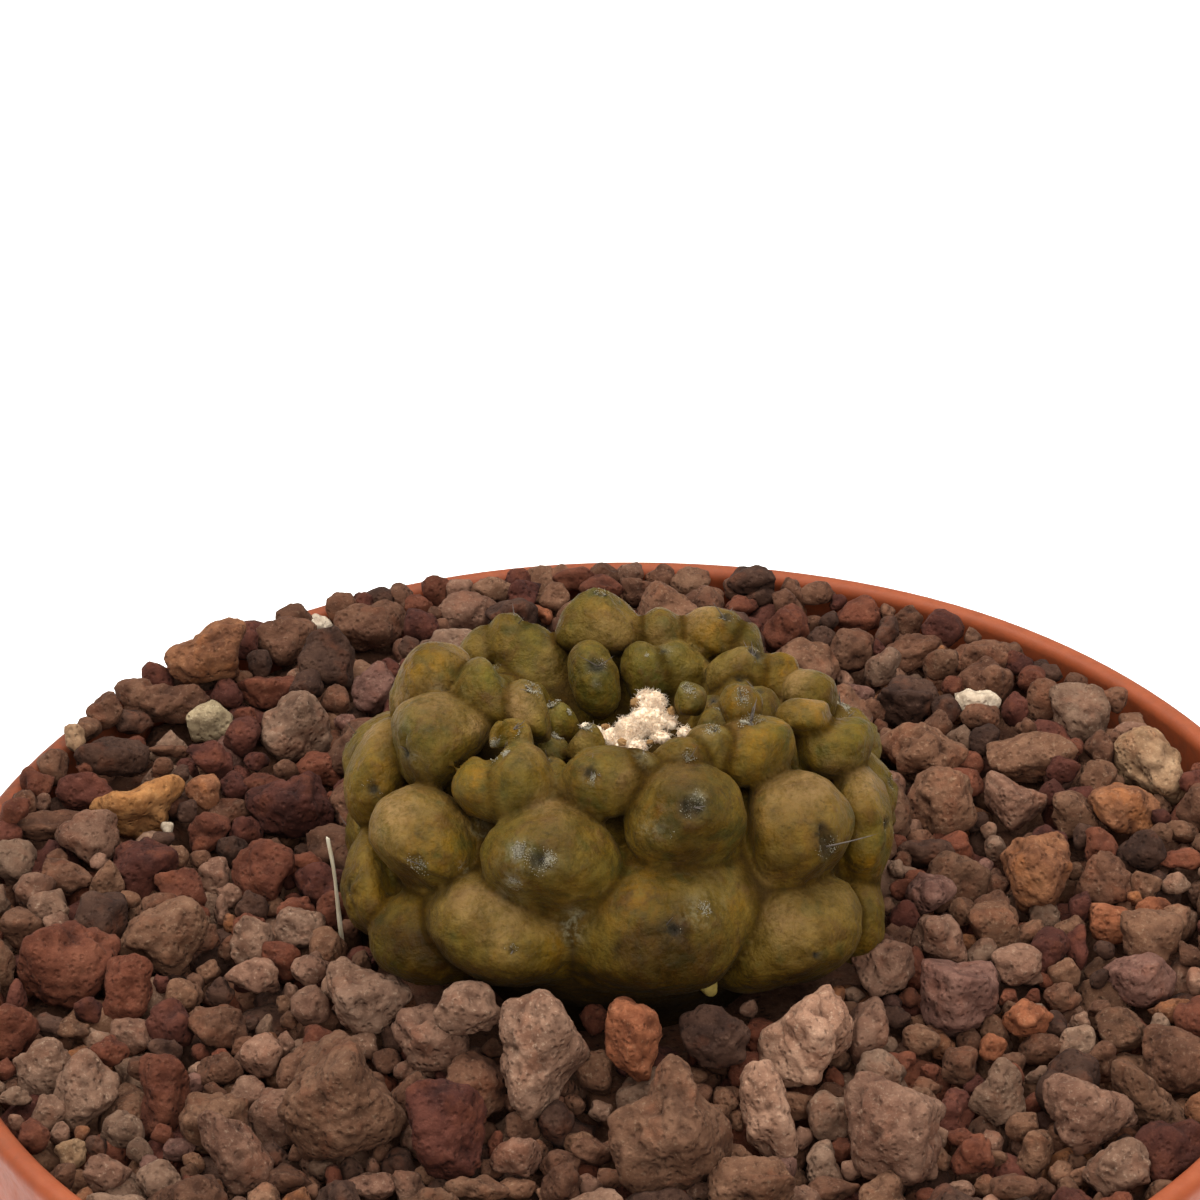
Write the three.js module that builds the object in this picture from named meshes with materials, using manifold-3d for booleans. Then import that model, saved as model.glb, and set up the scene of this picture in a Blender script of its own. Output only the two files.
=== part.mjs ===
// A small cactus, Copiapoa hypogaea, growing in a round plastic nursery pot
// that is filled with lava gravel.  Millimetres, +Z up.  The origin is the
// centre of the pot's base, on the surface that it stands on.
import * as THREE from 'three';
import * as BufferGeometryUtils from 'three/addons/utils/BufferGeometryUtils.js';
import Module from 'manifold-3d';

const wasm = await Module();
wasm.setup();

// ---------------------------------------------------------------- dimensions
const POT_HEIGHT = 56;            // base to rim
const RIM_RADIUS = 32.5;          // outside of the rim
const COLLAR_DEPTH = 9;           // height of the stepped-out collar below the rim
const COLLAR_STEP = 1.15;         // how far the collar stands out of the wall
const WALL = 0.95;                // wall thickness
const BASE_RADIUS = 22;           // outside of the foot ring
const FLOOR_THICKNESS = 1.1;
const FOOT_DEPTH = 1.2;           // the floor is raised this much inside the foot ring
const DRAIN_RADIUS = 1.9;         // drainage holes
const DRAIN_CIRCLE = 13.5;
const DRAIN_COUNT = 6;
const GAP = 0.3;                  // clearance between touching pieces

const PLANT_X = -0.3;             // the plant's axis in the pot
const PLANT_Y = 1.8;
const ROOT_DEPTH = 35;            // tip of the taproot below the rim

const POT_SEGMENTS = 60;
const BODY_DETAIL = 13;           // facets of the plant's skin
const BED_SPACING = 2.05;         // facet size of the loose fine gravel's surface

// ------------------------------------------------------------------- helpers
const group = new THREE.Group();

function weld(geometry) {
  const g = geometry.clone();
  g.deleteAttribute('normal');
  g.deleteAttribute('uv');
  return BufferGeometryUtils.mergeVertices(g, 1e-4);
}

function solid(geometry) {
  const g = weld(geometry);
  const tri = [];
  const idx = g.index.array;
  for (let i = 0; i < idx.length; i += 3) {
    if (idx[i] !== idx[i + 1] && idx[i + 1] !== idx[i + 2] && idx[i] !== idx[i + 2]) tri.push(idx[i], idx[i + 1], idx[i + 2]);
  }
  return new wasm.Manifold(new wasm.Mesh({
    numProp: 3,
    vertProperties: new Float32Array(g.attributes.position.array),
    triVerts: new Uint32Array(tri),
  }));
}

function geometryOf(manifold) {
  const m = manifold.getMesh();
  const g = new THREE.BufferGeometry();
  const n = m.vertProperties.length / m.numProp;
  const pos = new Float32Array(n * 3);
  for (let i = 0; i < n; i++) {
    for (let k = 0; k < 3; k++) pos[3 * i + k] = m.vertProperties[i * m.numProp + k];
  }
  g.setAttribute('position', new THREE.BufferAttribute(pos, 3));
  g.setIndex(new THREE.BufferAttribute(new Uint32Array(m.triVerts), 1));
  g.computeVertexNormals();
  return g;
}

function largest(manifold) {
  let best = null;
  for (const part of manifold.decompose()) {
    if (!best || part.volume() > best.volume()) best = part;
  }
  return best;
}

function add(name, geometry, material) {
  const mesh = new THREE.Mesh(geometry, material);
  mesh.name = name;
  group.add(mesh);
  return mesh;
}

function material(color, roughness, metalness = 0) {
  return new THREE.MeshStandardMaterial({ color: new THREE.Color().setRGB(...color, THREE.SRGBColorSpace), roughness, metalness });
}

// a number from 0 to 1 that depends only on its two arguments
function hash(i, j) {
  const s = Math.sin(i * 12.9898 + j * 78.233 + 4.137) * 43758.5453;
  return s - Math.floor(s);
}

// a body of revolution about Z from [radius, height] pairs
function lathe(profile, segments) {
  const g = new THREE.LatheGeometry(profile.map(([r, z]) => new THREE.Vector2(r, z)), segments);
  g.rotateX(Math.PI / 2);
  return g;
}

// faces out, whatever way round the profile ran
function outward(geometry) {
  const g = weld(geometry);
  const p = g.attributes.position.array, t = g.index.array;
  let v = 0;
  for (let i = 0; i < t.length; i += 3) {
    const a = t[i] * 3, b = t[i + 1] * 3, c = t[i + 2] * 3;
    v += p[a] * (p[b + 1] * p[c + 2] - p[b + 2] * p[c + 1]) - p[a + 1] * (p[b] * p[c + 2] - p[b + 2] * p[c]) + p[a + 2] * (p[b] * p[c + 1] - p[b + 1] * p[c]);
  }
  if (v < 0) for (let i = 0; i < t.length; i += 3) { const s = t[i + 1]; t[i + 1] = t[i + 2]; t[i + 2] = s; }
  return g;
}

// ----------------------------------------------------------------------- pot
// thin injection-moulded wall, a stepped-out collar, a rounded lip, a foot ring
// round a raised floor, and drainage holes
const STEP_Z = POT_HEIGHT - COLLAR_DEPTH;
const wallTop = RIM_RADIUS - 0.35 - COLLAR_STEP;   // outer radius just under the collar
const potProfile = [
  [0, FOOT_DEPTH],
  [BASE_RADIUS - 2.6, FOOT_DEPTH],
  [BASE_RADIUS - 2.3, 0],
  [BASE_RADIUS - 0.6, 0],
  [BASE_RADIUS, 0.6],
  [wallTop, STEP_Z - 0.8],
  [RIM_RADIUS - 0.75, STEP_Z + 0.2],
  [RIM_RADIUS - 0.45, STEP_Z + 0.9],
  [RIM_RADIUS - 0.25, POT_HEIGHT - 1.5],
  [RIM_RADIUS, POT_HEIGHT - 0.9],
  [RIM_RADIUS, POT_HEIGHT - 0.4],
  [RIM_RADIUS - 0.35, POT_HEIGHT],
  [RIM_RADIUS - 0.85, POT_HEIGHT],
  [RIM_RADIUS - 1.15, POT_HEIGHT - 0.4],
  [RIM_RADIUS - 1.35, STEP_Z + 1.1],
  [wallTop - WALL, STEP_Z - 1.1],
  [BASE_RADIUS - WALL, FOOT_DEPTH + FLOOR_THICKNESS + 0.7],
  [BASE_RADIUS - WALL - 0.7, FOOT_DEPTH + FLOOR_THICKNESS],
  [0, FOOT_DEPTH + FLOOR_THICKNESS],
];
let pot = solid(outward(lathe(potProfile, POT_SEGMENTS)));
for (let i = 0; i < DRAIN_COUNT; i++) {
  const a = (i / DRAIN_COUNT) * Math.PI * 2;
  const hole = new THREE.CylinderGeometry(DRAIN_RADIUS, DRAIN_RADIUS, 6, 10);
  hole.rotateX(Math.PI / 2);
  hole.translate(DRAIN_CIRCLE * Math.cos(a), DRAIN_CIRCLE * Math.sin(a), FOOT_DEPTH + 0.5);
  pot = pot.subtract(solid(hole));
}
add('pot', geometryOf(pot), material([0.72, 0.33, 0.19], 0.45));

// --------------------------------------------------------------------- plant
// Each row is one tubercle: the centre from the middle of the rim plane (x, y,
// z), the way it points (x, y, z), and its half-width, half-height and
// half-length.  The first rows face the front; the last ones close the back.
const TUBERCLES = [
  [-6.97, -1.70, 9.30, -0.58, -0.30, 0.76, 3.28, 2.19, 2.84],
  [-5.96, -4.62, 9.69, -0.42, -0.48, 0.77, 1.74, 1.85, 1.86],
  [-4.08, -5.14, 10.23, -0.27, -0.49, 0.83, 1.61, 2.03, 1.89],
  [-0.99, -5.80, 10.03, -0.05, -0.55, 0.84, 2.06, 1.79, 2.00],
  [2.81, -4.81, 10.72, 0.18, -0.39, 0.90, 1.32, 1.23, 1.32],
  [2.45, -6.43, 8.79, 0.23, -0.69, 0.69, 2.89, 2.53, 2.82],
  [6.06, -3.20, 9.92, 0.47, -0.37, 0.80, 2.32, 1.54, 2.01],
  [8.56, -0.25, 8.15, 0.75, -0.17, 0.64, 2.67, 1.82, 2.34],
  [7.81, -0.27, 9.94, 0.55, -0.14, 0.82, 1.51, 1.01, 1.31],
  [-9.93, -0.46, 6.85, -0.85, -0.20, 0.49, 2.36, 2.69, 2.62],
  [-7.48, -4.77, 6.79, -0.64, -0.59, 0.49, 3.32, 2.40, 2.98],
  [-9.42, -2.59, 4.02, -0.90, -0.43, 0.08, 3.25, 2.98, 3.24],
  [-9.59, -2.99, 2.29, -0.86, -0.44, -0.25, 2.74, 2.20, 2.57],
  [-2.89, -7.25, 7.68, -0.22, -0.78, 0.58, 3.26, 2.63, 3.07],
  [6.48, -4.73, 6.81, 0.62, -0.59, 0.51, 3.44, 2.64, 3.16],
  [9.15, -1.98, 5.55, 0.88, -0.35, 0.31, 2.43, 3.16, 2.90],
  [-4.44, -7.00, 4.82, -0.42, -0.90, 0.14, 3.74, 2.41, 2.72],
  [1.09, -7.27, 4.88, 0.15, -0.97, 0.17, 4.23, 3.09, 3.23],
  [5.97, -5.31, 3.76, 0.66, -0.75, -0.02, 4.20, 3.03, 3.20],
  [9.58, -2.81, 2.78, 0.90, -0.42, -0.14, 2.56, 2.56, 2.26],
  [-7.01, -5.88, 3.01, -0.65, -0.74, -0.20, 2.89, 2.30, 2.30],
  [-2.52, -8.66, 3.47, -0.19, -0.91, -0.36, 2.25, 2.10, 1.92],
  [3.98, -7.84, 2.50, 0.37, -0.83, -0.43, 2.37, 2.12, 1.98],
  [-7.39, 1.58, 9.79, -0.51, -0.02, 0.86, 3.04, 2.03, 2.63],
  [-4.66, 8.60, 8.78, -0.31, 0.48, 0.82, 2.04, 1.99, 2.01],
  [-5.24, 9.20, 10.20, -0.31, 0.46, 0.83, 0.80, 0.99, 0.90],
  [-6.56, 9.00, 8.69, -0.41, 0.47, 0.78, 1.23, 1.09, 1.16],
  [-0.89, 8.80, 9.89, -0.04, 0.43, 0.90, 2.13, 2.08, 2.10],
  [-1.41, 4.71, 8.58, 0.11, -0.29, 0.95, 1.34, 2.44, 1.96],
  [1.19, 6.30, 9.38, -0.14, -0.43, 0.89, 1.27, 1.74, 1.50],
  [2.85, 6.90, 9.41, -0.21, -0.33, 0.92, 1.18, 1.60, 1.39],
  [4.59, 8.60, 9.43, 0.33, 0.45, 0.83, 1.80, 1.75, 1.77],
  [5.81, 8.40, 9.19, 0.40, 0.43, 0.81, 0.95, 1.32, 1.13],
  [5.82, 5.80, 9.14, 0.43, 0.28, 0.86, 1.64, 1.50, 1.57],
  [7.75, 6.20, 9.28, 0.52, 0.28, 0.81, 0.84, 1.22, 1.03],
  [9.32, 4.50, 8.76, 0.66, 0.18, 0.73, 1.26, 1.17, 1.21],
  [-6.50, -0.09, 10.46, 0.02, 0.01, 1.00, 2.17, 1.45, 1.88],
  [-4.71, -0.76, 10.08, 0.30, 0.17, 0.94, 1.80, 1.47, 1.70],
  [-3.09, 0.72, 8.84, 0.24, 0.09, 0.97, 1.63, 1.23, 1.48],
  [-3.26, 2.71, 9.43, 0.26, -0.08, 0.96, 1.38, 0.92, 1.19],
  [4.70, 0.31, 10.82, -0.29, 0.09, 0.95, 1.21, 0.93, 1.11],
  [-1.62, -0.38, 9.46, 0.13, 0.21, 0.97, 0.84, 0.93, 0.92],
  [5.41, -1.67, 10.98, 0.06, -0.03, 1.00, 1.55, 1.04, 1.35],
  [3.60, 1.28, 9.90, -0.33, 0.04, 0.94, 1.18, 0.79, 1.02],
  [-4.73, -3.38, 11.34, -0.07, -0.09, 0.99, 1.01, 0.85, 0.97],
  [3.95, -3.46, 10.94, 0.10, -0.12, 0.99, 1.29, 1.33, 1.36],
  [0.78, -5.30, 11.16, 0.04, -0.27, 0.96, 1.09, 0.86, 1.01],
  [9.66, 2.36, 2.94, 1.00, 0.06, -0.08, 3.13, 2.88, 3.01],
  [8.36, 6.92, 2.70, 0.86, 0.51, -0.10, 3.06, 2.73, 2.90],
  [6.10, 9.56, 2.82, 0.63, 0.77, -0.09, 3.11, 2.72, 2.92],
  [1.56, 11.64, 2.59, 0.18, 0.98, -0.12, 3.11, 2.77, 2.94],
  [-2.34, 11.59, 2.75, -0.20, 0.97, -0.10, 3.17, 2.76, 2.96],
  [-5.88, 10.16, 2.55, -0.55, 0.83, -0.12, 3.07, 2.71, 2.89],
  [-8.66, 7.23, 2.94, -0.84, 0.54, -0.08, 3.30, 2.73, 3.01],
  [-10.03, 3.49, 2.57, -0.98, 0.17, -0.12, 3.21, 2.94, 3.07],
  [9.79, 1.07, 5.00, 0.91, -0.07, 0.42, 3.18, 2.80, 2.99],
  [9.46, 5.09, 5.16, 0.86, 0.29, 0.43, 2.91, 2.64, 2.78],
  [7.58, 8.11, 4.92, 0.71, 0.57, 0.41, 3.24, 2.83, 3.03],
  [3.66, 11.07, 5.09, 0.35, 0.83, 0.43, 3.12, 2.89, 3.01],
  [-0.58, 11.91, 5.29, -0.02, 0.89, 0.46, 3.19, 2.64, 2.91],
  [-4.13, 11.21, 4.84, -0.35, 0.85, 0.40, 3.09, 2.89, 2.99],
  [-7.47, 9.14, 4.96, -0.64, 0.65, 0.41, 3.03, 2.70, 2.86],
  [-10.00, 4.81, 5.02, -0.87, 0.27, 0.42, 3.12, 2.78, 2.95],
  [-8.83, 5.41, 7.76, -0.58, 0.25, 0.78, 2.80, 2.30, 2.55],
  [1.88, -7.70, -0.17, 0.20, -0.89, -0.41, 2.69, 2.46, 2.57],
  [5.35, -6.05, -0.18, 0.53, -0.74, -0.42, 2.77, 2.52, 2.65],
  [8.39, -2.34, 0.01, 0.83, -0.39, -0.41, 2.80, 2.69, 2.74],
  [9.18, 1.30, -0.46, 0.88, -0.05, -0.47, 2.84, 2.61, 2.72],
  [8.30, 6.06, 0.03, 0.82, 0.41, -0.41, 2.91, 2.64, 2.78],
  [5.66, 9.23, -0.11, 0.57, 0.71, -0.42, 2.91, 2.71, 2.81],
  [2.14, 11.08, -0.52, 0.22, 0.85, -0.47, 2.74, 2.47, 2.61],
  [-2.18, 11.33, -0.15, -0.18, 0.89, -0.41, 2.69, 2.55, 2.62],
  [-6.49, 9.21, -0.44, -0.57, 0.68, -0.45, 2.69, 2.48, 2.58],
  [-8.85, 6.44, -0.16, -0.80, 0.43, -0.41, 2.72, 2.46, 2.59],
  [-9.86, 1.48, -0.09, -0.91, -0.03, -0.41, 2.86, 2.69, 2.78],
  [-6.08, -5.72, -0.35, -0.54, -0.71, -0.45, 2.93, 2.61, 2.77],
  [-1.80, -7.59, -0.47, -0.14, -0.87, -0.47, 2.85, 2.55, 2.70],
];
// the fleshy core between the tubercles: radius and height above the rim plane
const CORE = [
  [0, 7.4], [1.4, 7.6], [2.8, 8.2], [4.2, 9.2], [5.4, 10.0], [6.6, 10.5], [8.0, 9.9], [9.2, 8.8], [10.2, 7.4],
  [10.9, 5.9], [11.2, 4.6], [11.4, 3.2], [11.3, 1.2], [10.9, -0.8], [10.1, -2.6], [8.4, -4.8], [6.0, -6.4], [3.0, -7.2], [0, -7.4],
];
const HEART = new THREE.Vector3(PLANT_X, PLANT_Y, POT_HEIGHT + 2);   // the rays start here
const tubercles = TUBERCLES.map((t) => {
  const n = new THREE.Vector3(t[3], t[4], t[5]).normalize();
  const side = new THREE.Vector3(0, 0, 1).cross(n).normalize();
  const up = n.clone().cross(side);
  return { c: new THREE.Vector3(t[0], t[1], t[2] + POT_HEIGHT), n, side, up, a: t[6], b: t[7], l: t[8] };
});

function coreReach(direction) {
  const dr = Math.hypot(direction.x, direction.y), dz = direction.z;
  const z0 = HEART.z - POT_HEIGHT;
  let best = 0;
  for (let i = 0; i + 1 < CORE.length; i++) {
    const [r1, h1] = CORE[i], [r2, h2] = CORE[i + 1];
    const ex = r2 - r1, ey = h2 - h1;
    const det = -dr * ey + dz * ex;
    if (Math.abs(det) < 1e-9) continue;
    const s = (-(r1) * ey + (h1 - z0) * ex) / det;
    const u = (dr * (h1 - z0) - dz * r1) / det;
    if (s > 0 && u >= -1e-6 && u <= 1 + 1e-6) best = Math.max(best, s);
  }
  return best;
}

// distance from HEART to the skin in a direction, grown by a clearance
function reach(direction, grow) {
  let best = coreReach(direction) + grow;
  for (const t of tubercles) {
    const o = HEART.clone().sub(t.c);
    const A = t.a + grow, B = t.b + grow, L = t.l + grow;
    const ox = o.dot(t.side) / A, oy = o.dot(t.up) / B, oz = o.dot(t.n) / L;
    const dx = direction.dot(t.side) / A, dy = direction.dot(t.up) / B, dz = direction.dot(t.n) / L;
    const qa = dx * dx + dy * dy + dz * dz;
    const qb = ox * dx + oy * dy + oz * dz;
    const qc = ox * ox + oy * oy + oz * oz - 1;
    const disc = qb * qb - qa * qc;
    if (disc > 0) best = Math.max(best, (-qb + Math.sqrt(disc)) / qa);
  }
  return best;
}

function plantBody(grow, detail = BODY_DETAIL) {
  const w = weld(new THREE.IcosahedronGeometry(1, detail));
  const p = w.attributes.position;
  const d = new THREE.Vector3();
  for (let i = 0; i < p.count; i++) {
    d.fromBufferAttribute(p, i).normalize();
    d.z += 0.38 * (1 - d.z * d.z);   // more of the facets go to the part above the gravel
    d.normalize();
    d.multiplyScalar(reach(d, grow)).add(HEART);
    p.setXYZ(i, d.x, d.y, d.z);
  }
  return solid(w);
}

function taproot(grow, segments = 18) {
  const z = POT_HEIGHT;
  const profile = [
    [0, z - 5.5], [4.4 + grow, z - 5.5], [4.0 + grow, z - 9], [5.3 + grow, z - 12.5], [6.1 + grow, z - 17],
    [5.5 + grow, z - 22], [3.8 + grow, z - 27], [1.9 + grow, z - 31.5], [0.7 + grow, z - ROOT_DEPTH + 0.7 - grow], [0, z - ROOT_DEPTH - grow],
  ];
  const g = outward(lathe(profile, segments));
  g.translate(PLANT_X, PLANT_Y, 0);
  return solid(g);
}
const plant = plantBody(0).add(taproot(0));
const plantRoom = plantBody(GAP + 0.05).add(taproot(GAP + 0.05));
add('cactus_plant', geometryOf(plant), material([0.47, 0.42, 0.16], 0.5));

// -------------------------------------------------------------------- stones
// Each row is one separate lump of lava: its centre from the middle of the rim
// plane (x, y, z), its half-width and half-height, and its kind.
const STONES = [
  [-22.99, 5.34, -0.67, 1.67, 1.55, 'maroon'],
  [-17.21, 4.81, -0.57, 1.55, 1.55, 'red'],
  [-21.88, -0.42, -0.86, 2.11, 1.76, 'tan'],
  [-26.17, -2.18, -1.09, 2.44, 2.09, 'red'],
  [-11.65, -7.13, 0.43, 1.82, 1.64, 'pale'],
  [-24.41, -11.18, -1.60, 1.48, 1.44, 'pale'],
  [-20.99, -11.51, -1.32, 1.23, 2.02, 'red'],
  [-12.82, -14.61, -0.05, 2.76, 2.76, 'tan'],
  [-17.40, -16.35, -1.42, 1.43, 1.65, 'pink'],
  [-3.92, -12.71, 1.31, 2.12, 2.50, 'pale'],
  [0.22, -12.50, 1.71, 1.30, 2.02, 'orange'],
  [-8.91, -9.70, -0.09, 1.71, 1.49, 'pink'],
  [-6.97, -10.67, 2.06, 1.58, 1.36, 'pale'],
  [1.95, -17.14, 0.45, 2.84, 3.28, 'tan'],
  [3.94, -11.84, 1.08, 1.61, 1.52, 'dark'],
  [6.23, -15.13, -0.42, 1.24, 2.65, 'cream'],
  [-7.87, -16.14, -0.38, 2.20, 2.37, 'maroon'],
  [5.42, -19.72, -1.03, 1.96, 1.30, 'tan'],
  [19.58, 3.39, -0.66, 1.80, 2.04, 'orange2'],
  [22.90, 3.42, -1.39, 1.54, 1.43, 'brown'],
  [15.34, -6.83, -0.44, 1.87, 1.73, 'purple'],
  [23.66, -4.31, -1.44, 1.73, 1.27, 'purple'],
  [16.51, -13.04, -1.33, 1.34, 1.56, 'grey'],
  [20.20, -15.44, -0.68, 1.99, 1.68, 'pink'],
  [23.08, -13.34, -1.65, 1.78, 2.11, 'tan'],
  [24.81, -10.34, -1.70, 1.49, 1.58, 'brown'],
  [8.16, -11.28, 0.41, 2.06, 2.33, 'pale'],
  [11.66, -16.54, -0.60, 2.06, 2.46, 'pink'],
  [21.41, -18.56, -1.61, 1.64, 1.44, 'pale'],
  [-20.90, 21.07, 1.74, 1.94, 1.50, 'orange2'],
  [-17.03, 24.63, -0.04, 1.55, 1.30, 'brown'],
  [-15.43, 26.37, -0.26, 0.89, 0.68, 'white'],
  [-12.79, 26.16, -0.20, 1.91, 1.40, 'brown'],
  [-22.93, 18.92, -0.01, 2.33, 1.17, 'brown'],
  [-16.33, 16.92, -0.38, 2.09, 1.99, 'grey'],
  [-23.67, 10.32, -0.39, 2.19, 1.46, 'ochre'],
  [-25.12, 14.28, -0.21, 1.97, 1.09, 'dark'],
  [-16.00, 9.80, -0.29, 2.14, 1.85, 'maroon'],
  [17.68, 17.60, -0.16, 1.17, 0.82, 'white'],
  [18.55, 19.56, -0.30, 1.75, 1.40, 'brown'],
  [14.52, 18.62, -0.46, 1.81, 1.35, 'dark'],
  [23.01, 16.84, -0.43, 1.50, 1.55, 'grey'],
  [26.15, 12.30, -0.85, 2.05, 2.00, 'cream'],
  [19.78, 13.15, -0.58, 2.26, 1.32, 'tan'],
  [14.80, 13.78, -0.57, 2.12, 1.82, 'red'],
  [15.65, 9.55, -0.52, 1.79, 1.65, 'tan'],
  [19.06, 10.21, -1.16, 1.51, 1.51, 'pink'],
  [24.24, 8.32, -0.62, 1.79, 1.40, 'orange2'],
  [-5.00, 22.00, -0.80, 2.10, 1.80, 'brown'],
  [3.00, 20.50, -0.70, 1.90, 1.70, 'pink'],
  [9.00, 22.40, -1.00, 2.10, 1.70, 'tan'],
  [0.00, 27.00, -1.30, 1.80, 1.50, 'red'],
  [-9.00, 18.60, -0.60, 1.70, 1.60, 'grey'],
];
const STONE_U = new THREE.Vector3(0.9998, -0.0078, -0.0202).normalize();  // along the half-width
const STONE_W = new THREE.Vector3(-0.0037, 0.8576, -0.5143).normalize(); // along the depth
const STONE_V = STONE_W.clone().cross(STONE_U).negate().normalize();      // along the half-height
const KINDS = {
  maroon: [0.33, 0.17, 0.15], red: [0.42, 0.24, 0.18], brown: [0.40, 0.27, 0.21], tan: [0.48, 0.34, 0.26], pink: [0.58, 0.42, 0.37],
  pale: [0.62, 0.49, 0.43], orange: [0.66, 0.36, 0.24], orange2: [0.58, 0.36, 0.24], purple: [0.45, 0.35, 0.35], grey: [0.50, 0.40, 0.36],
  dark: [0.30, 0.20, 0.17], cream: [0.66, 0.55, 0.46], ochre: [0.68, 0.47, 0.26], green: [0.45, 0.45, 0.36], white: [0.90, 0.88, 0.84],
};
// low waves give each lump its own knobbly outline
const WAVES = [[1.9, 0.4, -0.7], [-0.6, 2.1, 0.9], [0.8, -0.9, 2.3], [2.6, 1.7, 1.1], [-1.8, 2.4, -1.9]];
function lump(seed, direction) {
  let s = 0;
  WAVES.forEach((w, j) => {
    s += Math.sin(direction.x * w[0] + direction.y * w[1] + direction.z * w[2] + hash(seed, j) * Math.PI * 2) * (j < 3 ? 0.07 : 0.045);
  });
  return 1 + s;
}
function stone(row, seed, grow, detail = 1) {
  const [x, y, z, a, b] = row;
  const c = Math.sqrt(a * b) * (0.85 + 0.25 * hash(seed, 9));
  const g = weld(new THREE.IcosahedronGeometry(1, detail));
  const p = g.attributes.position;
  const d = new THREE.Vector3();
  for (let i = 0; i < p.count; i++) {
    d.fromBufferAttribute(p, i).normalize();
    const k = lump(seed, d) * 0.97;
    const v = new THREE.Vector3(x, y, z + POT_HEIGHT)
      .addScaledVector(STONE_U, d.x * (a * k + grow))
      .addScaledVector(STONE_V, d.y * (b * k + grow))
      .addScaledVector(STONE_W, d.z * (c * k + grow));
    p.setXYZ(i, v.x, v.y, v.z);
  }
  return solid(outward(g));
}
// what a stone against the wall must stay clear of: the rim and collar, grown by the clearance
const wallRoom = solid(outward(new THREE.LatheGeometry([
  [RIM_RADIUS - 1.2 - GAP, POT_HEIGHT + GAP], [RIM_RADIUS + 2, POT_HEIGHT + GAP], [RIM_RADIUS + 2, STEP_Z - 6],
  [wallTop - WALL - GAP - 0.5, STEP_Z - 6], [wallTop - WALL - GAP - 0.1, STEP_Z - 1.1], [RIM_RADIUS - 1.45 - GAP, STEP_Z + 1.1],
  [RIM_RADIUS - 1.2 - GAP, POT_HEIGHT + GAP],
].map(([r, z]) => new THREE.Vector2(r, z)), POT_SEGMENTS).rotateX(Math.PI / 2)));
const stones = STONES.map((row, i) => ({ row, body: stone(row, i, 0), room: stone(row, i, GAP + 0.03) }));
stones.forEach((s, i) => {
  const r = Math.hypot(s.row[0] - PLANT_X, s.row[1] - PLANT_Y);
  if (Math.hypot(s.row[0], s.row[1]) + s.row[3] > 29) s.body = largest(s.body.subtract(wallRoom));
  if (r < 17) s.body = largest(s.body.subtract(plantRoom));
  for (let j = 0; j < i; j++) {
    const o = stones[j].row;
    if (Math.hypot(o[0] - s.row[0], o[1] - s.row[1], o[2] - s.row[2]) < 1.3 * (o[3] + s.row[3] + 1.2)) s.body = largest(s.body.subtract(stones[j].room));
  }
});

// -------------------------------------------------------------- fine gravel
// the loose small gravel that fills the pot: its side follows the wall, and its
// top falls away from the plant and is knobbly with small grains
// it is banked up against the wall at the back: degrees round the pot, rise
const BANK = [[0, 1.6], [20, 2.3], [45, 2.7], [60, 2.5], [75, 2.6], [110, 2.8], [150, 2.8], [170, 2.4], [185, 1.6], [200, 1.0], [230, 0.2], [310, 0.2], [335, 0.8], [360, 1.6]];
function bedLevel(x, y) {
  const ra = Math.hypot(x - PLANT_X, y - PLANT_Y);
  const r = Math.hypot(x, y);
  const turn = ((Math.atan2(y, x) * 180) / Math.PI + 360) % 360;
  let k = 0;
  while (k < BANK.length - 2 && turn > BANK[k + 1][0]) k++;
  const bank = BANK[k][1] + (BANK[k + 1][1] - BANK[k][1]) * (turn - BANK[k][0]) / (BANK[k + 1][0] - BANK[k][0]);
  const t = Math.min(Math.max((r - 17) / 9, 0), 1);
  return -3.1 + 2.3 * Math.exp(-Math.max(ra - 12.5, 0) / 7) + 0.25 * Math.min(Math.max((20 - r) / 10, 0), 1) + bank * t * t * (3 - 2 * t);
}
const grains = [];
for (let i = 0; i < 420; i++) {
  const r = 31 * Math.sqrt(hash(i, 21)), a = hash(i, 22) * Math.PI * 2;
  grains.push([r * Math.cos(a), r * Math.sin(a), 0.9 + 0.9 * hash(i, 23), 0.35 * hash(i, 24)]);
}
function bedTop(x, y) {
  let h = bedLevel(x, y) - 0.55;
  for (const [gx, gy, gr, up] of grains) {
    const d2 = (x - gx) ** 2 + (y - gy) ** 2;
    if (d2 < gr * gr) h = Math.max(h, bedLevel(gx, gy) - 0.95 + up + Math.sqrt(gr * gr - d2) * 0.75);
  }
  for (const { row } of stones) {
    const d = Math.hypot(x - row[0], y - row[1]);
    h = Math.max(h, row[2] - 0.35 * row[4] - 1.0 * Math.max(0, d - 0.75 * row[3]));
  }
  for (const { row } of stones) {   // a dent under each lump
    const reachOut = 1.25 * row[3] + 0.5, d = Math.hypot(x - row[0], y - row[1]);
    if (d < reachOut) h = Math.min(h, row[2] - 1.12 * row[4] * Math.sqrt(1 - (d / reachOut) ** 2) - 0.45);
  }
  return POT_HEIGHT + Math.min(h, 2.2);
}
const bedInside = (z) => {   // inner radius of the pot at a height, less the clearance
  const zi = [FOOT_DEPTH + FLOOR_THICKNESS + 0.7, STEP_Z - 1.1, STEP_Z + 1.1, POT_HEIGHT - 0.4];
  const ri = [BASE_RADIUS - WALL, wallTop - WALL, RIM_RADIUS - 1.35, RIM_RADIUS - 1.15];
  let k = 0;
  while (k < 2 && z > zi[k + 1]) k++;
  return ri[k] + (ri[k + 1] - ri[k]) * (z - zi[k]) / (zi[k + 1] - zi[k]) - GAP;
};
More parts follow.
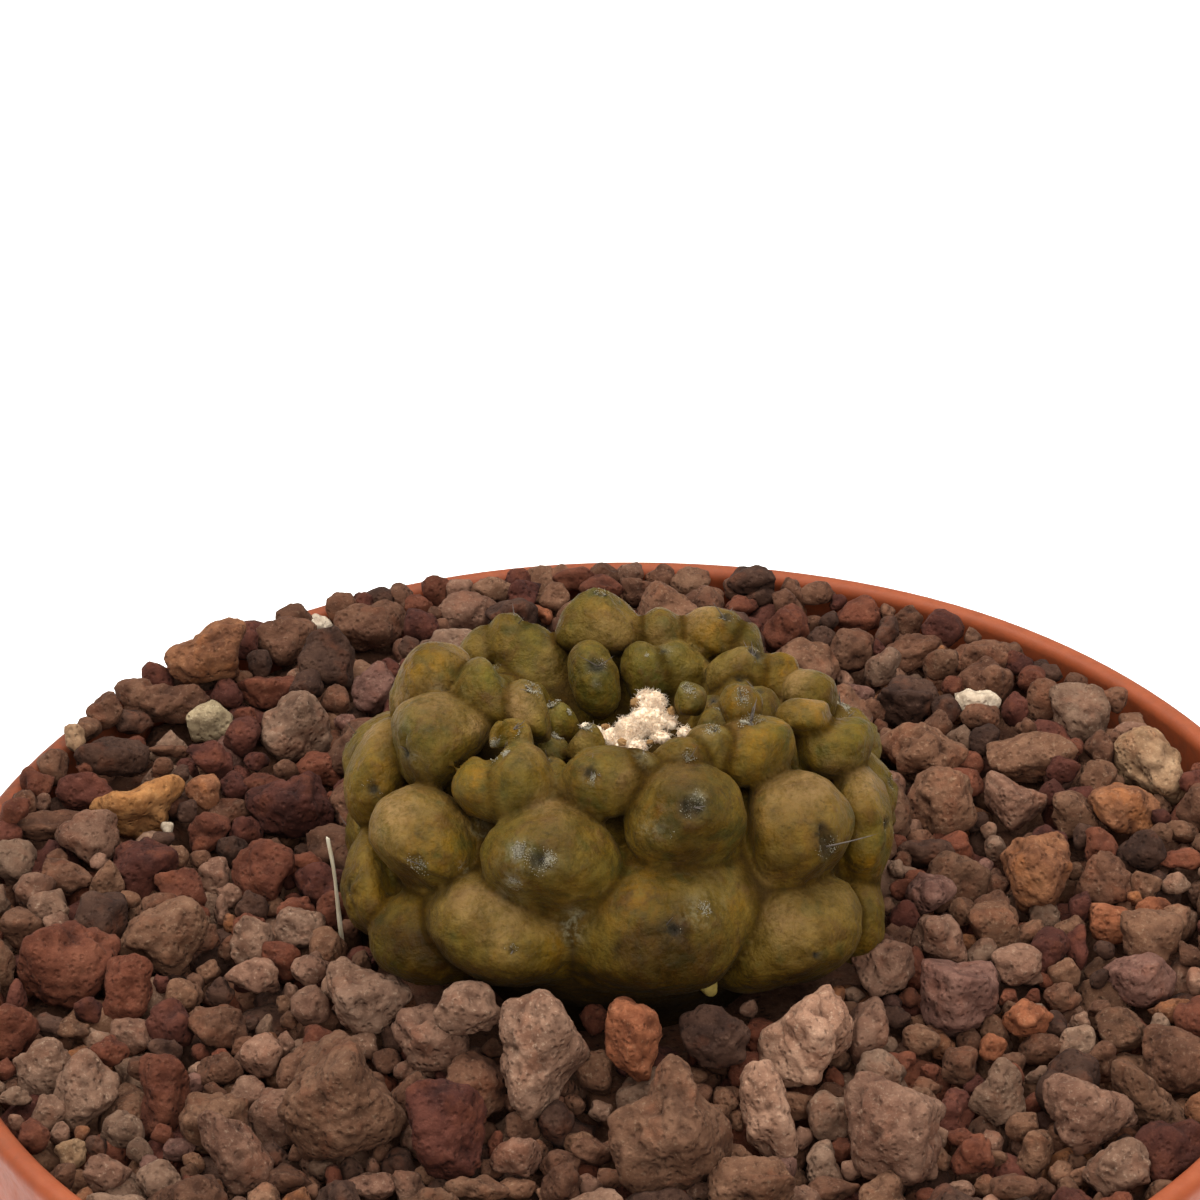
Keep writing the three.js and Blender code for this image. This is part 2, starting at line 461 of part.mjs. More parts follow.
function gravelBed() {
  const pts = [];
  const ringsCount = Math.round(31 / BED_SPACING);
  const top = [];
  for (let k = 0; k <= ringsCount; k++) {
    const n = k === 0 ? 1 : (k === ringsCount ? POT_SEGMENTS : Math.max(6, Math.round((Math.PI * 2 * 31 * k / ringsCount) / BED_SPACING)));
    const ring = [];
    for (let i = 0; i < n; i++) {
      const a = ((i + (k % 2 && k !== ringsCount ? 0.5 : 0)) / n) * Math.PI * 2;
      const rimR = bedInside(POT_HEIGHT - 3) * (k === ringsCount ? 1 : 1);
      const r = rimR * k / ringsCount;
      const x = r * Math.cos(a), y = r * Math.sin(a);
      ring.push({ a, id: pts.length });
      pts.push([x, y, k === ringsCount ? POT_HEIGHT + Math.min(Math.max(bedLevel(x, y) - 0.9, -3.6), -1.2) : Math.min(bedTop(x, y), POT_HEIGHT + 2.4)]);
    }
    top.push(ring);
  }
  const tri = [];
  for (let k = 0; k < ringsCount; k++) {   // stitch neighbouring rings by angle
    const A = top[k], B = top[k + 1];
    if (A.length === 1) {
      for (let j = 0; j < B.length; j++) tri.push(A[0].id, B[j].id, B[(j + 1) % B.length].id);
      continue;
    }
    let i = 0, j = 0;
    while (i < A.length || j < B.length) {
      const ai = A[i % A.length].a + (i >= A.length ? Math.PI * 2 : 0), bj = B[j % B.length].a + (j >= B.length ? Math.PI * 2 : 0);
      const an = A[(i + 1) % A.length].a + (i + 1 >= A.length ? Math.PI * 2 : 0), bn = B[(j + 1) % B.length].a + (j + 1 >= B.length ? Math.PI * 2 : 0);
      if (j < B.length && (i >= A.length || bn <= an)) { tri.push(A[i % A.length].id, B[j % B.length].id, B[(j + 1) % B.length].id); j++; }
      else { tri.push(A[i % A.length].id, B[j % B.length].id, A[(i + 1) % A.length].id); i++; }
    }
  }
  let above = top[ringsCount].map((v) => v.id);
  for (const z of [STEP_Z + 1.1, STEP_Z - 1.1, FOOT_DEPTH + FLOOR_THICKNESS + GAP + 1.0]) {
    const below = [];
    for (let i = 0; i < POT_SEGMENTS; i++) {
      const a = (i / POT_SEGMENTS) * Math.PI * 2, r = bedInside(z);
      below.push(pts.length);
      pts.push([r * Math.cos(a), r * Math.sin(a), z]);
    }
    for (let i = 0; i < POT_SEGMENTS; i++) {
      const j = (i + 1) % POT_SEGMENTS;
      tri.push(above[i], below[i], below[j], above[i], below[j], above[j]);
    }
    above = below;
  }
  const foot = [];
  for (let i = 0; i < POT_SEGMENTS; i++) {
    const a = (i / POT_SEGMENTS) * Math.PI * 2, r = BASE_RADIUS - WALL - 0.7 - GAP;
    foot.push(pts.length);
    pts.push([r * Math.cos(a), r * Math.sin(a), FOOT_DEPTH + FLOOR_THICKNESS + GAP]);
  }
  const middle = pts.length;
  pts.push([0, 0, FOOT_DEPTH + FLOOR_THICKNESS + GAP]);
  for (let i = 0; i < POT_SEGMENTS; i++) {
    const j = (i + 1) % POT_SEGMENTS;
    tri.push(above[i], foot[i], foot[j], above[i], foot[j], above[j], foot[i], middle, foot[j]);
  }
  const g = new THREE.BufferGeometry();
  g.setAttribute('position', new THREE.BufferAttribute(new Float32Array(pts.flat()), 3));
  g.setIndex(tri);
  return solid(outward(g));
}
// a thin dry straw standing in the gravel beside the plant
const strawPath = new THREE.CatmullRomCurve3([
  new THREE.Vector3(-13.30, -0.60, POT_HEIGHT - 1.2), new THREE.Vector3(-13.40, -0.5, POT_HEIGHT + 0.9),
  new THREE.Vector3(-13.50, -0.4, POT_HEIGHT + 2.8), new THREE.Vector3(-13.70, -0.35, POT_HEIGHT + 4.6),
]);
function strawSolid(width, thickness, path) {
  const section = new THREE.Shape();
  for (let i = 0; i < 6; i++) {
    const a = (i / 6) * Math.PI * 2, x = width * Math.cos(a), y = thickness * Math.sin(a);
    if (i === 0) section.moveTo(x, y); else section.lineTo(x, y);
  }
  section.closePath();
  return solid(outward(new THREE.ExtrudeGeometry(section, { steps: 6, bevelEnabled: false, extrudePath: path })));
}
const strawRoomPath = new THREE.CatmullRomCurve3([new THREE.Vector3(-13.25, -0.63, POT_HEIGHT - 1.6), ...strawPath.points]);

const plantHole = plantBody(0.75, 6).add(taproot(GAP + 0.2, 14));
let bed = gravelBed().subtract(plantHole).subtract(strawSolid(0.16 + GAP, 0.13 + GAP, strawRoomPath));
for (const s of stones) {
  if (bed.intersect(s.body).volume() > 1e-6) bed = bed.subtract(s.room);
}
add('gravel_bed', geometryOf(largest(bed)), material([0.36, 0.25, 0.20], 0.95));

let whites = 0;
stones.forEach((s, i) => {
  const kind = s.row[5];
  const name = kind === 'white' ? `perlite_grain_${++whites}` : `lava_stone_${String(i + 1).padStart(2, '0')}`;
  add(name, geometryOf(s.body), material(KINDS[kind], 0.95));
});

// ----------------------------------------------------------- wool and straw
// the tuft of wool in the hollow of the crown
const wool = new THREE.IcosahedronGeometry(1, 1);
wool.scale(1.7, 2.2, 1.1);
wool.translate(0.95, 0.9, POT_HEIGHT + 9.4);
add('crown_wool', geometryOf(largest(solid(wool).subtract(plantRoom))), material([0.86, 0.80, 0.70], 0.95));

add('dry_straw', geometryOf(strawSolid(0.16, 0.13, strawPath)), material([0.85, 0.80, 0.66], 0.8));

export default group;
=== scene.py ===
# A small cactus, Copiapoa hypogaea, in a round plastic nursery pot of lava gravel.
import bpy
import math
import numpy as np
from mathutils import Matrix, Vector


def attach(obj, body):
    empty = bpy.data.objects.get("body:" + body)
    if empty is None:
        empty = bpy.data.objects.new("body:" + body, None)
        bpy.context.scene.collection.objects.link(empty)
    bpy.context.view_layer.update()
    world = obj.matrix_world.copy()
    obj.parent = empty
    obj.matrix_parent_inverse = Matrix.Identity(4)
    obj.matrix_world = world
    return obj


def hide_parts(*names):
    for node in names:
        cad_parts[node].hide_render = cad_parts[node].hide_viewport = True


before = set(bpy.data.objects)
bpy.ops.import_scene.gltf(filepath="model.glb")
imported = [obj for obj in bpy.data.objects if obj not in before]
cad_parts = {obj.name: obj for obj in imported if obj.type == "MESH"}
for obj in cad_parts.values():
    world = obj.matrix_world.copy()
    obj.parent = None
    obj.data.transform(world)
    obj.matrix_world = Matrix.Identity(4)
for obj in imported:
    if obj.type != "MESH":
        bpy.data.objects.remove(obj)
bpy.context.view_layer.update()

MM = 0.001
H = 56.0                       # rim height above the base, mm
PLANT_X, PLANT_Y = -0.3, 1.8   # the plant's axis, mm
F = np.float64


# ---------------------------------------------------------------- the camera
# The rim's ellipse gives the viewing angle: 34.6 degrees above the rim plane.
RIM_R = 32.5
CAM_DIST = 7.0 * RIM_R
EL = math.radians(34.61)
PITCH, YAW, ROLL = math.radians(30.95), math.radians(-0.25), math.radians(-1.35)
FOCAL = 4853.0                 # pixels in a 1200-pixel frame
CAM = np.array([0.0, -CAM_DIST * math.cos(EL), H + CAM_DIST * math.sin(EL)])
FWD = np.array([math.sin(YAW) * math.cos(PITCH), math.cos(YAW) * math.cos(PITCH), -math.sin(PITCH)])
_rt = np.array([math.cos(YAW), -math.sin(YAW), 0.0])
_up = np.cross(_rt, FWD)
RIGHT = math.cos(ROLL) * _rt + math.sin(ROLL) * _up
UP = -math.sin(ROLL) * _rt + math.cos(ROLL) * _up

cam_data = bpy.data.cameras.new("camera")
cam_data.sensor_width = 36.0
cam_data.sensor_fit = "HORIZONTAL"
cam_data.lens = 36.0 * FOCAL / 1200.0
cam_data.clip_start = 0.005
cam_data.clip_end = 20.0
cam = bpy.data.objects.new("camera", cam_data)
bpy.context.scene.collection.objects.link(cam)
m = Matrix.Identity(4)
for r in range(3):
    m[r][0], m[r][1], m[r][2], m[r][3] = RIGHT[r], UP[r], -FWD[r], CAM[r] * MM
cam.matrix_world = m
bpy.context.scene.camera = cam


def screen(P):
    """Where points (mm) fall in the 1200-pixel frame, and how many pixels a millimetre is there."""
    d = np.atleast_2d(P) - CAM
    z = d @ FWD
    return 600 + FOCAL * (d @ RIGHT) / z, 600 - FOCAL * (d @ UP) / z, FOCAL / z, z


# ------------------------------------------------------------ light and floor
scene = bpy.context.scene
scene.view_settings.view_transform = "Standard"
scene.view_settings.look = "None"
scene.view_settings.exposure = 0.0
scene.view_settings.gamma = 1.0
world = bpy.data.worlds.new("studio")
scene.world = world
world.use_nodes = True
wt = world.node_tree
bg = wt.nodes["Background"]
bg.inputs[1].default_value = 0.62
wc = wt.nodes.new("ShaderNodeTexCoord")
ws = wt.nodes.new("ShaderNodeSeparateXYZ")
wr = wt.nodes.new("ShaderNodeValToRGB")
wt.links.new(wc.outputs["Generated"], ws.inputs[0])
wt.links.new(ws.outputs["Z"], wr.inputs["Fac"])
wt.links.new(wr.outputs["Color"], bg.inputs[0])
wr.color_ramp.elements[0].position, wr.color_ramp.elements[0].color = 0.0, (0.46, 0.455, 0.45, 1)
wr.color_ramp.elements[1].position, wr.color_ramp.elements[1].color = 0.85, (1.0, 0.99, 0.975, 1)


def area(name, place, aim, size, power, colour):
    d = bpy.data.lights.new(name, "AREA")
    d.shape = "RECTANGLE"
    d.size, d.size_y = size
    d.energy = power
    d.color = colour
    o = bpy.data.objects.new(name, d)
    scene.collection.objects.link(o)
    o.location = Vector(place)
    o.rotation_euler = (Vector(aim) - Vector(place)).to_track_quat("-Z", "Y").to_euler()
    return o


area("key", (-0.24, 0.12, 0.62), (0, 0, 0.055), (0.36, 0.36), 2.75, (1.0, 0.965, 0.92))
area("top", (0.18, 0.16, 0.60), (0, 0, 0.055), (0.40, 0.34), 1.45, (1.0, 0.98, 0.955))
area("fill", (0.10, -0.46, 0.46), (0, 0, 0.055), (0.5, 0.4), 2.2, (1.0, 0.97, 0.94))


# --------------------------------------------------------------- small tools
def mesh_object(name, verts_mm, faces, smooth=True, attrs=None):
    """A mesh object from arrays: vertices in mm, faces all triangles or all quads."""
    faces = np.asarray(faces, dtype=np.int32)
    n, k = faces.shape
    me = bpy.data.meshes.new(name)
    me.vertices.add(len(verts_mm))
    me.vertices.foreach_set("co", (np.asarray(verts_mm, dtype=np.float64) * MM).astype(np.float32).ravel())
    me.loops.add(n * k)
    me.loops.foreach_set("vertex_index", faces.ravel())
    me.polygons.add(n)
    me.polygons.foreach_set("loop_start", np.arange(0, n * k, k, dtype=np.int32))
    me.polygons.foreach_set("loop_total", np.full(n, k, dtype=np.int32))
    me.polygons.foreach_set("use_smooth", np.full(n, smooth, dtype=bool))
    me.update(calc_edges=True)
    for key, values in (attrs or {}).items():
        values = np.asarray(values, dtype=np.float32)
        if values.ndim == 1:
            a = me.attributes.new(key, "FLOAT", "POINT")
            a.data.foreach_set("value", values)
        else:
            a = me.attributes.new(key, "FLOAT_COLOR", "POINT")
            c = np.ones((len(values), 4), dtype=np.float32)
            c[:, :3] = values
            a.data.foreach_set("color", c.ravel())
    me.validate()
    o = bpy.data.objects.new(name, me)
    scene.collection.objects.link(o)
    return o


def lattice(ix, iy, iz, seed):
    """A repeatable number from 0 to 1 for each whole-number point."""
    n = (ix.astype(np.int64) * 73856093) ^ (iy.astype(np.int64) * 19349663) ^ (iz.astype(np.int64) * 83492791) ^ (seed * 2654435761)
    n = n & 0xFFFFFFFF
    n = ((n ^ (n >> 15)) * 2246822519) & 0xFFFFFFFF
    n = ((n ^ (n >> 13)) * 3266489917) & 0xFFFFFFFF
    n = n ^ (n >> 16)
    return (n & 0xFFFFFF) / float(0x1000000)


def noise(P, scale, seed=0):
    """Smooth value noise, -1 to 1; scale is the size of its lumps in mm."""
    Q = P / scale + 1000.0
    i = np.floor(Q).astype(np.int64)
    f = Q - i
    f = f * f * f * (f * (f * 6 - 15) + 10)
    out = 0.0
    for dx in (0, 1):
        wx = f[:, 0] if dx else 1 - f[:, 0]
        for dy in (0, 1):
            wy = f[:, 1] if dy else 1 - f[:, 1]
            for dz in (0, 1):
                wz = f[:, 2] if dz else 1 - f[:, 2]
                out = out + wx * wy * wz * lattice(i[:, 0] + dx, i[:, 1] + dy, i[:, 2] + dz, seed)
    return out * 2 - 1


def fbm(P, scale, octaves=3, seed=0, gain=0.5):
    out, amp, tot = 0.0, 1.0, 0.0
    for o in range(octaves):
        out = out + amp * noise(P, scale / 2 ** o, seed + 17 * o)
        tot += amp
        amp *= gain
    return out / tot


def cells(P, scale, seed=0):
    """Distance to the nearest and second nearest of scattered points, in cell sizes."""
    Q = P / scale + 1000.0
    i = np.floor(Q).astype(np.int64)
    f1 = np.full(len(P), 9.0)
    f2 = np.full(len(P), 9.0)
    for dx in (-1, 0, 1):
        for dy in (-1, 0, 1):
            for dz in (-1, 0, 1):
                jx, jy, jz = i[:, 0] + dx, i[:, 1] + dy, i[:, 2] + dz
                px = jx + lattice(jx, jy, jz, seed + 1)
                py = jy + lattice(jx, jy, jz, seed + 2)
                pz = jz + lattice(jx, jy, jz, seed + 3)
                d = np.sqrt((Q[:, 0] - px) ** 2 + (Q[:, 1] - py) ** 2 + (Q[:, 2] - pz) ** 2)
                m1 = d < f1
                f2 = np.where(m1, f1, np.minimum(f2, d))
                f1 = np.where(m1, d, f1)
    return f1, f2


def revolve(profile, segments, wobble=None):
    """A closed body of revolution from (radius, height) in mm; the first and last point are on the axis."""
    verts, faces = [], []
    rings = []
    for k, (r, z) in enumerate(profile):
        if r < 1e-6:
            rings.append([len(verts)])
            verts.append((0.0, 0.0, z))
        else:
            ring = []
            for s in range(segments):
                a = 2 * math.pi * s / segments
                ring.append(len(verts))
                verts.append((r * math.cos(a), r * math.sin(a), z))
            rings.append(ring)
    for A, B in zip(rings, rings[1:]):
        for s in range(segments):
            t = (s + 1) % segments
            if len(A) == 1:
                faces.append((A[0], B[t], B[s]))
            elif len(B) == 1:
                faces.append((A[s], A[t], B[0]))
            else:
                faces.append((A[s], A[t], B[t]))
                faces.append((A[s], B[t], B[s]))
    V = np.array(verts, dtype=F)
    if wobble is not None:
        V = wobble(V)
    return V, np.array(faces)


# ----------------------------------------------------------------- materials
class Mat:
    """A node material, written from the shader back."""

    def __init__(self, name, roughness=0.6, **sockets):
        self.mat = bpy.data.materials.new(name)
        self.mat.use_nodes = True
        self.t = self.mat.node_tree
        self.b = self.t.nodes["Principled BSDF"]
        self.b.inputs["Roughness"].default_value = roughness
        for k, v in sockets.items():
            self.b.inputs[k.replace("_", " ")].default_value = v

    def node(self, kind, **inputs):
        n = self.t.nodes.new(kind)
        for k, v in inputs.items():
            key = int(k[1:]) if k[0] == "i" and k[1:].isdigit() else k.replace("_", " ")
            if isinstance(v, bpy.types.NodeSocket):
                self.t.links.new(v, n.inputs[key])
            else:
                n.inputs[key].default_value = v
        return n

    def link(self, a, b):
        self.t.links.new(a, b)

    def coords(self):
        return self.t.nodes.new("ShaderNodeTexCoord").outputs["Object"]

    def attr(self, name, colour=False):
        n = self.t.nodes.new("ShaderNodeAttribute")
        n.attribute_name = name
        return n.outputs["Color" if colour else "Fac"]

    def noise(self, mm, detail=3.0, rough=0.55, vec=None, distortion=0.0):
        n = self.node("ShaderNodeTexNoise", Scale=1000.0 / mm, Detail=detail, Roughness=rough, Distortion=distortion)
        self.link(vec or self.coords(), n.inputs["Vector"])
        return n.outputs["Fac"]

    def voronoi(self, mm, vec=None, feature="F1", randomness=1.0):
        n = self.t.nodes.new("ShaderNodeTexVoronoi")
        n.feature = feature
        n.inputs["Scale"].default_value = 1000.0 / mm
        n.inputs["Randomness"].default_value = randomness
        self.link(vec or self.coords(), n.inputs["Vector"])
        return n.outputs["Distance"]

    def ramp(self, fac, stops):
        n = self.t.nodes.new("ShaderNodeValToRGB")
        e = n.color_ramp.elements
        while len(e) < len(stops):
            e.new(0.5)
        for el, (p, c) in zip(e, stops):
            el.position = p
            el.color = (c, c, c, 1) if isinstance(c, (int, float)) else (*c, 1)
        self.link(fac, n.inputs["Fac"])
        return n.outputs["Color"]

    def mix(self, fac, a, b, blend="MIX"):
        n = self.t.nodes.new("ShaderNodeMix")
        n.data_type = "RGBA"
        n.blend_type = blend
        for v, key in ((fac, 0), (a, 6), (b, 7)):
            s = n.inputs[key]
            if isinstance(v, bpy.types.NodeSocket):
                self.link(v, s)
            elif isinstance(v, (int, float)):
                s.default_value = v if key == 0 else (v, v, v, 1)
            else:
                s.default_value = (*v, 1)
        return n.outputs[2]

    def math(self, op, a, b=0.0, c=0.0, clamp=False):
        n = self.t.nodes.new("ShaderNodeMath")
        n.operation = op
        n.use_clamp = clamp
        for v, s in zip((a, b, c), n.inputs):
            if isinstance(v, bpy.types.NodeSocket):
                self.link(v, s)
            else:
                s.default_value = v
        return n.outputs[0]

    def maprange(self, v, lo, hi, a=0.0, b=1.0, smooth=False):
        n = self.t.nodes.new("ShaderNodeMapRange")
        if smooth:
            n.interpolation_type = "SMOOTHSTEP"
        self.link(v, n.inputs["Value"])
        for k, x in (("From Min", lo), ("From Max", hi), ("To Min", a), ("To Max", b)):
            n.inputs[k].default_value = x
        return n.outputs["Result"]

    def bump(self, height, mm, strength=1.0, normal=None):
        n = self.t.nodes.new("ShaderNodeBump")
        n.inputs["Distance"].default_value = mm * MM
        n.inputs["Strength"].default_value = strength
        self.link(height, n.inputs["Height"])
        if normal is not None:
            self.link(normal, n.inputs["Normal"])
        return n.outputs["Normal"]

    def done(self, colour=None, roughness=None, normal=None):
        if colour is not None:
            self.link(colour, self.b.inputs["Base Color"])
        if roughness is not None:
            self.link(roughness, self.b.inputs["Roughness"])
        if normal is not None:
            self.link(normal, self.b.inputs["Normal"])
        return self.mat


def floor_material():
    m = Mat("floor_paint", 0.85)
    n = m.noise(180.0, 2.0)
    c = m.ramp(n, [(0.3, (0.93, 0.93, 0.925)), (0.7, (0.955, 0.955, 0.95))])
    m.b.inputs["Emission Color"].default_value = (1, 1, 1, 1)
    m.b.inputs["Emission Strength"].default_value = 0.62
    return m.done(c)


def pot_material():
    m = Mat("terracotta_plastic", 0.55, Specular_IOR_Level=0.16)
    co = m.coords()
    mott = m.noise(5.0, 3.0, 0.6, co)
    fine = m.noise(0.9, 4.0, 0.6, co)
    base = m.ramp(mott, [(0.30, (0.300, 0.059, 0.018)), (0.52, (0.322, 0.066, 0.020)), (0.75, (0.345, 0.074, 0.023))])
    # soil dust and splashes on the inside of the wall, and painted shade: the wall darker down inside and the rim
    # darker at the left and back
    dust_and_shade = m.attr("dust_and_shade")
    speck = m.ramp(m.noise(0.55, 3.0, 0.7, co), [(0.42, 0.0), (0.62, 1.0)])
    dust_and_shade_amount = m.math("MULTIPLY", dust_and_shade, m.maprange(speck, 0, 1, 0.55, 0.95))
    base = m.mix(dust_and_shade_amount, base, (0.105, 0.042, 0.024))
    # paler top edge of the lip: a painted highlight, left off where the rim is painted darker
    base = m.mix(m.math("MULTIPLY", m.attr("lip"), m.maprange(fine, 0.3, 0.7, 0.15, 0.55)), base, (0.47, 0.150, 0.070))
    rough = m.maprange(fine, 0.3, 0.7, 0.42, 0.58)
    bump = m.bump(m.noise(0.28, 3.0, 0.6, co), 0.03, 0.5)
    bump = m.bump(m.noise(3.5, 2.0, 0.5, co), 0.12, 0.35, bump)
    return m.done(base, rough, bump)


def stone_material(name, dark, base, light, speck=(0.55, 0.42, 0.36), speckle=0.35, roughness=0.93, rusty=(0.30, 0.10, 0.05), rust=0.25):
    """Lava: a grainy crust, lighter mineral specks, rusty stains, and painted shade in its pores and hollows."""
    dark, base, light, speck, rusty = (tuple(x * w for x, w in zip(q, (0.76, 0.67, 0.54))) for q in (dark, base, light, speck, rusty))
    m = Mat(name, roughness, Specular_IOR_Level=0.25)
    co = m.coords()
    tint = m.attr("tint")         # one number a stone
    hollow = m.attr("hollow")     # 1 in pores and creases, where the colour is darkened as painted shade
    off = m.node("ShaderNodeVectorMath", i0=co)
    off.operation = "ADD"
    comb = m.node("ShaderNodeCombineXYZ")
    m.link(m.math("MULTIPLY", tint, 0.37), comb.inputs[0])
    m.link(m.math("MULTIPLY", tint, 0.21), comb.inputs[1])
    m.link(comb.outputs[0], off.inputs[1])
    v = off.outputs[0]
    big = m.noise(2.6, 3.0, 0.6, v)
    med = m.noise(0.75, 4.0, 0.65, v)
    fine = m.noise(0.22, 3.0, 0.7, v)
    c = m.ramp(big, [(0.30, dark), (0.50, base), (0.70, light)])
    c = m.mix(m.math("MULTIPLY", m.maprange(m.noise(1.7, 3.0, 0.6, v), 0.52, 0.68, 0, 1, True), rust), c, rusty)
    c = m.mix(m.maprange(med, 0.34, 0.66, 0.0, 0.85), c, m.mix(1.0, c, (0.56, 0.50, 0.48), "MULTIPLY"))
    c = m.mix(m.maprange(m.noise(0.45, 3.0, 0.7, v), 0.55, 0.72, 0.0, 0.45, True), c, light)
    grains = m.math("MULTIPLY", m.maprange(fine, 0.55, 0.72, 0, 1, True), speckle)
    c = m.mix(grains, c, speck)
    # brightness from stone to stone, with painted light on the stones at the right and painted shade on those at the
    # front left
    c = m.mix(1.0, c, m.ramp(tint, [(0.0, (0.74, 0.72, 0.70)), (0.5, (1.0, 1.0, 1.0)), (1.0, (1.28, 1.27, 1.26))]), "MULTIPLY")
    # painted shade: darker in the pores and creases
    c = m.mix(m.math("MULTIPLY", hollow, 0.65), c, m.mix(1.0, c, (0.30, 0.26, 0.25), "MULTIPLY"))
    pores = m.voronoi(0.36, v)
    h = m.math("ADD", m.math("MULTIPLY", med, 0.6), m.math("MULTIPLY", m.maprange(pores, 0.0, 0.45, 0.0, 1.0, True), 0.45))
    h = m.math("ADD", h, m.math("MULTIPLY", fine, 0.30))
    b = m.bump(h, 0.22, 1.0)
    return m.done(c, None, b)


def skin_material():
    m = Mat("cactus_skin", 0.58, Specular_IOR_Level=0.12)
    m.b.inputs["Sheen Weight"].default_value = 0.02
    m.b.inputs["Sheen Roughness"].default_value = 0.35
    m.b.inputs["Sheen Tint"].default_value = (1.0, 0.86, 0.62, 1.0)
    m.b.inputs["Subsurface Weight"].default_value = 0.05
    m.b.inputs["Subsurface Radius"].default_value = (0.6, 0.35, 0.12)
    m.b.inputs["Subsurface Scale"].default_value = 0.0008
    co = m.coords()
    green = m.attr("green")      # 1 where the skin is fresh green
    bloom_and_highlight = m.attr("bloom_and_highlight")      # 1 on the upper edges: pale corky bloom with a painted highlight
    crease = m.attr("crease")    # 1 down between tubercles: painted shade and dirt
    shade = m.attr("shade")      # the wider band of dust and shade along a crease
    low_shade = m.attr("low_shade")          # painted shade: 1 towards the gravel and on undersides
    warm = m.attr("warm")        # 1 where it turns yellow and orange, in places a painted highlight
    wax_and_sheen = m.attr("wax_and_sheen")          # 1 on the mealy patch round an areole, and on patches of painted sheen
    areole_and_pit_shade = m.attr("areole_and_pit_shade")        # 1 on the areole itself: dark areole with painted shade in its pit
    big = m.noise(2.2, 3.0, 0.62, co)
    med = m.noise(0.85, 4.0, 0.65, co)
    fine = m.noise(0.22, 3.0, 0.7, co)
    streak = m.node("ShaderNodeMapping", Vector=co)
    streak.inputs["Scale"].default_value = (1.0, 1.0, 0.45)
    lines = m.noise(0.5, 4.0, 0.65, streak.outputs[0])
    tan = m.ramp(med, [(0.30, (0.068, 0.040, 0.005)), (0.50, (0.112, 0.069, 0.009)), (0.70, (0.172, 0.110, 0.017))])
    olive = m.ramp(med, [(0.30, (0.046, 0.038, 0.004)), (0.50, (0.078, 0.064, 0.007)), (0.70, (0.124, 0.099, 0.012))])
    g = m.math("MULTIPLY", green, m.maprange(big, 0.30, 0.70, 1.35, 0.55), clamp=True)
    c = m.mix(g, tan, olive)
    w = m.math("MULTIPLY", warm, m.maprange(lines, 0.38, 0.64, 0.10, 1.0), clamp=True)
    c = m.mix(w, c, m.ramp(big, [(0.35, (0.155, 0.086, 0.003)), (0.62, (0.225, 0.105, 0.004))]))
    fresh = m.math("MULTIPLY", m.maprange(m.noise(1.4, 2.0, 0.6, co), 0.44, 0.30, 0, 1, True), 0.55)
    c = m.mix(fresh, c, (0.046, 0.050, 0.008))
    brown = m.math("MULTIPLY", m.maprange(m.noise(1.1, 3.0, 0.6, co), 0.54, 0.70, 0, 1, True), 0.60)
    c = m.mix(brown, c, (0.086, 0.040, 0.007))
    mealy = m.math("ADD", m.math("MULTIPLY", med, 0.55), m.math("MULTIPLY", fine, 0.45))
    bl = m.math("MULTIPLY", bloom_and_highlight, m.maprange(mealy, 0.36, 0.62, 0.15, 0.95, True))
    # pale upper edges: corky bloom and a painted highlight
    c = m.mix(bl, c, (0.280, 0.168, 0.064))
    specks = m.maprange(m.noise(0.16, 2.0, 0.7, co), 0.62, 0.76, 0, 0.20, True)
    c = m.mix(specks, c, (0.26, 0.18, 0.07))
    dots = m.maprange(m.noise(0.40, 3.0, 0.7, co), 0.40, 0.28, 0, 0.45, True)
    c = m.mix(dots, c, (0.034, 0.023, 0.003))
    # painted shade towards the gravel and on undersides
    c = m.mix(low_shade, c, m.mix(1.0, c, (0.38, 0.32, 0.23), "MULTIPLY"))
    c = m.mix(m.math("MULTIPLY", shade, 0.55), c, m.mix(1.0, c, (0.42, 0.34, 0.26), "MULTIPLY"))
    # darker down between tubercles: painted shade and dirt
    c = m.mix(m.math("MULTIPLY", crease, 0.80), c, (0.030, 0.017, 0.006))
    m.link(m.maprange(crease, 0.0, 0.6, 0.12, 0.0, True), m.b.inputs["Specular IOR Level"])
    # pale mealy wax round areoles, and painted sheen
    wx = m.math("MULTIPLY", wax_and_sheen, m.maprange(mealy, 0.44, 0.60, 0.04, 0.80, True))
    c = m.mix(wx, c, (0.205, 0.180, 0.105))
    # dark areole with painted shade in its pit
    c = m.mix(m.math("MULTIPLY", areole_and_pit_shade, 0.92), c, (0.013, 0.013, 0.010))
    rough = m.maprange(med, 0.3, 0.7, 0.48, 0.66)
    b = m.bump(fine, 0.045, 0.8)
    b = m.bump(m.noise(0.55, 3.0, 0.6, co), 0.18, 0.85, b)
    b = m.bump(m.noise(1.1, 4.0, 0.6, co), 0.20, 0.7, b)
    return m.done(c, rough, b)


def wool_material(name, a, b_, tip, rough=0.95):
    m = Mat(name, rough, Specular_IOR_Level=0.1)
    m.b.inputs["Subsurface Weight"].default_value = 0.15
    m.b.inputs["Subsurface Radius"].default_value = (0.5, 0.4, 0.3)
    m.b.inputs["Subsurface Scale"].default_value = 0.0006
    co = m.coords()
    c = m.ramp(m.noise(0.7, 4.0, 0.65, co), [(0.30, a), (0.58, b_)])
    c = m.mix(m.attr("tip"), c, tip)
    return m.done(c, None, m.bump(m.noise(0.12, 3.0, 0.7, co), 0.05, 0.9, m.bump(m.noise(0.35, 3.0, 0.6, co), 0.10, 0.8)))


